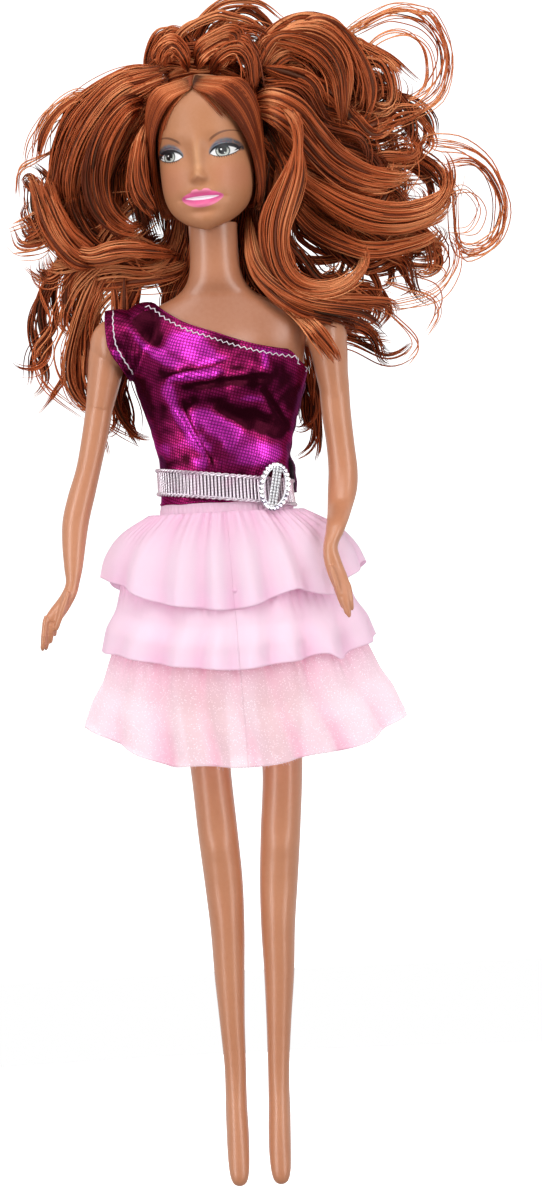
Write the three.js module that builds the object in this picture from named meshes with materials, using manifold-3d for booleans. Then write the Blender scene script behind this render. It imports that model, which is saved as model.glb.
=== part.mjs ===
// A fashion doll in a one-shoulder top, belt and tiered skirt, in millimetres.
// The doll stands upright and faces -Y, with +X to its own left.
// The origin is the middle of its waist, where a doll stand's clip holds it.
import * as THREE from "three";
import { mergeVertices } from "three/addons/utils/BufferGeometryUtils.js";
import Module from "manifold-3d";

const wasm = await Module();
wasm.setup();

// Clearances and walls that many pieces share.
const runningGap = 0.4; // between pieces that turn on each other
const seatGap = 0.3; // between pieces that rest on each other
const clothGap = 0.4; // between the body and what it wears
const overrun = 2; // how far a cut runs past what it cuts
const torsoWall = 1.4;
const legWall = 1.2;
const headWall = 1.6;

// Torso: heights from the waist, then widths and depths.
const crotchDrop = 36;
const hipDrop = 18;
const bustRise = 30;
const shoulderRise = 41;
const collarRise = 54;
const neckTopRise = 69.5;
const waistWidth = 31.6;
const waistDepth = 16.8;
const hipWidth = 34.6;
const hipDepth = 20.6;
const bustWidth = 43;
const ribDepth = 19;
const shoulderWidth = 46;
const shoulderFlatWidth = 45.2; // across the flat sides that the arms turn on
const neckWidth = 12.6;
const breastReach = 4.6;
const breastSpacing = 18.4;
const breastSize = 6.2;

// Hips and legs.
const hipAxisDrop = 26;
const hipDiscRadius = 9.5;
const hipWebWidth = 6.6;
const hipSpacing = 21;
const thighWidth = 13.4;
const thighDepth = 16;
const legLength = 155; // hip axis to toe tip
const hipStubRadius = 3.4;
const hipFlangeRadius = 5.2;
const hipFlangeThickness = 1.1;
const legSway = 1.9; // both thighs lean towards the doll's left

// Shoulders and arms.
const shoulderAxisRise = 38.5;
const shoulderBallWidth = 10.6;
const shoulderBallHeight = 14.4;
const shoulderBallDepth = 12;
const armLength = 77; // shoulder axis to fingertips
const upperArmWidth = 7.4;
const armStubRadius = 2;
const armFlangeRadius = 3.2;
const armFlangeThickness = 1.2;
const armBossDepth = 3.4; // thickness of the wall that the stub passes through
const fingerWidth = 1.15;

// Head and the knob that it turns on.
const headHeight = 41.4; // chin to crown
const headWidth = 25.2;
const headDepth = 29;
const chinDrop = 2; // chin below the neck's top
const noseReach = 3.2;
const neckBoreRadius = 3.3;
const neckRecessRadius = 7;
const neckRecessDepth = 3;
const knobStemRadius = 2.4;
const knobRadius = 4.9;
const knobHeight = 3.4;
const knobRootRadius = 3.6;
const knobRootLength = 9;
const headPlay = 0.8; // room around the knob and over the neck
const headTurnDegrees = -10; // the face looks a little to the doll's right
const headLeanDegrees = -3; // and leans to the same side

// Clothes.
const clothThickness = 0.6;
const bodiceDrop = 3;
const armholeRadius = 8.2;
const capReach = 6.9; // how far the cloth hangs over the shoulder ball
const capRadius = 9.4;
const closureThickness = 0.6;
const beltWidth = 6.6;
const beltThickness = 0.8;
const beltRise = 0.6;
const beltTiltDegrees = 7;
const buckleWidth = 8.6;
const buckleHeight = 12.4;
const stoneRadius = 0.75;
const buckleTurnDegrees = 38;
const buckleStandOff = 1; // room behind the buckle for the gathers under it
const waistbandWidth = 5;
const waistbandThickness = 0.8;
const tierThickness = 0.6;
const skirtLength = 65; // measured down the cloth at the front
const skirtFlare = 26; // how far the hem stands out at the sides
const skirtFrontFlare = 10;
const skirtSway = 2.6; // how far the hem hangs towards the doll's left
const foldDepth = 1.3;
const foldCount = 11;

// Hair.
const hairLength = 100; // free length of the fibres
const hairRootDrop = 9; // parting's height below the crown of the head
const hairCapGap = 0.4;
const hairCapThickness = 1.9;
const napeDrop = 36;
const hairlineDrop = 8.5; // front edge of the hair below the crown
const faceWindowWidth = 23;

const toRadians = THREE.MathUtils.degToRad;

// Materials, one for each finish.
function finish(color, roughness, metalness = 0) {
  return new THREE.MeshStandardMaterial({ color, roughness, metalness });
}
const bodyPlastic = finish(0xb5754f, 0.28);
const headVinyl = finish(0xc68a62, 0.5);
const knobPlastic = finish(0xb98a6a, 0.5);
const hairFibre = finish(0x7a3214, 0.35);
const lameCloth = finish(0x8a0f6e, 0.3, 0.7);
const silverBraid = finish(0xc9c6cf, 0.35, 0.8);
const stoneSetting = finish(0xe4e4ea, 0.15, 0.9);
const pinkSatin = finish(0xf7b9dc, 0.6);
const hookStrip = finish(0x4a0840, 0.9);

// Solids: a geometry becomes a manifold solid that can be joined and cut.
function solid(geometry) {
  const bare = geometry.clone();
  bare.deleteAttribute("normal");
  bare.deleteAttribute("uv");
  const merged = mergeVertices(bare, 1e-4);
  return new wasm.Manifold(
    new wasm.Mesh({
      numProp: 3,
      vertProperties: new Float32Array(merged.attributes.position.array),
      triVerts: new Uint32Array(merged.index.array),
    }),
  );
}

function geometryOf(body) {
  const made = body.getMesh();
  const step = made.numProp;
  const points = new Float32Array(made.numVert * 3);
  for (let i = 0; i < made.numVert; i++) {
    points.set(made.vertProperties.subarray(i * step, i * step + 3), i * 3);
  }
  const geometry = new THREE.BufferGeometry();
  geometry.setAttribute("position", new THREE.BufferAttribute(points, 3));
  geometry.setIndex(new THREE.BufferAttribute(new Uint32Array(made.triVerts), 1));
  geometry.computeVertexNormals();
  return geometry;
}

// The largest body of a solid that a cut has left in several.
function mainBody(body) {
  const bodies = body.decompose();
  return bodies.reduce((a, b) => (a.volume() > b.volume() ? a : b));
}

function placed(geometry, x, y, z) {
  return solid(geometry.translate(x, y, z));
}

function block(low, high) {
  const size = new THREE.Vector3().subVectors(high, low);
  const middle = new THREE.Vector3().addVectors(low, high).multiplyScalar(0.5);
  return placed(new THREE.BoxGeometry(size.x, size.y, size.z), middle.x, middle.y, middle.z);
}

// A cylinder along X from x = from to x = to.
function crossCylinder(radius, from, to, y, z, sides = 24) {
  const geometry = new THREE.CylinderGeometry(radius, radius, Math.abs(to - from), sides);
  geometry.rotateZ(Math.PI / 2);
  return placed(geometry, (from + to) / 2, y, z);
}

// A smooth curve through rows of numbers, read at any value of their first column.
function readAlong(rows, at) {
  let i = 0;
  while (i < rows.length - 2 && at > rows[i + 1][0]) i++;
  const [a, b] = [rows[i], rows[i + 1]];
  const before = rows[Math.max(0, i - 1)];
  const after = rows[Math.min(rows.length - 1, i + 2)];
  const span = b[0] - a[0];
  const t = THREE.MathUtils.clamp((at - a[0]) / span, 0, 1);
  return a.slice(1).map((value, k) => {
    const next = b[k + 1];
    const slopeIn = ((next - before[k + 1]) / (b[0] - before[0] || span)) * span;
    const slopeOut = ((after[k + 1] - value) / (after[0] - a[0] || span)) * span;
    const t2 = t * t;
    const t3 = t2 * t;
    return (
      (2 * t3 - 3 * t2 + 1) * value +
      (t3 - 2 * t2 + t) * slopeIn +
      (3 * t2 - 2 * t3) * next +
      (t3 - t2) * slopeOut
    );
  });
}

// A closed body through rings of points, with a fan over each end.
function skin(rings) {
  const sides = rings[0].length;
  const points = rings.flat();
  const index = [];
  for (let r = 0; r < rings.length - 1; r++) {
    for (let s = 0; s < sides; s++) {
      const a = r * sides + s;
      const b = r * sides + ((s + 1) % sides);
      index.push(a, b, a + sides, b, b + sides, a + sides);
    }
  }
  const middleOf = (ring) =>
    ring.reduce((sum, p) => sum.add(p), new THREE.Vector3()).divideScalar(ring.length);
  const low = points.length;
  points.push(middleOf(rings[0].map((p) => p.clone())));
  points.push(middleOf(rings[rings.length - 1].map((p) => p.clone())));
  const top = (rings.length - 1) * sides;
  for (let s = 0; s < sides; s++) {
    const next = (s + 1) % sides;
    index.push(low, next, s);
    index.push(low + 1, top + s, top + next);
  }
  const geometry = new THREE.BufferGeometry().setFromPoints(points);
  geometry.setIndex(index);
  return geometry;
}

// A closed tube with a hole: outer rings, then inner rings back to the start.
function hollowSkin(loop) {
  const sides = loop[0].length;
  const index = [];
  for (let r = 0; r < loop.length; r++) {
    const row = r * sides;
    const nextRow = ((r + 1) % loop.length) * sides;
    for (let s = 0; s < sides; s++) {
      const next = (s + 1) % sides;
      index.push(row + s, row + next, nextRow + s);
      index.push(row + next, nextRow + next, nextRow + s);
    }
  }
  const geometry = new THREE.BufferGeometry().setFromPoints(loop.flat());
  geometry.setIndex(index);
  return geometry;
}

// A point of an oval section: angle 0 is +X, and -90 degrees faces front.
function ovalPoint(angle, halfWidth, front, back, squareness) {
  const c = Math.cos(angle);
  const s = Math.sin(angle);
  const power = 2 / squareness;
  const depth = s < 0 ? front : back;
  return new THREE.Vector2(
    Math.sign(c) * Math.abs(c) ** power * halfWidth,
    Math.sign(s) * Math.abs(s) ** power * depth,
  );
}

// Torso sections from the crotch to the neck: height, half width, front and back depth.
const torsoSections = [
  [-crotchDrop, hipWidth * 0.26, hipDepth * 0.22, hipDepth * 0.24],
  [-crotchDrop * 0.92, hipWidth * 0.37, hipDepth * 0.35, hipDepth * 0.39],
  [-crotchDrop * 0.75, hipWidth * 0.46, hipDepth * 0.44, hipDepth * 0.49],
  [-hipDrop, hipWidth * 0.5, hipDepth * 0.46, hipDepth * 0.53],
  [-hipDrop * 0.5, hipWidth * 0.485, hipDepth * 0.44, hipDepth * 0.48],
  [0, waistWidth * 0.5, waistDepth * 0.51, waistDepth * 0.49],
  [bustRise * 0.33, waistWidth * 0.515, waistDepth * 0.54, waistDepth * 0.48],
  [bustRise * 0.67, bustWidth * 0.44, ribDepth * 0.52, ribDepth * 0.44],
  [bustRise * 0.94, bustWidth * 0.495, ribDepth * 0.55, ribDepth * 0.46],
  [shoulderRise * 0.85, shoulderWidth * 0.485, ribDepth * 0.5, ribDepth * 0.47],
  [shoulderRise, shoulderWidth * 0.5, ribDepth * 0.43, ribDepth * 0.45],
  [shoulderRise * 1.1, shoulderWidth * 0.465, ribDepth * 0.38, ribDepth * 0.41],
  [collarRise * 0.9, shoulderWidth * 0.335, ribDepth * 0.34, ribDepth * 0.37],
  [collarRise * 0.945, shoulderWidth * 0.23, ribDepth * 0.32, ribDepth * 0.34],
  [collarRise, neckWidth * 0.62, neckWidth * 0.52, neckWidth * 0.54],
  [collarRise * 1.08, neckWidth * 0.52, neckWidth * 0.5, neckWidth * 0.5],
  [neckTopRise, neckWidth * 0.5, neckWidth * 0.5, neckWidth * 0.5],
];
const torsoSquareness = 2.25;

function breastAt(x, z) {
  const up = (z - bustRise) / breastSize;
  const across = (Math.abs(x) - breastSpacing / 2) / breastSize;
  return breastReach * Math.exp(-up * up - across * across);
}

// A point on the torso's surface, pushed out by grow.
function torsoPoint(angle, z, grow) {
  const [halfWidth, front, back] = readAlong(torsoSections, z);
  const p = ovalPoint(angle, halfWidth + grow, front + grow, back + grow, torsoSquareness);
  if (p.y < 0) p.y -= breastAt(p.x, z) * Math.min(1, -p.y / (front * 0.5));
  return new THREE.Vector3(p.x, p.y, z);
}

// The torso's form between two heights.
function torsoForm(grow, low, high, ringCount, sides) {
  const rings = [];
  for (let r = 0; r < ringCount; r++) {
    const z = THREE.MathUtils.lerp(low, high, r / (ringCount - 1));
    const ring = [];
    for (let s = 0; s < sides; s++) {
      ring.push(torsoPoint((s / sides) * 2 * Math.PI, z, grow));
    }
    rings.push(ring);
  }
  return solid(skin(rings));
}

// The room that one thigh turns in, on the side that sign gives, grown by a wall.
function legRoom(sign, wall) {
  const inner = hipWebWidth / 2 - wall;
  const outer = hipWidth;
  const radius = hipDiscRadius + runningGap + wall;
  const disc = crossCylinder(radius, sign * inner, sign * outer, 0, -hipAxisDrop, 32);
  const [xLow, xHigh] = [sign * inner, sign * outer].sort((a, b) => a - b);
  const top = -hipAxisDrop + thighDepth / 2 + runningGap + wall;
  const below = block(
    new THREE.Vector3(xLow, -hipDepth, -crotchDrop - overrun),
    new THREE.Vector3(xHigh, hipDepth, top),
  );
  return disc.add(below);
}

const torsoRings = 19;
const torsoSides = 22;
const cavityRings = 9;
const cavitySides = 10;

// The torso as one hollow form, before its seam splits it.
function torsoShell() {
  const half = shoulderFlatWidth / 2;
  const slab = (reach) =>
    block(
      new THREE.Vector3(-reach, -hipDepth, -crotchDrop - overrun),
      new THREE.Vector3(reach, hipDepth, neckTopRise + overrun),
    );
  let outer = torsoForm(0, -crotchDrop, neckTopRise, torsoRings, torsoSides);
  outer = outer.intersect(slab(half));
  let cavity = torsoForm(
    -torsoWall,
    -crotchDrop + torsoWall,
    neckTopRise - torsoWall,
    cavityRings,
    cavitySides,
  );
  cavity = cavity.intersect(slab(half - torsoWall));
  for (const sign of [-1, 1]) {
    const flangeRoom = armFlangeRadius + runningGap;
    const bossEnd = half - armBossDepth;
    const roomEnd = bossEnd - armFlangeThickness - 2 * runningGap;
    const bossRadius = flangeRoom + torsoWall;
    const boss = crossCylinder(bossRadius, sign * bossEnd, sign * half, 0, shoulderAxisRise);
    const room = crossCylinder(flangeRoom, sign * roomEnd, sign * bossEnd, 0, shoulderAxisRise);
    outer = outer.subtract(legRoom(sign, 0));
    cavity = cavity.subtract(legRoom(sign, torsoWall)).subtract(boss).add(room);
  }
  let shell = outer.subtract(cavity);
  for (const sign of [-1, 1]) {
    const shoulder = sign * (half + overrun);
    const armRadius = armStubRadius + runningGap;
    const armHole = crossCylinder(armRadius, 0, shoulder, 0, shoulderAxisRise);
    const hipRadius = hipStubRadius + runningGap;
    const hip = sign * (hipWebWidth / 2 + overrun);
    const hipHole = crossCylinder(hipRadius, 0, hip, 0, -hipAxisDrop);
    shell = shell.subtract(armHole).subtract(hipHole);
  }
  const knobHole = new THREE.CylinderGeometry(
    knobStemRadius + runningGap,
    knobStemRadius + runningGap,
    torsoWall + 2 * overrun,
    16,
  ).rotateX(Math.PI / 2);
  return shell.subtract(placed(knobHole, 0, 0, neckTopRise));
}

// The halves meet on the seam plane y = 0, front half towards -Y.
function torsoHalf(shell, sign) {
  const reach = hipDepth;
  const low = new THREE.Vector3(-shoulderWidth, Math.min(0, sign * reach), -crotchDrop - overrun);
  const high = new THREE.Vector3(
    shoulderWidth,
    Math.max(0, sign * reach),
    neckTopRise + overrun,
  );
  return mainBody(shell.intersect(block(low, high)));
}

// The knob: a root held in the neck, a stem, and the mushroom head that the doll's head snaps over.
function neckKnob() {
  const floorTop = neckTopRise + headPlay + headWall + headPlay;
  const rootTop = neckTopRise - torsoWall - seatGap;
  const profile = [
    new THREE.Vector2(0, rootTop - knobRootLength),
    new THREE.Vector2(knobRootRadius, rootTop - knobRootLength),
    new THREE.Vector2(knobRootRadius, rootTop),
    new THREE.Vector2(knobStemRadius, rootTop),
    new THREE.Vector2(knobStemRadius, floorTop),
    new THREE.Vector2(knobRadius, floorTop),
    new THREE.Vector2(knobRadius * 0.9, floorTop + knobHeight * 0.4),
    new THREE.Vector2(knobRadius * 0.6, floorTop + knobHeight * 0.8),
    new THREE.Vector2(0, floorTop + knobHeight),
  ];
  return solid(new THREE.LatheGeometry(profile, 20).rotateX(Math.PI / 2));
}

// Leg sections down from the hip: share of the leg's length, shift towards the other leg and
// towards the back, half width and half depth, as shares of the thigh's width and depth,
// and the sway that both legs share.
const legSectionShares = [
  [0, 0, 0, 0.5, 0.5, 0],
  [0.06, -0.01, 0.005, 0.49, 0.495, 0.1],
  [0.15, -0.04, 0.01, 0.455, 0.47, 0.5],
  [0.3, -0.085, -0.01, 0.375, 0.38, 1],
  [0.41, -0.175, -0.03, 0.37, 0.32, 0.95],
  [0.49, -0.245, 0.03, 0.355, 0.325, 0.9],
  [0.57, -0.29, 0.055, 0.315, 0.325, 0.8],
  [0.65, -0.3, 0.045, 0.275, 0.27, 0.7],
  [0.73, -0.33, 0.025, 0.225, 0.21, 0.55],
  [0.8, -0.36, 0.02, 0.195, 0.19, 0.45],
  [0.845, -0.365, 0.045, 0.19, 0.235, 0.35],
  [0.875, -0.365, 0.02, 0.195, 0.275, 0.3],
  [0.91, -0.375, -0.075, 0.2, 0.255, 0.25],
  [0.95, -0.38, -0.2, 0.195, 0.2, 0.2],
  [0.98, -0.38, -0.3, 0.17, 0.15, 0.2],
  [0.995, -0.38, -0.345, 0.115, 0.09, 0.2],
  [1, -0.38, -0.36, 0.04, 0.035, 0.2],
];

// Where the inner side of a leg, flat beside the hip web, begins and ends to round out.
const webStartShare = 0.1;
const webEndShare = 0.22;

function legForm(sign, grow, from, to, ringCount, sides) {
  const rings = [];
  for (let r = 0; r < ringCount; r++) {
    const at = THREE.MathUtils.lerp(to, from, r / (ringCount - 1));
    const [inward, backward, halfWidth, halfDepth, sway] = readAlong(legSectionShares, at);
    const fade = 1 - THREE.MathUtils.smoothstep(at, webStartShare, webEndShare);
    const web = (hipWebWidth / 2 + runningGap) * fade - grow;
    const ring = [];
    for (let s = 0; s < sides; s++) {
      const p = ovalPoint(
        (s / sides) * 2 * Math.PI,
        halfWidth * thighWidth + grow,
        halfDepth * thighDepth + grow,
        halfDepth * thighDepth + grow,
        2.2,
      );
      const x = p.x + sign * (hipSpacing / 2 + inward * thighWidth) + sway * legSway;
      ring.push(
        new THREE.Vector3(
          sign * Math.max(sign * x, web),
          p.y + backward * thighDepth,
          -hipAxisDrop - at * legLength,
        ),
      );
    }
    rings.push(ring);
  }
  return solid(skin(rings));
}

const hollowEndShare = 0.62; // how far down the leg its hollow reaches
const hollowStartShare = 0.02;
const ventRadius = 1.2;

// One blow-moulded leg with the disc, stub and flange that hold it in the hip.
function leg(sign) {
  const inner = hipWebWidth / 2 + runningGap;
  const outer = hipSpacing / 2 + thighWidth / 2;
  const inside = hipWebWidth / 2 - torsoWall - runningGap;
  const disc = crossCylinder(hipDiscRadius, sign * inner, sign * outer, 0, -hipAxisDrop, 28);
  const rounding = new THREE.SphereGeometry(1, 18, 12);
  const reach = outer - inner * 0.5;
  rounding.scale(reach, hipDiscRadius * 1.12, hipDiscRadius * 1.12);
  const dome = placed(rounding, sign * inner * 0.5, 0, -hipAxisDrop);
  const stubEnd = sign * (inside - hipFlangeThickness);
  const stub = crossCylinder(hipStubRadius, stubEnd, sign * (inner + overrun), 0, -hipAxisDrop);
  const flange = crossCylinder(hipFlangeRadius, stubEnd, sign * inside, 0, -hipAxisDrop);
  const hollow = legForm(sign, -legWall, hollowStartShare, hollowEndShare, 6, 7);
  const ventEnd = sign * (hipSpacing / 2);
  const ventDrop = hipAxisDrop + hollowStartShare * legLength + 2 * ventRadius;
  const vent = crossCylinder(ventRadius, 0, ventEnd, 0, -ventDrop, 10);
  return disc
    .intersect(dome)
    .add(legForm(sign, 0, 0, 1, 22, 12))
    .add(stub)
    .add(flange)
    .subtract(hollow)
    .subtract(vent);
}

// A point of the skirt: angle round the body, and how far down the cloth, from 0 to 1.
// The hem stands further out and higher at the sides than at the front and back.
const skirtTop = -bodiceDrop - seatGap - waistbandWidth * 0.5;
// Distance down the cloth, then how far out and down it has come at the sides, and how far
// out at the front, as shares of the skirt's length, flare and front flare.
const upperTierShares = [
  [0, 0.045, 0, 0.02],
  [0.12, 0.36, 0.07, 0.3],
  [0.25, 0.54, 0.15, 0.54],
  [0.37, 0.62, 0.23, 0.66],
];
const middleTierShares = [
  [0.31, 0.4, 0.2, 0.44],
  [0.45, 0.53, 0.36, 0.62],
  [0.615, 0.65, 0.525, 0.78],
];
const lowerTierShares = [
  [0.56, 0.52, 0.49, 0.6],
  [0.7, 0.66, 0.6, 0.72],
  [0.85, 0.78, 0.71, 0.86],
  [1, 0.9, 0.82, 1],
];

function skirtPoint(tier, at, angle, offset) {
  const [sideOut, sideDown, frontOut] = readAlong(tier, at);
  const c = Math.cos(angle);
  const n = Math.sin(angle);
  const side = c * c;
  const out = sideOut * skirtFlare;
  const drop = THREE.MathUtils.lerp(at, sideDown, side * side) * skirtLength;
  const wave = Math.cos(angle * foldCount) * foldDepth * Math.min(1, at * 3) * (1 - 0.45 * side);
  const [halfWidth, front, back] = readAlong(torsoSections, skirtTop - waistbandWidth);
  const grow = clothGap + waistbandThickness + seatGap + tierThickness / 2 + wave + offset;
  const wide = halfWidth + out + grow;
  const deep = (n < 0 ? front : back) + frontOut * skirtFrontFlare + grow;
  return new THREE.Vector3(c * wide + at * skirtSway, n * deep, skirtTop - drop);
}

const tiers = [upperTierShares, middleTierShares, lowerTierShares];

// How far the skirt reaches sideways and forwards near a height, folds and all.
function skirtReach(z) {
  const steps = 10;
  const band = skirtLength / steps;
  let [wide, deep] = [0, 0];
  for (const tier of tiers) {
    for (let i = 0; i <= steps; i++) {
      const at = THREE.MathUtils.lerp(tier[0][0], tier[tier.length - 1][0], i / steps);
      const side = skirtPoint(tier, at, 0, tierThickness / 2);
      const front = skirtPoint(tier, at, -Math.PI / 2, tierThickness / 2);
      if (Math.abs(side.z - z) < band / 2) wide = Math.max(wide, side.x + foldDepth);
      if (Math.abs(front.z - z) < band / 2) deep = Math.max(deep, -front.y + foldDepth);
    }
  }
  return [wide, deep];
}

// Arm centre lines down from the shoulder axis: share of the arm's length, then outward and
// backward shift and half width and half depth as shares of the upper arm's width.
const rightArmShares = [
  [0, 0.72, 0, 0.46, 0.46],
  [0.1, 1, 0.05, 0.5, 0.52],
  [0.2, 1.2, 0.1, 0.49, 0.5],
  [0.3, 1.42, 0.13, 0.47, 0.46],
  [0.4, 1.68, 0.14, 0.45, 0.45],
  [0.5, 2, 0.1, 0.49, 0.48],
  [0.58, 2.22, 0, 0.48, 0.46],
  [0.66, 2.32, -0.2, 0.42, 0.41],
  [0.74, 2.37, -0.42, 0.33, 0.33],
  [0.79, 2.42, -0.56, 0.25, 0.28],
  [0.83, 2.58, -0.68, 0.29, 0.24],
  [0.88, 2.94, -0.8, 0.35, 0.2],
  [0.915, 3.2, -0.86, 0.33, 0.17],
];
const leftArmShares = [
  [0, 0.72, 0, 0.46, 0.46],
  [0.1, 0.86, 0.05, 0.53, 0.52],
  [0.25, 0.92, 0.12, 0.52, 0.5],
  [0.37, 1.02, 0.17, 0.5, 0.46],
  [0.45, 1.06, 0.12, 0.52, 0.5],
  [0.52, 1, -0.1, 0.52, 0.5],
  [0.59, 0.85, -0.55, 0.43, 0.44],
  [0.66, 0.64, -1.28, 0.33, 0.35],
  [0.71, 0.46, -1.78, 0.26, 0.29],
  [0.755, 0.5, -2.12, 0.3, 0.25],
  [0.81, 0.66, -2.42, 0.33, 0.22],
  [0.85, 0.8, -2.6, 0.31, 0.18],
];
// Fingers beyond the palm: outward, backward and downward reach as shares of the hand's length.
const handLength = 16;
const rightFingerShares = [
  [0.1, 0.04, 0.5, 0.12],
  [0.19, 0.02, 0.52, 0.03],
  [0.16, 0.06, 0.46, -0.06],
  [0.05, 0.08, 0.4, -0.14],
];
const leftFingerShares = [
  [-0.02, -0.06, 0.4, 0.12],
  [0.05, -0.08, 0.44, 0.04],
  [0.03, -0.05, 0.4, -0.05],
  [-0.06, -0.02, 0.34, -0.13],
];

function armRings(sign, shares, ringCount, sides) {
  const base = shoulderFlatWidth / 2 + runningGap;
  const last = shares[shares.length - 1][0];
  const rings = [];
  for (let r = 0; r < ringCount; r++) {
    const at = last * (1 - r / (ringCount - 1));
    const [outward, backward, halfWidth, halfDepth] = readAlong(shares, at);
    const z = shoulderAxisRise - at * armLength;
    const inner = base + (outward - halfWidth) * upperArmWidth;
    const [wide, deep] = skirtReach(z);
    const clear = halfDepth * upperArmWidth + seatGap;
    const overSkirt = inner < wide ? -deep * Math.sqrt(1 - (inner / wide) ** 2) - clear : 0;
    const y = Math.min(backward * upperArmWidth, inner < wide ? overSkirt : Infinity);
    const ring = [];
    for (let s = 0; s < sides; s++) {
      const p = ovalPoint(
        (s / sides) * 2 * Math.PI,
        halfWidth * upperArmWidth,
        halfDepth * upperArmWidth,
        halfDepth * upperArmWidth,
        2,
      );
      ring.push(
        new THREE.Vector3(
          p.x + sign * (base + outward * upperArmWidth),
          p.y + y,
          z,
        ),
      );
    }
    rings.push(ring);
  }
  return rings;
}

// One finger as a tapered round rod from start to tip.
function finger(start, tip, radius) {
  const along = new THREE.Vector3().subVectors(tip, start);
  const length = along.length();
  const profile = [
    new THREE.Vector2(0, -length * 0.35),
    new THREE.Vector2(radius, -length * 0.25),
    new THREE.Vector2(radius * 0.95, length * 0.5),
    new THREE.Vector2(radius * 0.7, length * 0.92),
    new THREE.Vector2(0, length),
  ];
  const geometry = new THREE.LatheGeometry(profile, 6);
  const turn = new THREE.Quaternion().setFromUnitVectors(
    new THREE.Vector3(0, 1, 0),
    along.normalize(),
  );
  geometry.applyQuaternion(turn);
  return placed(geometry, start.x, start.y, start.z);
}

// One arm with its shoulder ball, hand, and the stub and flange that hold it in the torso.
function arm(sign, shares, fingers) {
  const base = shoulderFlatWidth / 2 + runningGap;
  const ball = new THREE.SphereGeometry(1, 14, 10);
  ball.scale(shoulderBallWidth / 2, shoulderBallDepth / 2, shoulderBallHeight / 2);
  const inside = shoulderFlatWidth / 2 - armBossDepth - runningGap;
  const stubEnd = sign * (inside - armFlangeThickness);
  const stubStart = sign * (base + shoulderBallWidth / 2);
  let made = placed(ball, sign * (base + shoulderBallWidth / 2), 0, shoulderAxisRise);
  const rings = armRings(sign, shares, 16, 9);
  made = made.add(solid(skin(rings)));
  made = made.add(crossCylinder(armStubRadius, stubEnd, stubStart, 0, shoulderAxisRise, 18));
  made = made.add(
    crossCylinder(armFlangeRadius, stubEnd, sign * inside, 0, shoulderAxisRise, 18),
  );
  const knuckle = rings[0].reduce((sum, p) => sum.add(p), new THREE.Vector3());
  knuckle.divideScalar(rings[0].length);
  const spread = new THREE.Vector3(sign * 0.75, 0, -0.66);
  for (const [outward, backward, down, across] of fingers) {
    const start = knuckle.clone().addScaledVector(
      new THREE.Vector3(sign * spread.z * -1, 0, -spread.x * sign),
      across * handLength * -sign,
    );
    const tip = start
      .clone()
      .add(
        new THREE.Vector3(
          sign * outward * handLength,
          backward * handLength,
          -down * handLength,
        ),
      );
    made = made.add(finger(start, tip, fingerWidth));
  }
  return mainBody(made);
}

// Head sections from the chin up: height as a share of the head's height, half width as a
// share of its width, and how far front and back reach from the neck's axis, as shares of
// its depth.
const headSectionShares = [
  [0, 0.03, 0.37, -0.3],
  [0.02, 0.13, 0.405, -0.18],
  [0.05, 0.235, 0.43, -0.02],
  [0.1, 0.34, 0.448, 0.14],
  [0.16, 0.415, 0.462, 0.27],
  [0.24, 0.462, 0.467, 0.37],
  [0.34, 0.482, 0.455, 0.44],
  [0.46, 0.49, 0.44, 0.5],
  [0.58, 0.495, 0.44, 0.52],
  [0.7, 0.495, 0.44, 0.52],
  [0.8, 0.465, 0.415, 0.49],
  [0.88, 0.4, 0.355, 0.43],
  [0.94, 0.305, 0.265, 0.34],
  [0.98, 0.17, 0.14, 0.22],
  [1, 0.02, -0.01, 0.05],
];

// Relief of the face, as pushes towards the front: across and up as shares of the head's
// width and height, their reach the same way, and the push as a share of the nose's reach.
const faceReliefShares = [
  [0, 0.345, 0.065, 0.045, 0.8],
  [0, 0.43, 0.045, 0.1, 0.5],
  [0, 0.52, 0.06, 0.07, 0.12],
  [0, 0.205, 0.15, 0.055, 0.3],
  [0, 0.07, 0.14, 0.05, 0.16],
  [0.27, 0.5, 0.13, 0.055, -0.34],
  [-0.27, 0.5, 0.13, 0.055, -0.34],
  [0.3, 0.34, 0.14, 0.09, 0.16],
  [-0.3, 0.34, 0.14, 0.09, 0.16],
];

function faceRelief(x, z) {
  let push = 0;
  for (const [across, up, wide, tall, reach] of faceReliefShares) {
    const dx = (x / headWidth - across) / wide;
    const dz = (z / headHeight - up) / tall;
    push += reach * noseReach * Math.exp(-dx * dx - dz * dz);
  }
  return push;
}

// The head's form around its own chin height, pushed out by grow.
function headForm(grow, ringCount, sides, withFace) {
  const rings = [];
  for (let r = 0; r < ringCount; r++) {
    const at = 0.5 - 0.5 * Math.cos((r / (ringCount - 1)) * Math.PI);
    const [halfWidth, front, back] = readAlong(headSectionShares, at);
    const middle = ((back - front) / 2) * headDepth;
    const halfDepth = ((back + front) / 2) * headDepth;
    const z = at * headHeight + grow * (2 * at - 1);
    const ring = [];
    for (let s = 0; s < sides; s++) {
      // Steps lie closer together towards the front, where the face is.
      const turn = (s / sides) * 2 * Math.PI;
      const angle = turn + 0.35 * Math.cos(turn);
      const p = ovalPoint(angle, halfWidth * headWidth + grow, halfDepth + grow, halfDepth + grow, 2.1);
      let y = p.y + middle;
      if (withFace && p.y < 0) {
        const fade = Math.min(1, -p.y / (halfDepth * 0.6));
        y -= faceRelief(p.x, at * headHeight) * fade;
      }
      ring.push(new THREE.Vector3(p.x, y, z));
    }
    rings.push(ring);
  }
  return solid(skin(rings)).translate([0, 0, neckTopRise - chinDrop]);
}

function uprightCylinder(radius, low, high, sides = 24) {
  const geometry = new THREE.CylinderGeometry(radius, radius, high - low, sides);
  geometry.rotateX(Math.PI / 2);
  return placed(geometry, 0, 0, (low + high) / 2);
}

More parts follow.
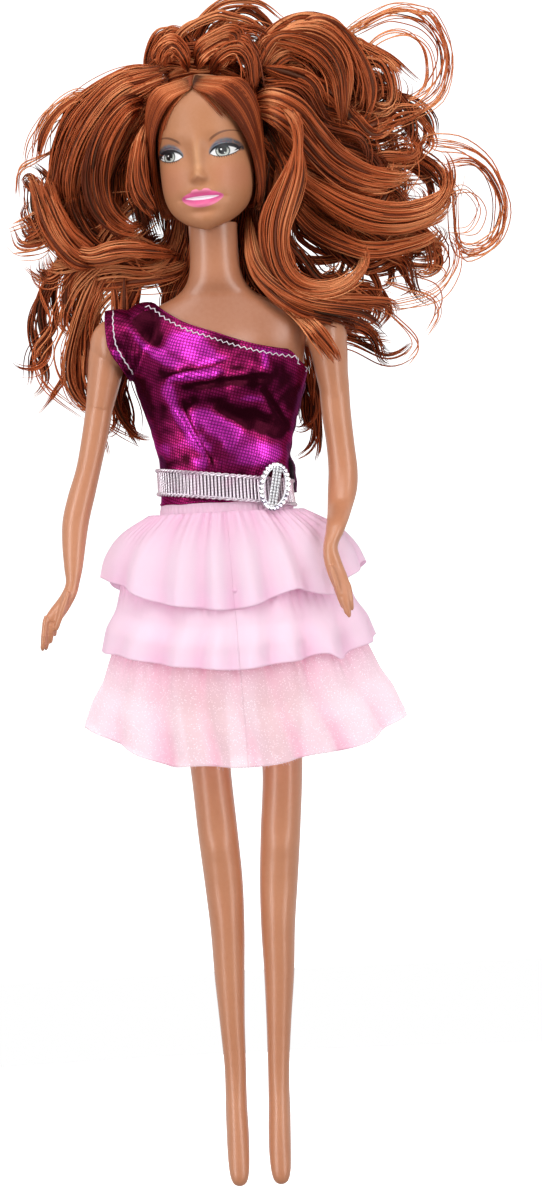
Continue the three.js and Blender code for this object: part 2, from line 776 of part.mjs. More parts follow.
// The rotocast vinyl head: hollow, with a neck recess and a floor that snaps over the knob.
function head() {
  const recessTop = neckTopRise + headPlay;
  const floorTop = recessTop + headWall;
  const hollow = headForm(-headWall, 8, 10, false);
  const aboveFloor = block(
    new THREE.Vector3(-headWidth, -headDepth, floorTop),
    new THREE.Vector3(headWidth, headDepth, floorTop + headHeight),
  );
  const roomTop = floorTop + knobHeight + headHeight * 0.3;
  const knobRoom = uprightCylinder(knobRadius + headPlay, floorTop, roomTop);
  const recessLow = recessTop - neckRecessDepth - overrun;
  const recess = uprightCylinder(neckRecessRadius, recessLow, recessTop);
  const bore = uprightCylinder(neckBoreRadius, recessTop - overrun, floorTop + overrun, 20);
  return mainBody(
    headForm(0, 20, 26, true)
      .subtract(hollow.intersect(aboveFloor).add(knobRoom))
      .subtract(recess)
      .subtract(bore),
  );
}

// Clothes that follow the torso, as a shell between two distances from its surface.
function clothShell(inner, thickness, low, high) {
  const slab = (reach) =>
    block(new THREE.Vector3(-reach, -hipWidth, low), new THREE.Vector3(reach, hipWidth, high));
  const form = (grow) => torsoForm(grow, -crotchDrop, neckTopRise, torsoRings, torsoSides);
  const half = shoulderFlatWidth / 2;
  const outer = form(inner + thickness).intersect(slab(half + inner + thickness));
  return outer.subtract(form(inner).intersect(slab(half + inner)));
}

// A prism through the body along Y, from an outline in X and Z.
function throughPrism(outline) {
  const shape = new THREE.Shape(outline.map(([x, z]) => new THREE.Vector2(x, z)));
  const depth = 4 * hipDepth;
  const geometry = new THREE.ExtrudeGeometry(shape, { depth, bevelEnabled: false });
  geometry.rotateX(Math.PI / 2);
  return placed(geometry, 0, depth / 2, 0);
}

// The neckline: across and up, as shares of the shoulder's width and height.
const necklineShares = [
  [-0.5, 1.26],
  [-0.38, 1.22],
  [-0.28, 1.13],
  [-0.17, 1.06],
  [0, 0.985],
  [0.22, 0.9],
  [0.43, 0.855],
  [0.56, 0.8],
];

function bodiceShell() {
  const inner = clothGap;
  let shell = clothShell(inner, clothThickness, -bodiceDrop, collarRise * 0.93);
  const edge = necklineShares.map(([x, z]) => [x * shoulderWidth, z * shoulderRise]);
  const top = collarRise + overrun;
  const above = throughPrism([...edge, [shoulderWidth, top], [-shoulderWidth, top]]);
  shell = shell.subtract(above);
  for (const sign of [-1, 1]) {
    const start = sign * (bustWidth * 0.3);
    const end = sign * (shoulderWidth / 2 + 2 * overrun);
    shell = shell.subtract(crossCylinder(armholeRadius, start, end, 0, shoulderAxisRise, 20));
  }
  return mainBody(shell);
}

function clothHalf(shell, sign) {
  const reach = 2 * hipDepth;
  const low = new THREE.Vector3(-hipWidth, Math.min(0, sign * reach), -crotchDrop * 2);
  const high = new THREE.Vector3(hipWidth, Math.max(0, sign * reach), neckTopRise);
  return mainBody(shell.intersect(block(low, high)));
}

// The cloth over the right shoulder, open below where the arm comes out.
function shoulderCap() {
  const start = shoulderFlatWidth / 2 - overrun;
  const end = shoulderFlatWidth / 2 + capReach;
  const rings = [];
  const inner = [];
  const count = 5;
  for (let r = 0; r < count; r++) {
    const x = THREE.MathUtils.lerp(start, end, r / (count - 1));
    const along = (x - start) / ((end - start) * 1.4);
    const reach = capRadius * (1 - along ** 3) ** (1 / 3);
    const ring = [];
    const hole = [];
    for (let s = 0; s < 20; s++) {
      const angle = (s / 20) * 2 * Math.PI;
      const y = Math.cos(angle) * 0.86;
      const z = Math.sin(angle);
      const wall = clothThickness;
      ring.push(new THREE.Vector3(-x, y * reach, shoulderAxisRise + z * reach));
      hole.push(new THREE.Vector3(-x, y * (reach - wall), shoulderAxisRise + z * (reach - wall)));
    }
    rings.push(ring);
    inner.push(hole);
  }
  const tube = solid(hollowSkin([...inner, ...rings.reverse()]));
  const cutTop = shoulderAxisRise - capRadius * 0.3;
  const low = shoulderAxisRise - capRadius - overrun;
  const opening = throughPrism([
    [-start + overrun, cutTop - capRadius * 0.45],
    [-end - overrun, cutTop],
    [-end - overrun, low],
    [-start + overrun, low],
  ]);
  const grow = clothGap + clothThickness + seatGap;
  const under = torsoForm(grow, -crotchDrop, neckTopRise, torsoRings, torsoSides);
  const half = shoulderFlatWidth / 2 + grow;
  const slab = block(
    new THREE.Vector3(-half, -hipDepth, low),
    new THREE.Vector3(half, hipDepth, neckTopRise),
  );
  return mainBody(tube.subtract(opening).subtract(under.intersect(slab)));
}

// The closure strip down the left side of the back, over the bodice.
function closure() {
  const inner = clothGap + clothThickness + seatGap;
  const low = beltRise + beltWidth;
  const high = bustRise * 0.9;
  const shell = clothShell(inner, closureThickness, low, high);
  const left = new THREE.Vector3(0, waistDepth * 0.06, low - overrun);
  const right = new THREE.Vector3(bustWidth, waistDepth * 0.36, high + overrun);
  return mainBody(shell.intersect(block(left, right)));
}

// The belt leans down towards the doll's left, like the cloth under it.
function belt() {
  const inner = clothGap + clothThickness + seatGap;
  const reach = beltWidth + waistWidth * Math.tan(toRadians(beltTiltDegrees));
  const shell = clothShell(inner, beltThickness, -reach, reach);
  const slab = block(
    new THREE.Vector3(-hipWidth, -hipWidth, beltRise - beltWidth / 2),
    new THREE.Vector3(hipWidth, hipWidth, beltRise + beltWidth / 2),
  );
  return mainBody(shell.intersect(slab.rotate([0, beltTiltDegrees, 0])));
}

// The buckle: an oval ring of stones with a prong, in a group that turns to the belt's face.
function buckleRing() {
  const points = [];
  const inner = [];
  const backs = [];
  const innerBacks = [];
  const sides = 28;
  for (let s = 0; s < sides; s++) {
    const angle = (s / sides) * 2 * Math.PI;
    const c = Math.cos(angle);
    const n = Math.sin(angle);
    const wide = buckleWidth / 2;
    const tall = buckleHeight / 2;
    const wall = 2 * stoneRadius;
    points.push(new THREE.Vector3(c * wide, -stoneRadius, n * tall));
    inner.push(new THREE.Vector3(c * (wide - wall), -stoneRadius, n * (tall - wall)));
    backs.push(new THREE.Vector3(c * wide, stoneRadius, n * tall));
    innerBacks.push(new THREE.Vector3(c * (wide - wall), stoneRadius, n * (tall - wall)));
  }
  const ring = solid(hollowSkin([points, inner, innerBacks, backs]));
  const prong = block(
    new THREE.Vector3(-stoneRadius, -stoneRadius, -buckleHeight / 2 + stoneRadius),
    new THREE.Vector3(stoneRadius, stoneRadius, buckleHeight / 2 - stoneRadius),
  );
  return ring.add(prong);
}

function skirtTier(tier, ringCount, sides) {
  const outer = [];
  const inner = [];
  const [from, to] = [tier[0][0], tier[tier.length - 1][0]];
  for (let r = 0; r < ringCount; r++) {
    const at = THREE.MathUtils.lerp(to, from, r / (ringCount - 1));
    const ring = [];
    const back = [];
    for (let s = 0; s < sides; s++) {
      const angle = (s / sides) * 2 * Math.PI;
      ring.push(skirtPoint(tier, at, angle, tierThickness / 2));
      back.push(skirtPoint(tier, at, angle, -tierThickness / 2));
    }
    outer.push(ring);
    inner.push(back);
  }
  return solid(hollowSkin([...outer, ...inner.reverse()]));
}

function waistband() {
  const high = -bodiceDrop - seatGap;
  const shell = clothShell(clothGap, waistbandThickness, high - waistbandWidth, high);
  return mainBody(shell);
}

// Hair. Places are shares of the fibres' length, from the parting's height on the neck's
// axis: across, backward and up, then half width and half depth there.
const hairRoutes = {
  hair_front_right: [
    [
      [-0.04, -0.105, 0.085, 0.02, 0.012],
      [-0.115, -0.105, 0.02, 0.03, 0.014],
      [-0.155, -0.06, -0.08, 0.028, 0.018],
      [-0.165, -0.02, -0.2, 0.022, 0.018],
      [-0.16, 0.01, -0.3, 0.01, 0.01],
    ],
  ],
  hair_front_left: [
    [
      [-0.01, -0.11, 0.085, 0.02, 0.012],
      [0.075, -0.115, 0.02, 0.03, 0.014],
      [0.125, -0.08, -0.08, 0.028, 0.018],
      [0.145, -0.03, -0.2, 0.024, 0.018],
      [0.14, 0.01, -0.3, 0.01, 0.01],
    ],
  ],
  hair_side_right: [
    [
      [-0.1, 0.02, 0.095, 0.035, 0.033],
      [-0.23, 0.05, 0.055, 0.071, 0.05],
      [-0.33, 0.07, -0.05, 0.088, 0.061],
      [-0.36, 0.09, -0.2, 0.071, 0.055],
      [-0.335, 0.1, -0.33, 0.047, 0.044],
    ],
    [
      [-0.15, 0.05, 0.03, 0.047, 0.039],
      [-0.225, 0.07, -0.07, 0.065, 0.05],
      [-0.27, 0.09, -0.2, 0.059, 0.05],
      [-0.24, 0.1, -0.34, 0.059, 0.044],
    ],
  ],
  hair_tips_right: [
    [
      [-0.4, 0.1, -0.13, 0.03, 0.025],
      [-0.44, 0.1, -0.22, 0.045, 0.03],
      [-0.47, 0.11, -0.29, 0.025, 0.02],
      [-0.53, 0.12, -0.3, 0.006, 0.006],
    ],
    [
      [-0.4, 0.1, -0.36, 0.03, 0.02],
      [-0.43, 0.1, -0.26, 0.035, 0.03],
      [-0.465, 0.1, -0.17, 0.025, 0.02],
      [-0.5, 0.11, -0.135, 0.006, 0.006],
    ],
  ],
  hair_nape_right: [
    [
      [-0.38, 0.12, -0.4, 0.056, 0.028],
      [-0.26, 0.115, -0.38, 0.075, 0.039],
      [-0.15, 0.1, -0.38, 0.069, 0.033],
      [-0.085, 0.09, -0.35, 0.037, 0.022],
    ],
  ],
  hair_arm_right: [
    [
      [-0.31, 0.12, -0.42, 0.036, 0.028],
      [-0.335, 0.12, -0.5, 0.036, 0.028],
      [-0.36, 0.12, -0.6, 0.034, 0.024],
      [-0.37, 0.115, -0.7, 0.024, 0.02],
      [-0.345, 0.11, -0.8, 0.012, 0.011],
    ],
  ],
  hair_strand_right: [
    [
      [-0.4, 0.115, -0.34, 0.022, 0.018],
      [-0.45, 0.125, -0.5, 0.022, 0.014],
      [-0.46, 0.125, -0.64, 0.016, 0.012],
      [-0.4, 0.12, -0.76, 0.01, 0.01],
    ],
  ],
  hair_crown_rolls: [
    [
      [-0.15, 0.07, 0.11, 0.024, 0.022],
      [-0.1, 0.07, 0.15, 0.034, 0.028],
      [-0.02, 0.07, 0.135, 0.036, 0.033],
      [0.05, 0.07, 0.165, 0.042, 0.033],
      [0.12, 0.08, 0.16, 0.042, 0.033],
      [0.17, 0.08, 0.1, 0.036, 0.033],
    ],
  ],
  hair_roll_top: [
    [
      [0.14, 0.06, 0.08, 0.045, 0.044],
      [0.2, 0.08, 0.155, 0.062, 0.05],
      [0.29, 0.1, 0.17, 0.073, 0.05],
      [0.37, 0.1, 0.11, 0.073, 0.05],
      [0.4, 0.11, 0.01, 0.067, 0.044],
      [0.42, 0.12, -0.07, 0.045, 0.033],
    ],
  ],
  hair_curl_inner: [
    [
      [0.15, 0.07, 0.05, 0.03, 0.03],
      [0.215, 0.1, 0.1, 0.04, 0.03],
      [0.3, 0.115, 0.06, 0.045, 0.03],
      [0.35, 0.12, -0.03, 0.04, 0.03],
    ],
  ],
  hair_sweep_upper: [
    [
      [0.13, 0.04, 0.06, 0.056, 0.039],
      [0.21, 0.06, 0.04, 0.075, 0.05],
      [0.28, 0.08, -0.03, 0.081, 0.05],
      [0.38, 0.09, -0.1, 0.075, 0.044],
      [0.5, 0.1, -0.13, 0.062, 0.039],
      [0.62, 0.1, -0.13, 0.044, 0.028],
    ],
  ],
  hair_sweep_middle: [
    [
      [0.155, 0.04, -0.04, 0.056, 0.044],
      [0.23, 0.06, -0.13, 0.075, 0.05],
      [0.34, 0.09, -0.215, 0.075, 0.044],
      [0.48, 0.1, -0.245, 0.069, 0.039],
      [0.61, 0.1, -0.26, 0.056, 0.031],
    ],
  ],
  hair_sweep_lower: [
    [
      [0.19, 0.08, -0.2, 0.044, 0.039],
      [0.3, 0.1, -0.32, 0.056, 0.039],
      [0.42, 0.11, -0.37, 0.056, 0.033],
      [0.54, 0.11, -0.375, 0.044, 0.028],
      [0.625, 0.11, -0.34, 0.025, 0.022],
    ],
  ],
  hair_lock_shoulder: [
    [
      [0.17, 0.03, -0.13, 0.045, 0.033],
      [0.16, 0.045, -0.25, 0.047, 0.033],
      [0.17, 0.07, -0.38, 0.043, 0.031],
      [0.24, 0.105, -0.47, 0.038, 0.028],
      [0.36, 0.12, -0.49, 0.038, 0.024],
      [0.46, 0.12, -0.47, 0.025, 0.018],
    ],
  ],
  hair_lock_low: [
    [
      [0.1, 0.1, -0.36, 0.031, 0.023],
      [0.145, 0.11, -0.47, 0.035, 0.025],
      [0.235, 0.125, -0.56, 0.037, 0.025],
      [0.35, 0.13, -0.585, 0.037, 0.025],
      [0.45, 0.13, -0.57, 0.044, 0.023],
      [0.48, 0.13, -0.55, 0.019, 0.014],
    ],
  ],
  hair_back: [
    [
      [0, 0.165, -0.1, 0.09, 0.03],
      [0, 0.155, -0.25, 0.12, 0.035],
      [0, 0.14, -0.4, 0.14, 0.03],
      [-0.02, 0.13, -0.55, 0.13, 0.02],
      [-0.04, 0.125, -0.68, 0.09, 0.015],
    ],
  ],
  hair_tail_right: [
    [
      [-0.2, 0.13, -0.4, 0.03, 0.02],
      [-0.24, 0.13, -0.52, 0.03, 0.02],
      [-0.27, 0.12, -0.66, 0.035, 0.018],
      [-0.28, 0.115, -0.8, 0.03, 0.014],
      [-0.3, 0.11, -0.88, 0.01, 0.008],
    ],
  ],
  hair_tail_left: [
    [
      [0.14, 0.14, -0.48, 0.026, 0.018],
      [0.185, 0.14, -0.6, 0.022, 0.016],
      [0.215, 0.125, -0.72, 0.018, 0.012],
      [0.225, 0.12, -0.82, 0.014, 0.01],
      [0.215, 0.12, -0.88, 0.006, 0.006],
    ],
  ],
  hair_loop_top: [
    [
      [0.35, 0.11, 0.18, 0.01, 0.008],
      [0.42, 0.11, 0.205, 0.01, 0.008],
      [0.5, 0.11, 0.235, 0.012, 0.008],
      [0.58, 0.11, 0.21, 0.012, 0.008],
      [0.625, 0.11, 0.12, 0.012, 0.008],
      [0.59, 0.11, 0.02, 0.012, 0.008],
      [0.47, 0.11, -0.035, 0.01, 0.008],
      [0.42, 0.11, -0.03, 0.01, 0.008],
    ],
  ],
  hair_loop_side: [
    [
      [0.6, 0.11, -0.17, 0.01, 0.008],
      [0.7, 0.11, -0.17, 0.01, 0.008],
      [0.755, 0.11, -0.27, 0.012, 0.008],
      [0.73, 0.11, -0.37, 0.014, 0.008],
      [0.65, 0.11, -0.39, 0.014, 0.008],
      [0.62, 0.11, -0.31, 0.01, 0.008],
    ],
  ],
};

// One tapered lock along a route; grow keeps its neighbours clear.
function lock(route, grow) {
  const rise = neckTopRise - chinDrop + headHeight - hairRootDrop;
  const at = ([x, y, z]) =>
    new THREE.Vector3(x * hairLength, y * hairLength, rise + z * hairLength);
  const curve = new THREE.CatmullRomCurve3(route.map(at));
  const steps = (route.length - 1) * 2;
  const sides = 7;
  const rings = [];
  for (let r = 0; r <= steps; r++) {
    const t = r / steps;
    const row = t * (route.length - 1);
    const a = Math.min(route.length - 2, Math.floor(row));
    const mix = row - a;
    const width = THREE.MathUtils.lerp(route[a][3], route[a + 1][3], mix) * hairLength + grow;
    const depth = THREE.MathUtils.lerp(route[a][4], route[a + 1][4], mix) * hairLength + grow;
    const middle = curve.getPoint(t);
    const along = curve.getTangent(t);
    const across = new THREE.Vector3().crossVectors(along, new THREE.Vector3(0, 1, 0)).normalize();
    const back = new THREE.Vector3().crossVectors(across, along).normalize();
    const ring = [];
    for (let s = 0; s < sides; s++) {
      const angle = (s / sides) * 2 * Math.PI;
      ring.push(
        middle
          .clone()
          .addScaledVector(across, -Math.cos(angle) * width)
          .addScaledVector(back, Math.sin(angle) * depth),
      );
    }
    rings.push(ring);
  }
  return solid(skin(rings));
}

function lockGroup(routes, grow) {
  return routes.map((route) => lock(route, grow)).reduce((a, b) => a.add(b));
}

// The rooted cap of hair over the skull, open round the face.
function hairCap(grow) {
  const crown = neckTopRise - chinDrop + headHeight;
  const outer = headForm(hairCapGap + hairCapThickness + grow, 15, 20, false);
  const inner = headForm(hairCapGap - grow, 15, 20, false);
  const low = crown - napeDrop;
  const windowTop = crown - hairlineDrop;
  const windowLow = neckTopRise - headHeight * 0.2;
  const face = new THREE.CylinderGeometry(1, 1, headDepth, 24);
  face.scale(faceWindowWidth / 2 - grow, 1, (windowTop - windowLow) / 2 - grow);
  const opening = placed(face, 0, -headDepth * 0.53, (windowTop + windowLow) / 2);
  const below = block(
    new THREE.Vector3(-headWidth, -headDepth, low - headHeight),
    new THREE.Vector3(headWidth, headDepth, low - grow),
  );
  return mainBody(outer.subtract(inner).subtract(opening).subtract(below));
}

const doll = new THREE.Group();

// The head turns and leans about the middle of its floor, within its play on the knob.
const headPivotRise = neckTopRise + headPlay + headWall / 2;
const headGroup = new THREE.Group();
headGroup.rotation.set(0, toRadians(headLeanDegrees), toRadians(headTurnDegrees));
headGroup.position.set(0, 0, -headPivotRise).applyEuler(headGroup.rotation);
headGroup.position.z += headPivotRise;
doll.add(headGroup);

function withHead(body) {
  return body
    .translate([0, 0, -headPivotRise])
    .rotate([0, 0, headTurnDegrees])
    .rotate([0, headLeanDegrees, 0])
    .translate([0, 0, headPivotRise]);
}

function addPiece(name, body, material, group = doll) {
  const mesh = new THREE.Mesh(geometryOf(body), material);
  mesh.name = name;
  group.add(mesh);
  return mesh;
}

const shell = torsoShell();
addPiece("torso_front", torsoHalf(shell, -1), bodyPlastic);
addPiece("torso_back", torsoHalf(shell, 1), bodyPlastic);
addPiece("neck_knob", neckKnob(), knobPlastic);
addPiece("leg_right", leg(-1), bodyPlastic);
addPiece("leg_left", leg(1), bodyPlastic);
addPiece("arm_right", arm(-1, rightArmShares, rightFingerShares), bodyPlastic);
addPiece("arm_left", arm(1, leftArmShares, leftFingerShares), bodyPlastic);
addPiece("head", head(), headVinyl, headGroup);

const bodice = bodiceShell();
addPiece("bodice_front", clothHalf(bodice, -1), lameCloth);
addPiece("bodice_back", clothHalf(bodice, 1), lameCloth);
addPiece("bodice_shoulder", shoulderCap(), lameCloth);
addPiece("bodice_closure", closure(), hookStrip);
addPiece("belt_band", belt(), silverBraid);

const buckle = addPiece("belt_buckle", buckleRing(), stoneSetting);
const buckleAngle = -Math.PI / 2 + toRadians(buckleTurnDegrees);
const seat = clothGap + clothThickness + beltThickness + seatGap + buckleStandOff + stoneRadius;
const seatPoint = torsoPoint(buckleAngle, 0, seat);
buckle.position.copy(seatPoint);
buckle.rotation.z = toRadians(buckleTurnDegrees * 0.6);

addPiece("skirt_waistband", waistband(), pinkSatin);
const tierNames = ["skirt_tier_top", "skirt_tier_middle", "skirt_tier_bottom"];
tiers.forEach((tier, i) => addPiece(tierNames[i], skirtTier(tier, 4, 44), pinkSatin));

addPiece("hair_cap", hairCap(0), hairFibre, headGroup);
const taken = [withHead(hairCap(seatGap)), withHead(headForm(seatGap, 20, 26, true))];
const neckRoom = torsoForm(clothGap + clothThickness + seatGap, 0, neckTopRise, 20, 20);
taken.push(neckRoom);
for (const [name, routes] of Object.entries(hairRoutes)) {
  let body = lockGroup(routes, 0);
  for (const other of taken) body = body.subtract(other);
  addPiece(name, mainBody(body), hairFibre);
  taken.push(lockGroup(routes, seatGap));
}

export default doll;
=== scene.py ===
"""Dresses the fashion doll: plastic body, painted face, rooted hair, foil top, belt and tiered skirt."""

import math
import random

import bmesh
import bpy
import numpy as np
from bpy.props import FloatProperty, FloatVectorProperty, IntProperty, PointerProperty
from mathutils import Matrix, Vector, noise
from mathutils.bvhtree import BVHTree


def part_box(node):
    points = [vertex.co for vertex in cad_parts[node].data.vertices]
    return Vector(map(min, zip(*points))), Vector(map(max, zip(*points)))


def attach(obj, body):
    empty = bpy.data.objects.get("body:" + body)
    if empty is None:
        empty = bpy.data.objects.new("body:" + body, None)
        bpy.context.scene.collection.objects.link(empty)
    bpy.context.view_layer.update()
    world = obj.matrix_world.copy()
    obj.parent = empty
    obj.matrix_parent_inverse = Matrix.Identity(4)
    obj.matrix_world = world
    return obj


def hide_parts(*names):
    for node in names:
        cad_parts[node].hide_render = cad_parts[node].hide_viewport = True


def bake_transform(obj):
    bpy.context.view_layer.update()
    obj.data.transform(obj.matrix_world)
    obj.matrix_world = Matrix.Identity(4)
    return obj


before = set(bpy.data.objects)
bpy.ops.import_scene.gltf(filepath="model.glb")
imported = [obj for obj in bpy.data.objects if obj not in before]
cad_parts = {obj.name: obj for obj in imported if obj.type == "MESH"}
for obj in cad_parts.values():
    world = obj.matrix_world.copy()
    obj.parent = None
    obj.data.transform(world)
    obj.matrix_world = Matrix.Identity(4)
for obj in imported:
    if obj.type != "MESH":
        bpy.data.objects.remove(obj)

bl_info = {
    "name": "Fashion doll",
    "version": (1, 0, 0),
    "blender": (4, 5, 0),
    "location": "3D View > Sidebar > Doll",
    "description": "Builds the looks of a jointed fashion doll around its frame",
    "category": "Object",
}

# Shapes are worked out in millimetres and handed to Blender in metres.
MM = 0.001
TURN = 2 * math.pi

# The doll's own sizes, as its frame has them.
CROTCH_DROP = 36
HIP_DROP = 18
BUST_RISE = 30
SHOULDER_RISE = 41
COLLAR_RISE = 54
NECK_TOP = 69.5
WAIST_WIDTH = 31.6
WAIST_DEPTH = 16.8
HIP_WIDTH = 34.6
HIP_DEPTH = 20.6
BUST_WIDTH = 43
RIB_DEPTH = 19
SHOULDER_WIDTH = 46
SHOULDER_FLAT = 22.6
NECK_WIDTH = 12.6
BREAST_REACH = 4.6
BREAST_SPACING = 18.4
BREAST_SIZE = 6.2
HIP_AXIS_DROP = 26
HIP_DISC_RADIUS = 9.5
HIP_WEB_WIDTH = 6.6
HIP_SPACING = 21
THIGH_WIDTH = 13.4
THIGH_DEPTH = 16
LEG_LENGTH = 155
LEG_SWAY = 1.9
RUNNING_GAP = 0.4
CLOTH_GAP = 0.4
SEAT_GAP = 0.3
SHOULDER_AXIS = 38.5
ARM_LENGTH = 77
UPPER_ARM = 7.4
BALL = (10.6, 12, 14.4)
HAND_LENGTH = 16
HEAD_HEIGHT = 41.4
HEAD_WIDTH = 25.2
HEAD_DEPTH = 29
CHIN_RISE = 67.5
HEAD_TURN = math.radians(-10)
HEAD_LEAN = math.radians(-3)
HEAD_PIVOT = 71.1
# What holds a limb: the stub's radius, and its flange's radius and thickness.
LEG_STUB = (3.4, 5.2, 1.1)
HIP_WALL = 1.4
ARM_STUB = (2, 3.2, 1.2)
SHOULDER_WALL = 3.4
ARMHOLE_RADIUS = 8.3
BODICE_DROP = 3
BELT_WIDTH = 6.6
BELT_RISE = 0.6
BELT_TILT = math.radians(7)
BUCKLE_WIDTH = 8.6
BUCKLE_HEIGHT = 12.4
BUCKLE_TURN = math.radians(38)
SKIRT_TOP = -5.8
WAISTBAND_WIDTH = 5
WAISTBAND_THICKNESS = 0.8
TIER_THICKNESS = 0.6
FOLD_DEPTH = 1.3
SKIRT_LENGTH = 65
SKIRT_FLARE = 26
SKIRT_FRONT_FLARE = 10
SKIRT_SWAY = 2.6
HAIR_LENGTH = 100
HAIR_ROOT = 99.9

# The torso from the crotch up: height, half width, and depth to the front and to the back.
TORSO_SECTIONS = [
    [-CROTCH_DROP, HIP_WIDTH * 0.26, HIP_DEPTH * 0.22, HIP_DEPTH * 0.24],
    [-CROTCH_DROP * 0.92, HIP_WIDTH * 0.37, HIP_DEPTH * 0.35, HIP_DEPTH * 0.39],
    [-CROTCH_DROP * 0.75, HIP_WIDTH * 0.46, HIP_DEPTH * 0.44, HIP_DEPTH * 0.49],
    [-HIP_DROP, HIP_WIDTH * 0.5, HIP_DEPTH * 0.46, HIP_DEPTH * 0.53],
    [-HIP_DROP * 0.5, HIP_WIDTH * 0.485, HIP_DEPTH * 0.44, HIP_DEPTH * 0.48],
    [0, WAIST_WIDTH * 0.5, WAIST_DEPTH * 0.51, WAIST_DEPTH * 0.49],
    [BUST_RISE * 0.33, WAIST_WIDTH * 0.515, WAIST_DEPTH * 0.54, WAIST_DEPTH * 0.48],
    [BUST_RISE * 0.67, BUST_WIDTH * 0.44, RIB_DEPTH * 0.52, RIB_DEPTH * 0.44],
    [BUST_RISE * 0.94, BUST_WIDTH * 0.495, RIB_DEPTH * 0.55, RIB_DEPTH * 0.46],
    [SHOULDER_RISE * 0.85, SHOULDER_WIDTH * 0.485, RIB_DEPTH * 0.5, RIB_DEPTH * 0.47],
    [SHOULDER_RISE, SHOULDER_WIDTH * 0.5, RIB_DEPTH * 0.43, RIB_DEPTH * 0.45],
    [SHOULDER_RISE * 1.1, SHOULDER_WIDTH * 0.465, RIB_DEPTH * 0.38, RIB_DEPTH * 0.41],
    [COLLAR_RISE * 0.9, SHOULDER_WIDTH * 0.335, RIB_DEPTH * 0.34, RIB_DEPTH * 0.37],
    [COLLAR_RISE * 0.945, SHOULDER_WIDTH * 0.23, RIB_DEPTH * 0.32, RIB_DEPTH * 0.34],
    [COLLAR_RISE, NECK_WIDTH * 0.62, NECK_WIDTH * 0.52, NECK_WIDTH * 0.54],
    [COLLAR_RISE * 1.08, NECK_WIDTH * 0.52, NECK_WIDTH * 0.5, NECK_WIDTH * 0.5],
    [NECK_TOP, NECK_WIDTH * 0.5, NECK_WIDTH * 0.5, NECK_WIDTH * 0.5],
]

# A leg down its length: share of it, the way outwards and backwards, half width and half depth as shares
# of the thigh, and the share of the sway.
LEG_SECTIONS = [
    [0, 0, 0, 0.5, 0.5, 0], [0.06, -0.01, 0.005, 0.49, 0.495, 0.1], [0.15, -0.04, 0.01, 0.455, 0.47, 0.5],
    [0.3, -0.085, -0.01, 0.375, 0.38, 1], [0.41, -0.175, -0.03, 0.37, 0.32, 0.95],
    [0.49, -0.245, 0.03, 0.355, 0.325, 0.9], [0.57, -0.29, 0.055, 0.315, 0.325, 0.8],
    [0.65, -0.3, 0.045, 0.275, 0.27, 0.7], [0.73, -0.33, 0.025, 0.225, 0.21, 0.55],
    [0.8, -0.36, 0.02, 0.195, 0.19, 0.45], [0.845, -0.365, 0.045, 0.19, 0.235, 0.35],
    [0.875, -0.365, 0.02, 0.195, 0.275, 0.3], [0.91, -0.375, -0.075, 0.2, 0.255, 0.25],
    [0.95, -0.38, -0.2, 0.195, 0.2, 0.2], [0.98, -0.38, -0.3, 0.17, 0.15, 0.2],
    [0.995, -0.38, -0.345, 0.115, 0.09, 0.2], [1, -0.38, -0.36, 0.04, 0.035, 0.2],
]

# The right and the left arm down their length: share of it, the way outwards and backwards, half width and
# half depth as shares of the upper arm.
ARM_SECTIONS = {
    -1: [
        [0, 0.72, 0, 0.46, 0.46], [0.1, 1, 0.05, 0.5, 0.52], [0.2, 1.2, 0.1, 0.49, 0.5],
        [0.3, 1.42, 0.13, 0.47, 0.46], [0.4, 1.68, 0.14, 0.45, 0.45], [0.5, 2, 0.1, 0.49, 0.48],
        [0.58, 2.22, 0, 0.48, 0.46], [0.66, 2.32, -0.2, 0.42, 0.41], [0.74, 2.37, -0.42, 0.33, 0.33],
        [0.79, 2.42, -0.56, 0.25, 0.28], [0.83, 2.58, -0.68, 0.29, 0.24], [0.88, 2.94, -0.8, 0.35, 0.2],
        [0.915, 3.2, -0.86, 0.33, 0.17],
    ],
    1: [
        [0, 0.72, 0, 0.46, 0.46], [0.1, 0.86, 0.05, 0.53, 0.52], [0.25, 0.92, 0.12, 0.52, 0.5],
        [0.37, 1.02, 0.17, 0.5, 0.46], [0.45, 1.06, 0.12, 0.52, 0.5], [0.52, 1, -0.1, 0.52, 0.5],
        [0.59, 0.85, -0.55, 0.43, 0.44], [0.66, 0.64, -1.28, 0.33, 0.35], [0.71, 0.46, -1.78, 0.26, 0.29],
        [0.755, 0.5, -2.12, 0.3, 0.25], [0.81, 0.66, -2.42, 0.33, 0.22], [0.85, 0.8, -2.6, 0.31, 0.18],
    ],
}

# The head from the chin up: share of its height, half width, and depth to the front and to the back.
HEAD_SECTIONS = [
    [0, 0.03, 0.37, -0.3], [0.02, 0.13, 0.405, -0.18], [0.05, 0.235, 0.43, -0.02],
    [0.1, 0.34, 0.448, 0.14], [0.16, 0.415, 0.462, 0.27], [0.24, 0.462, 0.467, 0.37],
    [0.34, 0.482, 0.455, 0.44], [0.46, 0.49, 0.44, 0.5], [0.58, 0.495, 0.44, 0.52],
    [0.7, 0.495, 0.44, 0.52], [0.8, 0.465, 0.415, 0.49], [0.88, 0.4, 0.355, 0.43],
    [0.94, 0.305, 0.265, 0.34], [0.98, 0.17, 0.14, 0.22], [1, 0.02, -0.01, 0.05],
]

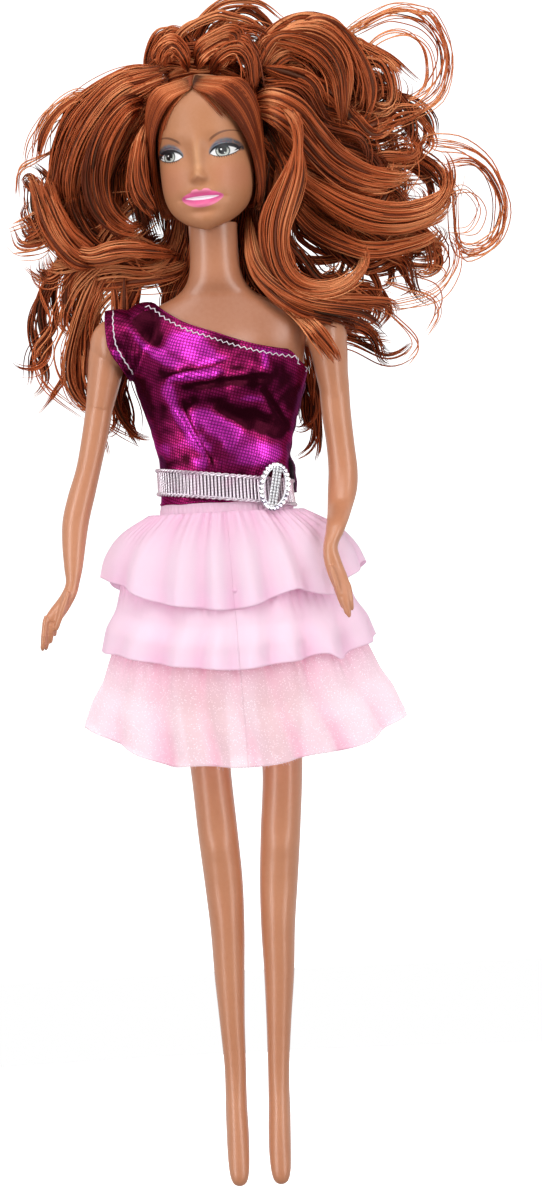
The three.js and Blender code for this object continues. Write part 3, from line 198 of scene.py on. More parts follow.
# Tiers of the skirt down their cloth: share of the skirt's length, then at the sides how far out and down
# they stand, and at the front how far out, as shares of the skirt's sizes.
TIERS = {
    "top": [[0, 0.045, 0, 0.02], [0.12, 0.36, 0.07, 0.3], [0.25, 0.54, 0.15, 0.54], [0.37, 0.62, 0.23, 0.66]],
    "middle": [[0.31, 0.4, 0.2, 0.44], [0.45, 0.53, 0.36, 0.62], [0.615, 0.65, 0.525, 0.78]],
    "bottom": [[0.56, 0.52, 0.49, 0.6], [0.7, 0.66, 0.6, 0.72], [0.85, 0.78, 0.71, 0.86], [1, 0.9, 0.82, 1]],
}


def along(rows, at):
    """Reads rows of numbers at values of their first column, on a smooth curve."""
    rows = np.asarray(rows, float)
    at = np.atleast_1d(np.asarray(at, float))
    keys = rows[:, 0]
    i = np.clip(np.searchsorted(keys, at) - 1, 0, len(rows) - 2)
    a, b = rows[i], rows[i + 1]
    before = rows[np.maximum(i - 1, 0)]
    after = rows[np.minimum(i + 2, len(rows) - 1)]
    span = (b[:, :1] - a[:, :1])
    t = np.clip((at[:, None] - a[:, :1]) / span, 0, 1)
    slope_in = (b - before)[:, 1:] / (b - before)[:, :1] * span
    slope_out = (after - a)[:, 1:] / (after - a)[:, :1] * span
    t2, t3 = t * t, t * t * t
    value = (2 * t3 - 3 * t2 + 1) * a[:, 1:] + (t3 - 2 * t2 + t) * slope_in
    value += (3 * t2 - 2 * t3) * b[:, 1:] + (t3 - t2) * slope_out
    return value.T


def smooth_step(low, high, x):
    t = np.clip((np.asarray(x, float) - low) / (high - low), 0, 1)
    return t * t * (3 - 2 * t)


def bump(x, middle, reach):
    return np.exp(-(((x - middle) / reach) ** 2))


def full_turn(count):
    """Angles at even steps all the way round."""
    return np.arange(count) / count * TURN


def unit(vectors):
    return vectors / (np.linalg.norm(vectors, axis=-1, keepdims=True) + 1e-9)


def way_along(path):
    """How far along a path each of its points lies."""
    steps = np.linalg.norm(np.diff(path, axis=-2), axis=-1)
    return np.concatenate([np.zeros((*steps.shape[:-1], 1)), np.cumsum(steps, axis=-1)], -1)


def read_at(path, share):
    """Points of a path at shares of its way, its own points being evenly spread."""
    even = np.linspace(0, 1, len(path))
    return np.stack([np.interp(share, even, column) for column in path.T], -1)


def oval(angle, half, front, back, squareness):
    c, s = np.cos(angle), np.sin(angle)
    power = 2 / squareness
    depth = np.where(s < 0, front, back)
    return np.sign(c) * np.abs(c) ** power * half, np.sign(s) * np.abs(s) ** power * depth


def torso_points(angle, z, grow):
    """Points on the torso's surface at angles round it, -90 degrees facing front, pushed out by grow."""
    angle, z, grow = np.broadcast_arrays(*(np.asarray(v, float) for v in (angle, z, grow)))
    shape = angle.shape
    angle, z, grow = angle.ravel(), z.ravel(), grow.ravel()
    half, front, back = along(TORSO_SECTIONS, z)
    x, y = oval(angle, half + grow, front + grow, back + grow, 2.25)
    up = (z - BUST_RISE) / BREAST_SIZE
    across = (np.abs(x) - BREAST_SPACING / 2) / BREAST_SIZE
    breast = BREAST_REACH * np.exp(-up * up - across * across)
    y = np.where(y < 0, y - breast * np.minimum(1, -y / (front * 0.5)), y)
    return np.stack([x, y, z], -1).reshape(*shape, 3)


def with_head(points):
    """Turns and leans points of the upright head as the doll holds it."""
    points = np.asarray(points, float) - (0, 0, HEAD_PIVOT)
    x, y, z = np.moveaxis(points, -1, 0)
    c, s = math.cos(HEAD_TURN), math.sin(HEAD_TURN)
    x, y = x * c - y * s, x * s + y * c
    c, s = math.cos(HEAD_LEAN), math.sin(HEAD_LEAN)
    x, z = x * c + z * s, z * c - x * s
    return np.stack([x, y, z + HEAD_PIVOT], -1)


def head_points(angle, at, grow):
    """Points on the upright head at angles round it and at shares of its height, pushed out by grow."""
    angle, at, grow = np.broadcast_arrays(*(np.asarray(v, float) for v in (angle, at, grow)))
    shape = angle.shape
    angle, at, grow = angle.ravel(), at.ravel(), grow.ravel()
    half, front, back = along(HEAD_SECTIONS, at)
    middle = (back - front) / 2 * HEAD_DEPTH
    deep = (back + front) / 2 * HEAD_DEPTH + grow
    x, y = oval(angle, half * HEAD_WIDTH + grow, deep, deep, 2.1)
    z = at * HEAD_HEIGHT + grow * (2 * at - 1) + CHIN_RISE
    return np.stack([x, y + middle, z], -1).reshape(*shape, 3)


def skirt_points(tier, at, angle, offset):
    """Points of a skirt tier, at shares down its cloth and at angles round the body."""
    at, angle, offset = np.broadcast_arrays(*(np.asarray(v, float) for v in (at, angle, offset)))
    shape = at.shape
    at, angle, offset = at.ravel(), angle.ravel(), offset.ravel()
    side_out, side_down, front_out = along(TIERS[tier], at)
    c, n = np.cos(angle), np.sin(angle)
    side = c * c
    drop = (at + (side_down - at) * side * side) * SKIRT_LENGTH
    half, front, back = (v[0] for v in along(TORSO_SECTIONS, SKIRT_TOP - WAISTBAND_WIDTH))
    grow = CLOTH_GAP + WAISTBAND_THICKNESS + SEAT_GAP + TIER_THICKNESS / 2 + offset
    wide = half + side_out * SKIRT_FLARE + grow
    deep = np.where(n < 0, front, back) + front_out * SKIRT_FRONT_FLARE + grow
    return np.stack([c * wide + at * SKIRT_SWAY, n * deep, SKIRT_TOP - drop], -1).reshape(*shape, 3)


def grid_faces(rows, columns, closed=True, start=0):
    """Quads between rows of points, the columns joining round where closed."""
    faces = []
    last = columns if closed else columns - 1
    for r in range(rows - 1):
        for c in range(last):
            a = start + r * columns + c
            b = start + r * columns + (c + 1) % columns
            faces.append((a, b, b + columns, a + columns))
    return faces


def capped(grid):
    """A closed body from a grid of rings, with a fan over each end."""
    rows, columns = grid.shape[:2]
    points = np.vstack([grid.reshape(-1, 3), grid[0].mean(0), grid[-1].mean(0)])
    faces = grid_faces(rows, columns)
    low = rows * columns
    top = (rows - 1) * columns
    for c in range(columns):
        after = (c + 1) % columns
        faces.append((low, after, c))
        faces.append((low + 1, top + c, top + after))
    return points, faces


def hoop(outer, inner):
    """A closed band from the rows of points of its outside and its inside."""
    loop = np.concatenate([outer, inner[::-1]])
    rows, columns = loop.shape[:2]
    last = (rows - 1) * columns
    faces = grid_faces(rows, columns)
    faces += [(last + c, last + (c + 1) % columns, (c + 1) % columns, c) for c in range(columns)]
    return loop.reshape(-1, 3), faces


def joined(parts):
    """Several bodies as one list of points and one of faces."""
    points, faces, start = [], [], 0
    for body_points, body_faces in parts:
        points.append(body_points)
        faces += [tuple(start + i for i in face) for face in body_faces]
        start += len(body_points)
    return np.vstack(points), faces


def tube(path, radius, sides=8, flat=1.0, taper=1.0):
    """A round rod along a path of points, closed at both ends."""
    path = np.asarray(path, float)
    tangent = unit(np.gradient(path, axis=0))
    guide = (0, 1, 0.01) if abs(tangent[:, 1]).mean() < 0.8 else (1, 0, 0.01)
    across = unit(np.cross(tangent, guide))
    back = np.cross(across, tangent)
    angle = full_turn(sides)[None, :, None]
    size = radius * np.full(len(path), taper)
    ring = across[:, None] * np.cos(angle) - back[:, None] * np.sin(angle) * flat
    return capped(path[:, None] + ring * size[:, None, None])


def ball(middle, radii, rings=16, sides=24):
    up = np.linspace(-math.pi / 2, math.pi / 2, rings)[:, None]
    angle = full_turn(sides)[None]
    grid = np.stack([np.cos(up) * np.cos(angle), np.cos(up) * np.sin(angle), np.sin(up) + 0 * angle], -1)
    return capped(grid * radii + middle)


def rod_across(x_from, x_to, radius, y, z, sides=32):
    """A closed cylinder along X."""
    return tube([[x_from, y, z], [(x_from + x_to) / 2, y, z], [x_to, y, z]], radius, sides)


def box_body(low, high):
    (x0, y0, z0), (x1, y1, z1) = low, high
    corners = np.array([[x, y, z] for z in (z0, z1) for y in (y0, y1) for x in (x0, x1)], float)
    faces = [(0, 2, 3, 1), (4, 5, 7, 6), (0, 1, 5, 4), (2, 6, 7, 3), (0, 4, 6, 2), (1, 3, 7, 5)]
    return corners, faces


def add_object(name, mesh):
    made = bpy.data.objects.new(name, mesh)
    bpy.context.scene.collection.objects.link(made)
    return made


def add_body(name, points, faces):
    """A new object from points in millimetres and faces."""
    mesh = bpy.data.meshes.new(name)
    mesh.from_pydata((np.asarray(points) * MM).tolist(), [], faces)
    mesh.validate()
    return add_object(name, mesh)


def apply_modifiers(made):
    """The object's mesh with its modifiers worked in."""
    bpy.context.view_layer.update()
    graph = bpy.context.evaluated_depsgraph_get()
    mesh = bpy.data.meshes.new_from_object(made.evaluated_get(graph))
    made.modifiers.clear()
    old, made.data = made.data, mesh
    bpy.data.meshes.remove(old)
    return made


def fused(name, parts, voxel, rounds):
    """Bodies melted into one smooth skin."""
    made = add_body(name, *joined(parts))
    remesh = made.modifiers.new("skin", "REMESH")
    remesh.mode = "VOXEL"
    remesh.voxel_size = voxel * MM
    smooth = made.modifiers.new("smooth", "SMOOTH")
    smooth.factor = 0.5
    smooth.iterations = rounds
    return apply_modifiers(made)


def thicken(made, thickness, offset=1.0):
    """Gives an open surface its thickness, in metres."""
    solid = made.modifiers.new("cloth", "SOLIDIFY")
    solid.thickness = thickness
    solid.offset = offset
    return apply_modifiers(made)


def crease(made, degrees):
    """Keeps the edges that bend by more than an angle crisp."""
    edges = made.modifiers.new("edges", "EDGE_SPLIT")
    edges.split_angle = math.radians(degrees)


def cut(made, parts):
    """Takes closed bodies away from an object."""
    for points, faces in parts:
        tool = add_body("tool", points, faces)
        boolean = made.modifiers.new("cut", "BOOLEAN")
        boolean.operation = "DIFFERENCE"
        boolean.solver = "EXACT"
        boolean.object = tool
        apply_modifiers(made)
        mesh = tool.data
        bpy.data.objects.remove(tool)
        bpy.data.meshes.remove(mesh)
    return made


def points_of(made):
    points = np.zeros(len(made.data.vertices) * 3, np.float32)
    made.data.vertices.foreach_get("co", points)
    return points.reshape(-1, 3).astype(float) / MM


def trimmed(points, faces, field):
    """The part of a surface where a field of its points is above zero, cut through along zero."""
    value = field(points)
    points = [tuple(p) for p in points]
    made, crossings = [], {}

    def crossing(a, b):
        key = (min(a, b), max(a, b))
        if key not in crossings:
            share = value[key[0]] / (value[key[0]] - value[key[1]])
            pa, pb = points[key[0]], points[key[1]]
            points.append(tuple(pa[k] + (pb[k] - pa[k]) * share for k in range(3)))
            crossings[key] = len(points) - 1
        return crossings[key]

    for face in faces:
        keep = [value[i] > 0 for i in face]
        if all(keep):
            made.append(tuple(face))
            continue
        if not any(keep):
            continue
        outline = []
        for k, i in enumerate(face):
            j = face[(k + 1) % len(face)]
            if value[i] > 0:
                outline.append(i)
            if (value[i] > 0) != (value[j] > 0):
                outline.append(crossing(i, j))
        if len(outline) > 2:
            made.append(tuple(outline))
    used = sorted({i for face in made for i in face})
    place = {old: new for new, old in enumerate(used)}
    kept = np.array([points[i] for i in used])
    return kept, [tuple(place[i] for i in face) for face in made]


def set_uv(made, coordinates, name="place"):
    """Gives each corner of the mesh its point's pair of coordinates, in millimetres."""
    layer = made.data.uv_layers.get(name) or made.data.uv_layers.new(name=name)
    corners = np.zeros(len(made.data.loops), np.int32)
    made.data.loops.foreach_get("vertex_index", corners)
    layer.data.foreach_set("uv", np.asarray(coordinates, np.float32)[corners].ravel())


def set_value(made, name, values):
    """Gives each point of the mesh a number that its finish reads, or all of them the same one."""
    attribute = made.data.attributes.new(name, "FLOAT", "POINT")
    attribute.data.foreach_set("value", np.full(len(made.data.vertices), values, np.float32))


def dress(made, material, body, replaces=(), smooth=True):
    """Gives a piece its material and slot, and lets it move with its body."""
    made.data.materials.clear()
    made.data.materials.append(material)
    made.data.polygons.foreach_set("use_smooth", [smooth] * len(made.data.polygons))
    if body:
        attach(made, body)
    if replaces:
        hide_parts(*replaces)
    return made


def sheet_area(points, faces):
    total = 0.0
    for face in faces:
        a, b, c = (points[i] for i in face[:3])
        total += np.linalg.norm(np.cross(b - a, c - a)) / 2
        if len(face) > 3:
            d = points[face[3]]
            total += np.linalg.norm(np.cross(c - a, d - a)) / 2
    return total * MM * MM


def settings():
    return bpy.context.scene.doll_sizes


def colours():
    return bpy.context.scene.doll_colours


class Wire:
    """One output socket, with Python's operators as Math nodes."""

    def __init__(self, paint, socket):
        self.paint = paint
        self.socket = socket

    def maths(self, operation, *values):
        return self.paint.node("ShaderNodeMath", {"operation": operation}, dict(enumerate(values)))

    def __add__(self, other):
        return self.maths("ADD", self, other)

    __radd__ = __add__

    def __mul__(self, other):
        return self.maths("MULTIPLY", self, other)

    __rmul__ = __mul__

    def __sub__(self, other):
        return self.maths("SUBTRACT", self, other)

    def __rsub__(self, other):
        return self.maths("SUBTRACT", other, self)

    def __truediv__(self, other):
        return self.maths("DIVIDE", self, other)

    def __rtruediv__(self, other):
        return self.maths("DIVIDE", other, self)

    def __pow__(self, other):
        return self.maths("POWER", self, other)

    def __abs__(self):
        return self.maths("ABSOLUTE", self)

    def sine(self):
        return self.maths("SINE", self)

    def wave(self):
        """A sine wave between 0 and 1."""
        return self.sine() * 0.5 + 0.5

    def at_least(self, low):
        return self.maths("MAXIMUM", self, low)

    def clipped(self):
        return self.maths("MINIMUM", self.at_least(0.0), 1.0)

    def rise(self, low, high):
        """0 below low and 1 above high, smooth between."""
        values = {0: self, 1: low, 2: high, 3: 0.0, 4: 1.0}
        return self.paint.node("ShaderNodeMapRange", {"interpolation_type": "SMOOTHSTEP"}, values)

    def near(self, reach, soft):
        """1 within a reach of zero, falling to 0 at the soft edge beyond it."""
        return 1.0 - abs(self).rise(reach, soft)

    def arch(self, square):
        """1 in the middle, falling to 0 where the value's square passes another."""
        return (1.0 - self * self / square).at_least(0.0)


class Paint:
    """A material and the nodes that colour it."""

    def __init__(self, name):
        self.material = bpy.data.materials.new(name)
        self.material.use_nodes = True
        self.tree = self.material.node_tree
        self.tree.nodes.clear()

    def node(self, kind, choices=None, values=None, output=0):
        """Adds a node of a type, with its settings first, then the values or links of its sockets."""
        made = self.tree.nodes.new(kind)
        for key, value in (choices or {}).items():
            setattr(made, key, value)
        for key, value in (values or {}).items():
            socket = made.inputs[key]
            if isinstance(value, Wire):
                self.tree.links.new(value.socket, socket)
            elif socket.type == "RGBA":
                socket.default_value = (*tuple(value)[:3], 1.0)
            else:
                socket.default_value = value
        return Wire(self, made.outputs[output]) if len(made.outputs) else None

    def mix(self, factor, a, b, kind="MIX"):
        choices = {"data_type": "RGBA", "blend_type": kind}
        return self.node("ShaderNodeMix", choices, {0: factor, 6: a, 7: b}, output=2)

    def place(self, name="place"):
        """The piece's own flat coordinates, in millimetres."""
        uv = self.node("ShaderNodeUVMap", {"uv_map": name})
        split = self.node("ShaderNodeSeparateXYZ", values={0: uv})
        return split, Wire(self, split.socket.node.outputs[1]), uv

    def value(self, name):
        return self.node("ShaderNodeAttribute", {"attribute_name": name}, output=2)

    def spots(self, scale, detail=2.0, vector=None):
        if vector is None:
            vector = self.node("ShaderNodeTexCoord", output=3)
        values = {"Vector": vector, "Scale": scale, "Detail": detail, "Roughness": 0.5}
        return self.node("ShaderNodeTexNoise", values=values)

    def stretched(self, vector, scale):
        return self.node("ShaderNodeMapping", values={"Vector": vector, "Scale": scale})

    def bump(self, height, distance, strength):
        values = {"Height": height, "Distance": distance, "Strength": strength}
        return self.node("ShaderNodeBump", values=values)

    def finish(self, through=None, share=0.0, **values):
        """Ends in a Principled shader, its sockets named with underscores for spaces, and may let a
        share of the light through in a colour."""
        named = {key.replace("_", " "): value for key, value in values.items()}
        shader = self.node("ShaderNodeBsdfPrincipled", values=named)
        if through:
            glow = self.node("ShaderNodeBsdfTranslucent", values={"Color": through})
            shader = self.node("ShaderNodeMixShader", values={0: share, 1: shader, 2: glow})
        self.node("ShaderNodeOutputMaterial", values={0: shader})
        return self.material


def body_plastic(name, tan, shade):
    """Glossy tan vinyl with faint flow marks, and painted light that makes it lighter up the neck."""
    paint = Paint(name)
    broad = paint.spots(38.0)
    fine = paint.spots(900.0, 3.0)
    tan = paint.mix(broad.rise(0.3, 0.7), tan, shade)
    # Painted light: the neck is mixed towards the limbs' lighter tan, as lit above the shade that the hair
    # casts on the chest.
    tan = paint.mix(paint.value("neck") * 0.6, tan, colours().limb)
    return paint.finish(
        Base_Color=paint.mix(fine * 0.12, tan, (0.9, 0.55, 0.4)),
        Roughness=0.3 + broad * 0.12 + fine * 0.05,
        Normal=paint.bump(fine, 0.00002, 0.35),
        Coat_Weight=0.5, Coat_Roughness=0.3, Specular_IOR_Level=0.5,
    )


# The painted face, in millimetres across from its middle and up from the chin's tip.
EYE_SPREAD = 7.15
EYE_HEIGHT = 19.6
EYE_SHIFT = 0.5
IRIS_HEIGHT = 19.7
IRIS_RADIUS = 1.78
IRIS_RIM = 0.28
PUPIL_RADIUS = 1.06
MOUTH_HEIGHT = 7.9
CHEEK_PLACE = (8.2, 13.5)
EYE_INK = (0.012, 0.01, 0.014)


def head_vinyl():
    """Satin vinyl with the painted eyes, lids, brows, lips and cheeks."""
    paint = Paint("painted_vinyl")
    x, z, _ = paint.place("face")
    front = paint.value("facing").rise(0.25, 0.45)
    broad = paint.spots(45.0)
    fine = paint.spots(1300.0)
    tan = paint.mix(broad.rise(0.3, 0.7), colours().face, colours().face_shade)
    skin = paint.mix(fine * 0.1, tan, (0.85, 0.5, 0.34))

    def disc(dx, dz, radius, soft=0.1):
        return 1.0 - ((dx * dx + dz * dz) ** 0.5).rise(radius - soft, radius + soft)

    # Cheeks, and the light along the ridge of the nose.
    cheek_x = abs(x) - CHEEK_PLACE[0]
    cheek_z = z - CHEEK_PLACE[1]
    cheek = 1.0 - ((cheek_x * cheek_x) * 0.6 + cheek_z * cheek_z).rise(0.0, 26.0)
    skin = paint.mix(cheek * front * 0.16, skin, (0.72, 0.22, 0.16))
    ridge = x.near(0.2, 1.7) * z.rise(12.6, 14.5) * (1.0 - z.rise(19.0, 25.0))
    skin = paint.mix(ridge * front * 0.4, skin, (0.8, 0.42, 0.21))

    # Eyes: how far out and up from the middle of each, their lids and the shadow over them.
    eye_x = x + EYE_SHIFT
    out = abs(eye_x) - EYE_SPREAD
    rise = z - EYE_HEIGHT - out * 0.1
    bow = out.arch(12.0)
    lid = bow ** 0.62 * 1.6
    floor = bow ** 0.7 * -1.3
    inside = (lid - rise).rise(-0.06, 0.1) * (rise - floor).rise(-0.06, 0.1) * bow.rise(0.01, 0.04) * front
    shadow_bow = (out - 0.35).arch(19.0)
    over = (shadow_bow ** 0.55 * 3.75 - rise).rise(0.0, 0.9)
    shadow = over * (rise - bow ** 0.6 * 0.6).rise(-0.7, 0.2) * shadow_bow.rise(0.02, 0.2)
    deep = (out.rise(0.0, 3.6) * 0.8 + (1.0 - (rise - lid).rise(0.0, 1.2)) * 0.45).clipped()
    shadow_colour = paint.mix(deep, (0.16, 0.2, 0.245), (0.024, 0.03, 0.042))
    grain = fine.rise(0.35, 0.65) * 0.3 + 0.72
    skin = paint.mix(shadow * front * grain, skin, shadow_colour)

    # The fold over the lid, and the brows.
    fold = (rise - lid - 0.85).near(0.06, 0.26) * (out + 0.3).near(1.6, 3.0) * front
    skin = paint.mix(fold * 0.7, skin, (0.09, 0.035, 0.07))
    brow_out = out - 0.9
    brow_mid = 4.95 - (brow_out * brow_out) * 0.075 + out * 0.08
    brow = ((rise - brow_mid) / (0.3 - out * 0.045).at_least(0.05)).near(0.5, 1.25)
    brow = brow * out.rise(-3.7, -2.6) * (1.0 - out.rise(3.6, 4.6)) * front
    skin = paint.mix(brow * 0.8, skin, (0.16, 0.06, 0.032))

    # Whites, irises, pupils and highlights.
    white = paint.mix((lid - rise).rise(0.0, 0.7), (0.3, 0.3, 0.34), (0.9, 0.89, 0.88))
    eye = paint.mix(inside, skin, white)
    iris_x = eye_x - eye_x.maths("SIGN", eye_x) * EYE_SPREAD + 0.3
    iris_z = z - IRIS_HEIGHT
    ray = (iris_z.maths("ARCTAN2", iris_z, iris_x) * 17.0).wave()
    away = (iris_x * iris_x + iris_z * iris_z) ** 0.5
    iris_colour = paint.mix(ray * 0.4 + away.rise(0.6, 1.5) * 0.5, (0.3, 0.33, 0.31), (0.68, 0.7, 0.64))
    iris_colour = paint.mix((iris_z + 0.1).rise(0.1, 1.0), iris_colour, (0.02, 0.025, 0.03))
    iris = disc(iris_x, iris_z, IRIS_RADIUS)
    rim = iris - disc(iris_x, iris_z, IRIS_RADIUS - IRIS_RIM)
    eye = paint.mix(iris * inside, eye, iris_colour)
    eye = paint.mix(rim.clipped() * inside * 0.9, eye, (0.02, 0.028, 0.03))
    eye = paint.mix(disc(iris_x, iris_z - 0.1, PUPIL_RADIUS) * inside, eye, (0.004, 0.004, 0.005))
    eye = paint.mix(disc(iris_x + 0.3, iris_z - 0.35, 0.22, 0.08) * inside, eye, (1.0, 1.0, 1.0))
    eye = paint.mix(disc(iris_x - 0.5, iris_z + 0.55, 0.17, 0.08) * inside * 0.8, eye, (0.9, 0.95, 0.9))

    # The lash line, thicker outwards, the line under the eye, its lashes and the outer flick.
    thick = 0.3 + out.rise(-2.5, 3.4) * 0.24
    line = ((rise - lid - 0.05) / thick).near(0.7, 1.2) * out.near(3.35, 3.75) * front
    under = (rise - floor).near(0.05, 0.2) * out.near(3.1, 3.5) * front * 0.85
    comb = (out * 11.0 + rise * 3.0).sine().rise(0.35, 0.9)
    lashes = (floor - rise).rise(-0.05, 0.05) * (1.0 - (floor - rise).rise(0.25, 0.6)) * comb
    lashes = lashes * (out - 0.3).near(2.4, 3.2) * front * 0.8
    flick_x = out - 3.3
    flick = ((rise - 0.25 - flick_x * 0.55) / 0.24).near(0.4, 1.2) * flick_x.near(0.4, 1.1) * front
    eye = paint.mix((line + under + lashes + flick).clipped(), eye, EYE_INK)

    # Lips and teeth, about the middle of the mouth.
    lip_x = x - 0.15
    lip_z = z - MOUTH_HEIGHT - (lip_x * lip_x) * 0.012
    width = lip_x.arch(31.0)
    peak = abs(lip_x) - 1.55
    upper = width ** 0.8 * 1.95 + (1.0 - (peak * peak).rise(0.0, 1.6)) * 0.5
    lower = width ** 0.62 * -2.45
    lips = (upper - lip_z).rise(-0.15, 0.22) * (lip_z - lower).rise(-0.15, 0.22)
    lips = lips * width.rise(0.0, 0.06) * front
    # Painted highlights: the top of the upper lip and the bottom of the lower lip are painted a lighter pink.
    lip_highlight = (lip_z - 1.0).rise(0.0, 1.0) + (1.0 - (lip_z - lower).rise(0.2, 1.3)) * 0.7
    lip_colour = paint.mix(lip_highlight.clipped(), colours().lips, (0.93, 0.27, 0.42))
    lip_colour = paint.mix(lip_z.near(0.35, 1.0) * 0.55, lip_colour, (0.5, 0.03, 0.2))
    face = paint.mix(lips, eye, lip_colour)
    mouth = lip_x.arch(21.0)
    teeth = (mouth ** 0.9 * 0.5 - abs(lip_z)).rise(-0.1, 0.12) * mouth.rise(0.0, 0.12) * front

    return paint.finish(
        Base_Color=paint.mix(teeth, face, (0.95, 0.82, 0.88)),
        Roughness=0.44 - (inside + lips * 0.6).clipped() * 0.1 + broad * 0.06,
        Normal=paint.bump(fine, 0.00002, 0.4),
        Specular_IOR_Level=0.45,
    )


def grained(name, scale, detail, tones, rough, relief, metal=None, **constants):
    """A finish of one fine grain between two tones: rough and metal are a level and the grain's share."""
    paint = Paint(name)
    grain = paint.spots(scale, detail)
    if metal:
        constants["Metallic"] = metal[0] + grain * metal[1]
    return paint.finish(
        Base_Color=paint.mix(grain, *tones),
        Roughness=rough[0] + grain * rough[1],
        Normal=paint.bump(grain, *relief),
        **constants,
    )


def knob_plastic():
    tones = (0.46, 0.26, 0.17), (0.52, 0.31, 0.21)
    return grained("plain_knob", 700.0, 3.0, tones, (0.45, 0.1), (0.00003, 0.4))


def white_thread():
    tones = (0.72, 0.6, 0.7), (0.97, 0.93, 0.96)
    return grained("white_thread", 2600.0, 1.0, tones, (0.5, 0.2), (0.00005, 0.6))


def hook_tape():
    tones = (0.03, 0.004, 0.022), (0.2, 0.03, 0.13)
    return grained("hook_tape", 2200.0, 4.0, tones, (0.75, 0.2), (0.0001, 0.8), Sheen_Weight=0.3)


def stone_setting():
    tones = (0.6, 0.59, 0.62), (0.9, 0.9, 0.92)
    return grained("stone_setting", 900.0, 3.0, tones, (0.2, 0.2), (0.00003, 0.4), (0.85, 0.1))


def hair_fibre(name, light, middle, dark):
    """Shiny fibre: each strand has its own tone, which also carries a painted highlight, with fine lines
    along it, and painted shade at its roots and inside the hair.
    """
    paint = Paint(name)
    _, _, uv = paint.place("strand")
    tone = paint.value("tone")
    depth = paint.value("depth")
    lines = paint.spots(1.0, 2.0, paint.stretched(uv, (9.0, 0.12, 1.0)))
    bands = paint.spots(1.0, 1.0, paint.stretched(uv, (0.6, 0.05, 1.0)))
    blend = tone * 0.95 + lines * 0.4 + bands * 0.2 - 0.27
    copper = paint.mix(blend.rise(0.1, 0.5), dark, middle)
    copper = paint.mix(blend.rise(0.5, 1.0), copper, light)
    return paint.finish(
        # Painted shade: the depth value darkens the copper towards near black at the roots and deep in the
        # hair.
        Base_Color=paint.mix(depth.clipped() * 0.9, copper, (0.02, 0.003, 0.001)),
        Roughness=0.3 + lines * 0.16,
        Normal=paint.bump(lines, 0.00008, 0.5),
        Specular_IOR_Level=0.45, Specular_Tint=(1.0, 0.66, 0.45, 1.0),
    )


def foil_cloth():
    """Dark knit printed with small square foil dots, painted bright where highlights fall and dark in the
    shade of its folds.
    """
    paint = Paint("foil_cloth")
    x, z, _ = paint.place()
    pace = TURN * MM / settings().dot_pitch
    c, s = math.cos(settings().dot_slant), math.sin(settings().dot_slant)
    dot = ((x * c - z * s) * pace).wave().rise(0.1, 0.45) * ((z * c + x * s) * pace).wave().rise(0.1, 0.45)
    wear_and_sheen = paint.spots(260.0, 3.0)
    # Painted highlights and shade: the marked light, with a little noise, turns the dots from the dark knit
    # through shaded foil to bright foil.
    place = paint.value("shine") + wear_and_sheen * 0.16 - 0.08
    colour = paint.mix(place.rise(0.12, 0.42), colours().knit, colours().foil_shaded)
    colour = paint.mix(place.rise(0.42, 0.85), colour, colours().foil)
    between = paint.mix(0.72, colour, colours().knit)
    return paint.finish(
        Base_Color=paint.mix(dot, between, colour),
        Metallic=0.85,
        Roughness=0.36 - dot * 0.08 + wear_and_sheen * 0.08,
        Normal=paint.bump(dot, 0.00005, 0.4),
        Specular_IOR_Level=0.2, Specular_Tint=(1.0, 0.4, 0.8, 1.0),
    )


def silver_braid():
    """Metallic thread with painted highlights on the ribs and painted shade between them, and a few pink
    glints.
    """
    paint = Paint("silver_thread")
    x, z, _ = paint.place()
    yarn = (x * 2.0 + z * 16.0).wave()
    glints = paint.spots(900.0, 1.0)
    pink = paint.spots(160.0, 1.0)
    # Painted light: the rib value paints the silver bright on the ribs' tops and dark in the gaps between
    # them.
    silver = paint.mix(paint.value("rib").rise(0.3, 0.85), (0.08, 0.03, 0.06), (0.84, 0.74, 0.81))
    return paint.finish(
        Base_Color=paint.mix(pink.rise(0.45, 0.7) * 0.45, silver, (0.62, 0.36, 0.5)),
        Metallic=0.45 + glints * 0.4,
        Roughness=0.24 + yarn * 0.2,
        Normal=paint.bump(yarn, 0.00006, 0.5),
        Specular_IOR_Level=0.6,
    )


def cut_stone():
    paint = Paint("cut_stone")
    glints = paint.spots(420.0, 0.0)
    return paint.finish(
        Base_Color=paint.mix(glints.rise(0.4, 0.6), (0.36, 0.33, 0.4), (1.0, 1.0, 1.0)),
        Metallic=0.65 + glints * 0.2,
        Roughness=0.06 + glints * 0.05,
        Coat_Weight=1.0, Coat_Roughness=0.02, IOR=1.6,
    )


def woven(paint, pace):
    """The piece's flat coordinates, and the warp and the weft of its cloth at threads a millimetre."""
    x, z, uv = paint.place()
    return uv, (x * pace).wave(), (z * pace).wave()


def pink_satin():
    """Soft pale satin: fine woven threads, with painted shade that turns it pinker in the folds and gathers.
    """
    paint = Paint("soft_satin")
    _, warp, weft = woven(paint, 22.0)
    broad = paint.spots(26.0)
    # Painted shade: the depth value, with a broad mottle, turns the satin towards its deeper pink.
    painted_shade_and_mottle = (paint.value("depth") * 0.62 + broad.rise(0.45, 0.8) * 0.12).clipped()
    base = paint.mix(painted_shade_and_mottle, colours().satin, colours().satin_shade)
    return paint.finish(
        (1.0, 0.86, 0.95), 0.4,
        Base_Color=paint.mix((warp * weft) * 0.14, base, (1.0, 0.93, 0.98)),
        Roughness=0.5 + broad * 0.12,
        Normal=paint.bump(warp + weft, 0.00003, 0.4),
        Sheen_Weight=0.4, Sheen_Roughness=0.35, Sheen_Tint=(1.0, 0.85, 0.95, 1.0),
    )


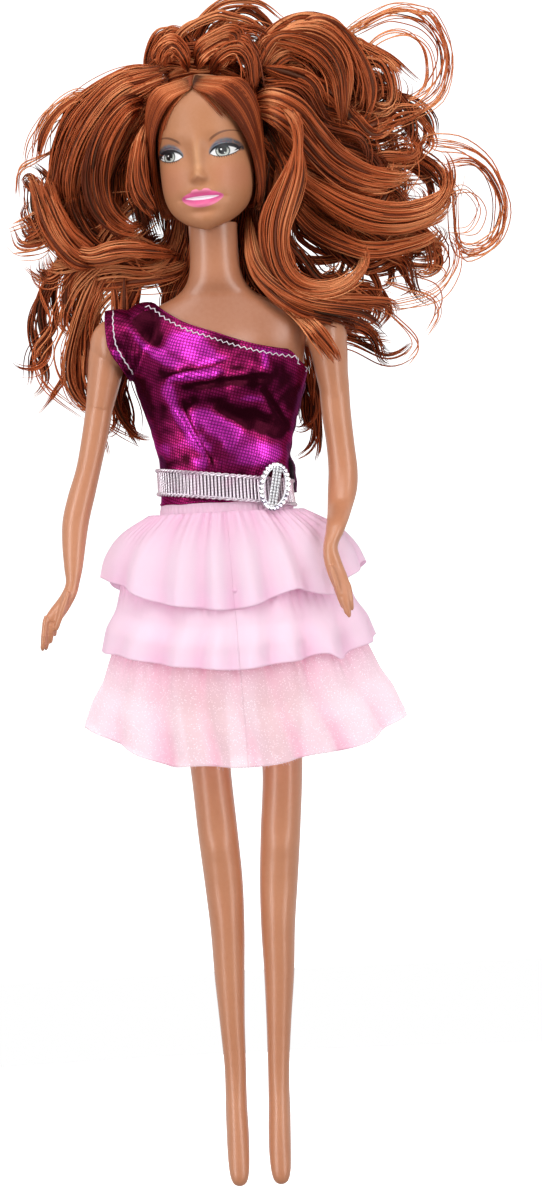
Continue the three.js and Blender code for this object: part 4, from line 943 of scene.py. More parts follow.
def glitter_organza():
    """Sheer organza: an open weave that lets what lies behind show, with small bright flecks."""
    paint = Paint("sheer_organza")
    uv, warp, weft = woven(paint, 17.0)
    flecks = paint.node("ShaderNodeTexVoronoi", {"feature": "F1"}, {"Vector": uv, "Scale": 1.7})
    spark = 1.0 - flecks.rise(0.16, 0.3)
    # Painted shade: the depth value, with a broad mottle, turns the organza towards its deeper pink; the
    # depth also thickens its cover.
    deep = paint.value("depth")
    painted_shade_and_mottle = (deep + paint.spots(30.0).rise(0.45, 0.8) * 0.3).clipped()
    base = paint.mix(painted_shade_and_mottle, colours().organza, colours().organza_shade)
    return paint.finish(
        (1.0, 0.88, 0.94), 0.35,
        Base_Color=paint.mix(spark, base, (1.0, 0.97, 1.0)),
        Roughness=0.45 - spark * 0.3,
        Alpha=(0.26 + (warp + weft) * 0.08 + deep * 0.45 + spark * 0.5).clipped(),
        Normal=paint.bump(warp + weft, 0.00003, 0.4),
        Sheen_Weight=0.3, Sheen_Tint=(1.0, 0.85, 0.95, 1.0),
    )


def pale_floor():
    paint = Paint("pale_floor")
    return paint.finish(
        Base_Color=paint.mix(paint.spots(3.0, 1.0), (0.93, 0.93, 0.93), (0.96, 0.96, 0.96)),
        Roughness=0.9, Specular_IOR_Level=0.0, Emission_Color=(1.0, 1.0, 1.0, 1.0), Emission_Strength=1.0,
    )


def length_property(name, text, value):
    return FloatProperty(name=name, description=text, default=value, min=0, unit="LENGTH")


def angle_property(name, text, degrees):
    return FloatProperty(name=name, description=text, default=math.radians(degrees), unit="ROTATION")


def level_property(name, text, value):
    return FloatProperty(name=name, description=text, default=value, min=0)


def count_property(name, text, value):
    return IntProperty(name=name, description=text, default=value, min=1)


def colour_property(name, text, value):
    return FloatVectorProperty(name=name, description=text, default=value, subtype="COLOR", min=0, max=1)


class DollSizes(bpy.types.PropertyGroup):
    camera_distance: length_property("Camera distance", "From the camera to the doll", 1.2)
    frame_height: length_property("Frame height", "Height that the picture takes in at the doll", 0.3132)
    frame_lean: angle_property("Frame lean", "How far the doll leans in the picture", 2.79)
    key_power: level_property("Key light", "Power of each tall soft light, in watts", 3.9)
    fill_light: level_property("Fill light", "Strength of the even light all round", 0.46)
    dot_pitch: length_property("Foil dot pitch", "Distance between the foil dots of the top", 0.00079)
    dot_slant: angle_property("Foil dot slant", "How far the rows of dots drop towards the doll's left", 16)
    stitch_length: length_property("Stitch length", "Length of one zigzag stitch", 0.0016)
    thread_width: length_property("Thread width", "Thickness of the white thread", 0.00032)
    rib_pitch: length_property("Rib pitch", "Distance between the belt's ribs", 0.00092)
    stone_count: count_property("Stones", "Stones round the buckle", 27)
    fibre_width: length_property("Fibre width", "Width of one modelled strand of hair", 0.00036)
    clump_area: level_property("Clump area", "Square millimetres of a lock for each clump", 4.4)
    clump_strands: count_property("Clump strands", "Strands round a clump of usual size", 19)
    veil_strands: count_property("Sheet strands", "Strands in a clump of the sheets over the mass", 20)
    scalp_strands: count_property("Scalp strands", "Strands in each combed clump on the scalp", 30)
    flyaways: count_property("Flyaways", "Single fibres that stand off the hair", 90)
    cloth_thickness: length_property("Cloth thickness", "Thickness of the skirt's cloth", 0.00022)


class DollColours(bpy.types.PropertyGroup):
    # The torso's tan is set darker than the limbs', which partly paints the shade that the hair casts on the
    # chest.
    body: colour_property("Torso", "Tan of the torso", (0.43, 0.155, 0.067))
    body_shade: colour_property("Torso shade", "Its darker patches", (0.39, 0.14, 0.063))
    limb: colour_property("Limbs", "Tan of the arms and legs", (0.61, 0.25, 0.125))
    limb_shade: colour_property("Limb shade", "Their darker patches", (0.57, 0.22, 0.105))
    face: colour_property("Face", "Tan of the vinyl head", (0.54, 0.225, 0.1))
    face_shade: colour_property("Face shade", "Deeper tone of the head", (0.49, 0.195, 0.085))
    lips: colour_property("Lips", "Paint of the lips", (0.8, 0.11, 0.3))
    # The lightest copper shows where a strand's tone is high, its painted highlight included.
    hair_light: colour_property("Hair, light", "Copper of the lightest strands", (0.95, 0.36, 0.15))
    hair_middle: colour_property("Hair, middle", "Auburn of most strands", (0.53, 0.105, 0.03))
    hair_dark: colour_property("Hair, dark", "Brown of the darkest strands", (0.14, 0.021, 0.0065))
    # The foil runs from the knit through its shaded colour to its bright one by painted light.
    knit: colour_property("Knit", "Dark cloth between the foil dots", (0.035, 0.002, 0.008))
    foil_shaded: colour_property("Foil, dull", "Dots that lie away from the light", (0.36, 0.014, 0.125))
    foil: colour_property("Foil", "Fuchsia of the foil dots", (1.0, 0.06, 0.75))
    # The satin's and the organza's shade colours are their painted shade in folds and gathers.
    satin: colour_property("Satin", "Pale pink of the upper tiers", (1.0, 0.86, 0.95))
    satin_shade: colour_property("Satin shade", "Deeper pink in the folds", (0.98, 0.55, 0.77))
    organza: colour_property("Organza", "Pink of the sheer bottom tier", (1.0, 0.87, 0.93))
    organza_shade: colour_property("Organza shade", "Deeper pink of its gathers", (0.97, 0.55, 0.7))


# The camera's sensor, the point that the picture's middle shows, and the floor as a bowl: reach and
# rise, all in millimetres.
SENSOR = 36
PICTURE_MIDDLE = (10.41, 0, -29.25)
FLOOR_PROFILE = [(700, 0), (4000, 0), (4800, 150), (5400, 550), (5800, 1400), (6000, 3000), (6000, 6000)]
# Soft lights: azimuth from the camera's side, distance, rise, width, height and share of the power.
SOFT_LIGHTS = {
    "key_right": (44, 0.95, 0.1, 0.3, 1.0, 1.2),
    "key_left": (-42, 0.95, 0.12, 0.34, 1.0, 1.35),
    "top": (-8, 0.7, 0.95, 0.7, 0.7, 1.3),
}


class DOLL_OT_stage(bpy.types.Operator):
    """Sets up the camera, the pale floor and the soft lights"""

    bl_idname = "doll.stage"
    bl_label = "Stage"

    def execute(self, context):
        sizes = settings()
        data = bpy.data.cameras.new("camera")
        data.sensor_fit = "VERTICAL"
        data.sensor_height = data.sensor_width = SENSOR
        data.lens = SENSOR * sizes.camera_distance / sizes.frame_height
        data.clip_start, data.clip_end = 0.05, 20
        camera = add_object("camera", data)
        camera.location = Vector(PICTURE_MIDDLE) * MM - Vector((0, sizes.camera_distance, 0))
        camera.rotation_euler = (math.radians(90), sizes.frame_lean, 0)
        context.scene.camera = camera
        context.scene.view_settings.view_transform = "Standard"

        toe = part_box("leg_right")[0].z / MM - 0.4
        angle = full_turn(64)
        rings = [[(r * math.cos(a), r * math.sin(a), toe + rise) for a in angle] for r, rise in FLOOR_PROFILE]
        points = [p for ring in rings for p in ring] + [(0, 0, toe)]
        faces = grid_faces(len(rings), len(angle))
        faces += [(len(points) - 1, c, (c + 1) % len(angle)) for c in range(len(angle))]
        floor = add_body("floor", points, faces)
        floor.data.polygons.foreach_set("use_smooth", [True] * len(floor.data.polygons))
        floor.data.materials.append(pale_floor())
        floor.visible_diffuse = False
        floor.visible_glossy = False

        world = bpy.data.worlds.new("studio")
        world.use_nodes = True
        tree = world.node_tree
        background = tree.nodes["Background"]
        background.inputs["Strength"].default_value = sizes.fill_light
        direction = tree.nodes.new("ShaderNodeTexCoord")
        split = tree.nodes.new("ShaderNodeSeparateXYZ")
        shade = tree.nodes.new("ShaderNodeMapRange")
        for key, value in enumerate((-1.0, 0.6, 0.35, 1.6)):
            shade.inputs[key + 1].default_value = value
        tree.links.new(direction.outputs["Generated"], split.inputs[0])
        tree.links.new(split.outputs["Y"], shade.inputs[0])
        tree.links.new(shade.outputs[0], background.inputs["Color"])
        context.scene.world = world

        for name, light in SOFT_LIGHTS.items():
            self.soft_light(name, *light)
        return {"FINISHED"}

    def soft_light(self, name, azimuth, distance, rise, width, height, share):
        """An area light turned to the doll."""
        data = bpy.data.lights.new(name, "AREA")
        data.shape = "RECTANGLE"
        data.size, data.size_y = width, height
        data.energy = settings().key_power * share
        light = add_object(name, data)
        a = math.radians(azimuth)
        light.location = (distance * math.sin(a), -distance * math.cos(a), rise)
        aim = Vector((0.0, 0.0, -0.02)) - light.location
        light.rotation_euler = aim.to_track_quat("-Z", "Y").to_euler()


class DOLL_OT_torso(bpy.types.Operator):
    """Builds the torso's two halves with their seam, hip rooms and neck"""

    bl_idname = "doll.torso"
    bl_label = "Torso"

    def execute(self, context):
        z = np.linspace(-CROTCH_DROP, NECK_TOP, 190)
        grid = torso_points(full_turn(120)[None], z[:, None], 0)
        grid[..., 0] = np.clip(grid[..., 0], -SHOULDER_FLAT, SHOULDER_FLAT)
        rooms = []
        for sign in (-1, 1):
            inner, outer = sign * HIP_WEB_WIDTH / 2, sign * HIP_WIDTH
            rooms.append(rod_across(inner, outer, HIP_DISC_RADIUS + RUNNING_GAP, 0, -HIP_AXIS_DROP, 48))
            low_x, high_x = sorted((inner * 1.001, outer))
            top = -HIP_AXIS_DROP + THIGH_DEPTH / 2 + RUNNING_GAP
            rooms.append(box_body((low_x, -HIP_DEPTH, -CROTCH_DROP - 2), (high_x, HIP_DEPTH, top)))
        whole = add_body("torso", *capped(grid))
        cut(whole, rooms)
        seam = 0.05 * MM
        material = body_plastic("tan_vinyl", colours().body, colours().body_shade)
        for sign, name in ((-1, "front"), (1, "back")):
            mesh = whole.data.copy()
            bm = bmesh.new()
            bm.from_mesh(mesh)
            made = bmesh.ops.bisect_plane(
                bm, geom=bm.verts[:] + bm.edges[:] + bm.faces[:], clear_outer=True,
                plane_co=(0, sign * seam, 0), plane_no=(0, -sign, 0),
            )
            rim = [e for e in made["geom_cut"] if isinstance(e, bmesh.types.BMEdge)]
            bmesh.ops.holes_fill(bm, edges=rim)
            bm.to_mesh(mesh)
            bm.free()
            half = add_object(f"torso_{name}_skin", mesh)
            # Marks the neck, where the torso gets its painted light.
            set_value(half, "neck", smooth_step(COLLAR_RISE - 2, COLLAR_RISE + 5, points_of(half)[:, 2]))
            dress(half, material, "torso", [f"torso_{name}"])
            crease(half, 50)
        bpy.data.objects.remove(whole)
        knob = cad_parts["neck_knob"]
        knob.data.materials.clear()
        knob.data.materials.append(knob_plastic())
        return {"FINISHED"}


def leg_body(sign):
    """A leg's bodies: the long form, its hip disc, and the stub and flange that hold it."""
    at = np.linspace(1, 0, 240)[:, None]
    outward, backward, half, deep, sway = (v[:, None] for v in along(LEG_SECTIONS, at[:, 0]))
    angle = full_turn(56)[None]
    thick = deep * THIGH_DEPTH + 0.1
    x, y = oval(angle + 0 * at, half * THIGH_WIDTH + 0.25, thick, thick, 2.2)
    # Knee and shin, as soft relief on the front.
    knee = bump(at, 0.435, 0.022) * 0.45 + bump(at, 0.475, 0.02) * 0.2
    shin = smooth_step(0.5, 0.56, at) * (1 - smooth_step(0.72, 0.8, at)) * 0.18
    y = y - (y < 0) * bump(x, 0, 3.2) * (knee + shin) + backward * THIGH_DEPTH
    x = x + sign * (HIP_SPACING / 2 + outward * THIGH_WIDTH) + sway * LEG_SWAY
    limb = np.stack([x, y, 0 * x - HIP_AXIS_DROP - at * LEG_LENGTH], -1)
    web = HIP_WEB_WIDTH / 2 + RUNNING_GAP
    limb[..., 0] = sign * np.maximum(sign * x, web * (1 - smooth_step(0.1, 0.22, at)))

    # The hip disc: a dome flattened where it runs against the web.
    reach = HIP_SPACING / 2 + THIGH_WIDTH / 2 - web * 0.5
    up = np.linspace(-math.pi / 2, math.pi / 2, 40)[:, None]
    side = sign * np.maximum(web * 0.5 + sign * reach * np.cos(up) * np.cos(angle), web)
    tall = HIP_DISC_RADIUS * 1.12
    deep, high = tall * np.cos(up) * np.sin(angle), tall * np.sin(up) + 0 * angle
    shrink = np.minimum(1, HIP_DISC_RADIUS / np.maximum(np.hypot(deep, high), 1e-6))
    dome = np.stack([side, deep * shrink, high * shrink - HIP_AXIS_DROP], -1)

    inside = sign * (HIP_WEB_WIDTH / 2 - HIP_WALL - RUNNING_GAP)
    stub, flange, thickness = LEG_STUB
    end = inside - sign * thickness
    return [
        capped(limb),
        capped(dome),
        rod_across(end, sign * (web + 2), stub, 0, -HIP_AXIS_DROP),
        rod_across(end, inside, flange, 0, -HIP_AXIS_DROP),
    ]


class DOLL_OT_legs(bpy.types.Operator):
    """Builds the two legs with knees, calves, ankles and pointed feet"""

    bl_idname = "doll.legs"
    bl_label = "Legs"

    def execute(self, context):
        material = body_plastic("tan_limb_vinyl", colours().limb, colours().limb_shade)
        for sign, name in ((-1, "right"), (1, "left")):
            made = fused(f"leg_{name}_skin", leg_body(sign), 0.42, 6)
            dress(made, material, f"leg_{name}", [f"leg_{name}"])
        return {"FINISHED"}


# Fingers as thumb, index, middle, ring and little: where each starts across and down the palm,
# then its reach outwards, backwards and down, all as shares of the hand's length, and its width.
FINGERS = {
    -1: [
        ((-0.5, -0.03, -0.36), (0.2, -0.03, 0.53), 0.9),
        ((0.2, -0.05, 0.0), (0.075, 0.0, 0.48), 0.84),
        ((0.12, -0.01, 0.02), (0.06, 0.03, 0.45), 0.84),
        ((0.0, -0.02, 0.02), (0.04, 0.04, 0.34), 0.78),
        ((-0.1, -0.01, 0.0), (0.02, 0.07, 0.25), 0.76),
    ],
    1: [
        ((-0.3, -0.04, -0.27), (0.12, -0.05, 0.45), 0.84),
        ((-0.2, -0.03, 0.0), (0.1, -0.03, 0.34), 0.76),
        ((-0.06, -0.05, 0.02), (0.08, -0.06, 0.42), 0.82),
        ((0.08, -0.05, 0.02), (0.045, -0.07, 0.47), 0.82),
        ((0.21, -0.02, 0.0), (0.03, -0.05, 0.38), 0.74),
    ],
}


def skirt_reach(z):
    """How far the skirt reaches sideways and forwards near a height."""
    wide = deep = 0.0
    fold = FOLD_DEPTH + TIER_THICKNESS / 2
    for tier, rows in TIERS.items():
        for i in range(11):
            at = rows[0][0] + (rows[-1][0] - rows[0][0]) * i / 10
            side = skirt_points(tier, at, 0.0, fold)
            front = skirt_points(tier, at, -math.pi / 2, fold)
            if abs(side[2] - z) < SKIRT_LENGTH / 20:
                wide = max(wide, side[0] + FOLD_DEPTH)
            if abs(front[2] - z) < SKIRT_LENGTH / 20:
                deep = max(deep, -front[1] + FOLD_DEPTH)
    return wide, deep


def arm_body(sign):
    """An arm's bodies: ball, long form, palm, fingers, and the stub and flange that hold it."""
    base = SHOULDER_FLAT + RUNNING_GAP
    rows = ARM_SECTIONS[sign]
    at = np.linspace(rows[-1][0], 0, 150)
    outward, backward, half, deep = along(rows, at)
    y = backward * UPPER_ARM
    if sign > 0:
        # The left arm hangs in front of the skirt.
        coarse = np.linspace(rows[-1][0], 0, 16)
        held = []
        for share, row in zip(coarse, along(rows, coarse).T):
            inner = base + (row[0] - row[2]) * UPPER_ARM
            wide, front = skirt_reach(SHOULDER_AXIS - share * ARM_LENGTH)
            place = row[1] * UPPER_ARM
            if inner < wide:
                skirt = -front * math.sqrt(1 - (inner / wide) ** 2)
                place = min(place, skirt - row[3] * UPPER_ARM - SEAT_GAP)
            held.append(place)
        y = np.minimum(y, np.interp(at, coarse[::-1], held[::-1]))
        y = np.convolve(np.pad(y, 4, mode="edge"), np.ones(9) / 9, "valid")
    path = np.stack([sign * (base + outward * UPPER_ARM), y, SHOULDER_AXIS - at * ARM_LENGTH], -1)
    thick = (deep * UPPER_ARM)[:, None]
    dx, dy = oval(full_turn(36)[None] + 0 * thick, (half * UPPER_ARM)[:, None], thick, thick, 2.1)
    parts = [capped(path[:, None] + np.stack([dx, dy, 0 * dx], -1))]

    middle = sign * (base + BALL[0] / 2)
    parts.append(ball((middle, 0, SHOULDER_AXIS), np.array(BALL) / 2, 24, 32))
    upper = np.array([middle, 0, SHOULDER_AXIS + 1.5])
    lower = np.array([np.interp(0.2, at[::-1], path[::-1, k]) for k in range(3)])
    lean = np.linspace(0, 1, 20)
    taper = np.interp(lean, [0, 0.3, 1], [5.0, 4.9, 3.6])
    parts.append(tube(upper + (lower - upper) * lean[:, None], 1.0, 32, 1.08, taper))
    inside = sign * (SHOULDER_FLAT - SHOULDER_WALL - RUNNING_GAP)
    stub, flange, thickness = ARM_STUB
    end = inside - sign * thickness
    parts.append(rod_across(end, middle, stub, 0, SHOULDER_AXIS, 24))
    parts.append(rod_across(end, inside, flange, 0, SHOULDER_AXIS, 24))

    outwards = np.array([sign, 1, -1]) * HAND_LENGTH
    for start, reach, width in FINGERS[sign]:
        begin = path[0] + outwards * start * (0.5, 1, 1)
        t = np.linspace(-0.2, 1, 15)
        finger = begin + outwards * reach * t[:, None]
        finger[:, 1] -= 0.45 * np.sin(np.clip(t, 0, 1) * math.pi)
        taper = np.interp(t, [-0.2, 0, 0.45, 0.5, 0.55, 0.9, 1], [0.6, 1, 0.93, 1.0, 0.9, 0.78, 0.35])
        parts.append(tube(finger, width, 12, 0.95, taper))
    return parts


class DOLL_OT_arms(bpy.types.Operator):
    """Builds the two arms with shoulder balls, hands and fingers"""

    bl_idname = "doll.arms"
    bl_label = "Arms"

    def execute(self, context):
        material = bpy.data.materials["tan_limb_vinyl"]
        for sign, name in ((-1, "right"), (1, "left")):
            made = fused(f"arm_{name}_skin", arm_body(sign), 0.26, 4)
            dress(made, material, f"arm_{name}", [f"arm_{name}"])
        return {"FINISHED"}


# Relief of the face: middle across and up, reach across and up, and push forwards, in millimetres.
# Rows that lie off the middle are mirrored.
FACE_RELIEF = [
    (0, 13.8, 1.35, 1.75, 2.35),
    (0, 18.4, 1.35, 3.6, 1.25),
    (0, 22.0, 1.4, 2.6, 0.5),
    (1.45, 13.0, 0.75, 0.85, 0.95),
    (0, 11.3, 0.6, 0.7, 0.2),
    (0, 9.85, 2.6, 0.75, 0.8),
    (1.5, 9.7, 1.2, 0.7, 0.25),
    (0, 6.1, 2.7, 1.0, 0.95),
    (0, 7.9, 4.6, 0.28, -0.5),
    (0, 4.3, 2.6, 0.75, -0.35),
    (0, 2.6, 3.2, 1.9, 0.55),
    (5.7, 8.0, 0.9, 1.2, -0.35),
    (7.1, 20.2, 3.6, 2.5, -1.15),
    (7.1, 20.0, 2.3, 1.55, 0.85),
    (7.0, 22.05, 3.0, 0.35, -0.2),
    (6.8, 25.0, 4.2, 1.6, 0.4),
    (8.2, 15.0, 3.4, 3.6, 0.5),
    (3.2, 19.8, 1.3, 3.0, -0.55),
]


def face_relief(x, z):
    push = np.zeros_like(x)
    for across, up, wide, tall, reach in FACE_RELIEF:
        for sign in ((1,) if across == 0 else (-1, 1)):
            push += reach * np.exp(-(((x - sign * across) / wide) ** 2) - (((z - up) / tall) ** 2))
    return push


class DOLL_OT_head(bpy.types.Operator):
    """Builds the vinyl head with its face and neck recess"""

    bl_idname = "doll.head"
    bl_label = "Head"

    def execute(self, context):
        rows, columns = 230, 260
        at = 0.5 - 0.5 * np.cos(np.linspace(0, 1, rows) * math.pi)
        turn = full_turn(columns)
        angle = turn + 0.5 * np.cos(turn)
        upright = head_points(angle[None], at[:, None], 0)
        x = upright[..., 0]
        rise = upright[..., 2] - CHIN_RISE
        half, front, back = along(HEAD_SECTIONS, at)
        middle = ((back - front) / 2 * HEAD_DEPTH)[:, None]
        deep = ((back + front) / 2 * HEAD_DEPTH)[:, None]
        facing = np.clip(-(upright[..., 1] - middle) / (deep * 0.6), 0, 1)
        upright[..., 1] -= face_relief(x, rise) * facing
        made = add_body("head_skin", *capped(with_head(upright)))
        place = np.stack([x.ravel(), rise.ravel()], -1)
        set_uv(made, np.vstack([place, place[0], place[-1]]), "face")
        set_value(made, "facing", np.append(facing.ravel(), [1, 0]))
        cut(made, [tube([(0, 0, 60), (0, 0, 65), (0, 0, NECK_TOP + 0.8)], 7, 48)])
        dress(made, head_vinyl(), "head", ["head"])
        crease(made, 60)
        return {"FINISHED"}


# Thickness of the top's cloth.
BODICE_CLOTH = 0.32
# Round bodies under the cloth at the right shoulder: middle and radii.
SHOULDER_FILL = ((-26.2, 0.1, 38.9), (10.4, 8.2, 9.3))
STRAP_FILL = ((-18.5, 0.2, 41.5), (7.0, 7.4, 8.3))
# Heights of the neckline across the top, and how far across the cloth reaches over the right shoulder at
# heights.
NECKLINE = [[-23, 50.6], [-17.5, 50], [-13, 46.6], [-8, 43.5], [0, 40.5], [10, 36.9], [20, 35.3], [24, 35.0]]
SLEEVE_EDGE = [
    [10, -40], [24, -33], [26.5, -22.6], [29, -23.3], [33, -25.7], [36, -27.6], [39, -28.8], [46, -29.2],
    [52, -28.3],
]


def neckline(x):
    """Height of the top's slanted edge."""
    return along(NECKLINE, x)[0]


def sleeve_edge(z):
    """How far across the cloth reaches over the right shoulder."""
    return along(SLEEVE_EDGE, z)[0]


# Drawn places of the top: a line across and up, its reach, and its painted light: how bright a highlight is
# painted on its foil, or how dark the painted shade where it falls into a fold, all in millimetres and
# shares.
TOP_FOLDS = [
    ([(-24, 43.5), (-19, 38.5), (-13, 33.5), (-9.5, 31.8)], 1.3, 0.65),
    ([(-14, 41), (-8, 37.6), (-1, 34.8)], 2.6, 0.7),
    ([(-11, 36), (-4, 33.6), (3, 33)], 1.7, 0.4),
    ([(-13.9, 28.7), (-11.9, 21.3), (-7.4, 14.4), (-3.4, 8)], 1.4, 0.85),
    ([(-8, 21.4), (-0.3, 15.8), (4, 12.8)], 2.6, 0.7),
    ([(0, 12), (6, 9.3), (12, 8.6), (16.5, 9.4)], 2.7, 0.7),
    ([(-9, 8), (-4, 6.2)], 1.6, 0.6),
    ([(12, 35.6), (11.7, 29.2)], 1.2, 0.55),
    ([(5, 37.2), (13, 35), (20, 33.8)], 0.7, 0.3),
    ([(-13, 29.2), (-8, 29.9), (-2, 30.4)], 0.6, 0.4),
    ([(2, 22.6), (8, 23.4), (12, 22.6)], 0.8, 0.3),
    ([(-27.5, 37.5), (-25, 35)], 0.8, 0.5),
    ([(-15.5, 13), (-13.5, 8)], 1.4, 0.3),
    ([(-20.5, 46.5), (-17.8, 41), (-15.5, 36.5)], 2.3, -0.7),
    ([(-11.5, 26.9), (-4, 27.2), (5, 27.8), (13, 28)], 1.1, -0.75),
    ([(-16, 31.5), (-13.7, 30), (-7, 31), (-1, 32.3), (4, 33)], 0.6, -0.5),
    ([(-13.9, 28.6), (-11, 29.4), (-4, 29.4), (2, 30.4)], 0.7, 0.5),
    ([(-2, 21.9), (4, 18.5), (7.8, 15.6)], 1.4, -0.7),
    ([(5, 19), (11, 16.5), (16.5, 14)], 2.4, -0.7),
    ([(10.5, 26), (14, 20), (17.5, 14)], 0.9, -0.8),
    ([(-9.9, 22.2), (-7, 15), (-2, 5.4)], 0.55, -0.6),
    ([(-25, 33), (-21, 27), (-18, 19)], 1.8, -0.4),
    ([(17.6, 12), (18.2, 4)], 1.2, -0.5),
    ([(0, 31.8), (8, 30.6)], 1.0, -0.25),
    ([(-16.5, 10), (-15.5, 5)], 1.0, -0.35),
    ([(16, 33), (19, 24), (18, 16)], 2.2, -0.2),
]


def line_distance(x, z, line):
    """Distance of points from a bent line, and how near its ends they lie, from 0 to 1."""
    best = np.full(x.shape, 1e9)
    share = np.zeros(x.shape)
    count = len(line) - 1
    for i in range(count):
        a, b = np.array(line[i], float), np.array(line[i + 1], float)
        d = b - a
        t = np.clip(((x - a[0]) * d[0] + (z - a[1]) * d[1]) / (d @ d), 0, 1)
        away = np.hypot(x - a[0] - t * d[0], z - a[1] - t * d[1])
        nearer = away < best
        best = np.where(nearer, away, best)
        share = np.where(nearer, (i + t) / count, share)
    return best, np.sin(np.clip(share, 0, 1) * math.pi) ** 0.6


# Flat coordinates round the torso: half its girth, and where and how much its sides are drawn out.
HALF_GIRTH = 62
SIDE_START = 10
SIDE_SHARE = 0.75


def girth_place(points, normals=None):
    """Flat coordinates of points on the torso: the way round it from its front, and the height."""
    x, y, z = points.T
    side = np.sign(x)
    front = np.abs(x) + np.clip(y + SIDE_START, 0, None) * SIDE_SHARE
    back = HALF_GIRTH - np.abs(x) - np.clip(SIDE_START - y, 0, None) * SIDE_SHARE
    behind = y > 1.0 if normals is None else normals[:, 1] > 0.1
    return np.stack([side * np.where(behind, back, front), z], -1)


def folded_top():
    """The top's cloth as an open surface: over the torso and the right shoulder, trimmed and folded."""
    z = np.linspace(-BODICE_DROP - 4, COLLAR_RISE, 130)
    grid = torso_points(full_turn(110)[None], z[:, None], CLOTH_GAP + 0.35)
    grid[..., 0] = np.clip(grid[..., 0], -SHOULDER_FLAT - 1, SHOULDER_FLAT + 0.9)
    fills = [ball(*SHOULDER_FILL, 40, 60), ball(*STRAP_FILL, 30, 40)]
    made = fused("bodice_cloth", [capped(grid), *fills], 0.5, 8)
    points = points_of(made)
    faces = [tuple(p.vertices) for p in made.data.polygons]
    bpy.data.objects.remove(made)

    def outside_armhole(p):
        near = np.maximum(0, ARMHOLE_RADIUS - np.hypot(p[:, 1], p[:, 2] - SHOULDER_AXIS))
        return ARMHOLE_RADIUS - np.where(p[:, 0] > 15, near * 20, 0)

    for field in (
        lambda p: neckline(p[:, 0]) - p[:, 2] - np.where(p[:, 1] > 0, 0.6, 0),
        lambda p: p[:, 0] - sleeve_edge(p[:, 2]),
        lambda p: p[:, 2] + BODICE_DROP,
        outside_armhole,
    ):
        points, faces = trimmed(points, faces, field)
    return points, faces


# The foil's painted light where no fold is drawn.
FOIL_LEVEL = 0.36


def push_folds(made):
    """Draws the cloth into folds along its normals, and marks the painted highlight or shade of the foil
    there.
    """
    points = points_of(made)
    normals = np.array([v.normal[:] for v in made.data.vertices])
    x, y, z = points.T
    front = smooth_step(0.1, -0.35, normals[:, 1])
    shine = np.full(len(points), FOIL_LEVEL)
    for line, width, strength in TOP_FOLDS:
        away, ends = line_distance(x, z, line)
        shine += strength * np.exp(-((away / width) ** 2)) * ends * front
    waves = np.array([noise.noise(Vector((p[0] * 0.11, p[1] * 0.11, p[2] * 0.2))) for p in points])
    shine += waves * (0.35 - 0.1 * (1 - front))
    fine = np.array([noise.noise(Vector(p) * 0.5) for p in points])
    shine += fine * 0.12
    hold = smooth_step(-3, 3, z) * smooth_step(0.0, 2.5, neckline(x) - z)
    push = (shine - FOIL_LEVEL) * 0.85
    moved = points + normals * (push * hold)[:, None]
    made.data.vertices.foreach_set("co", (moved * MM).astype(np.float32).ravel())
    made.data.update()
    set_value(made, "shine", np.clip(shine, 0, 1))
    return normals


def on_cloth(tree, x, z, lift):
    """The point of the top's front at a place across and up, lifted off the cloth."""
    hit, normal, _, _ = tree.ray_cast(Vector((x, -60, z)) * MM, Vector((0, 1, 0)))
    if hit is None:
        hit, normal, _, _ = tree.find_nearest(Vector((x, -8, z)) * MM)
    if normal.y > 0:
        normal = -normal
    return np.array(hit) / MM + np.array(normal) * lift


def zigzag(line, pitch, swing):
    """Points of a zigzag along a line of places across and up."""
    line = np.asarray(line, float)
    length = way_along(line)
    count = max(3, int(length[-1] / pitch) * 2)
    at = np.linspace(0, length[-1], count + 1)
    path = np.stack([np.interp(at, length, line[:, k]) for k in range(2)], -1)
    tangent = unit(np.gradient(path, axis=0))
    side = np.stack([-tangent[:, 1], tangent[:, 0]], -1)
    return path + side * (swing * np.where(np.arange(len(path)) % 2, 1, -1))[:, None]


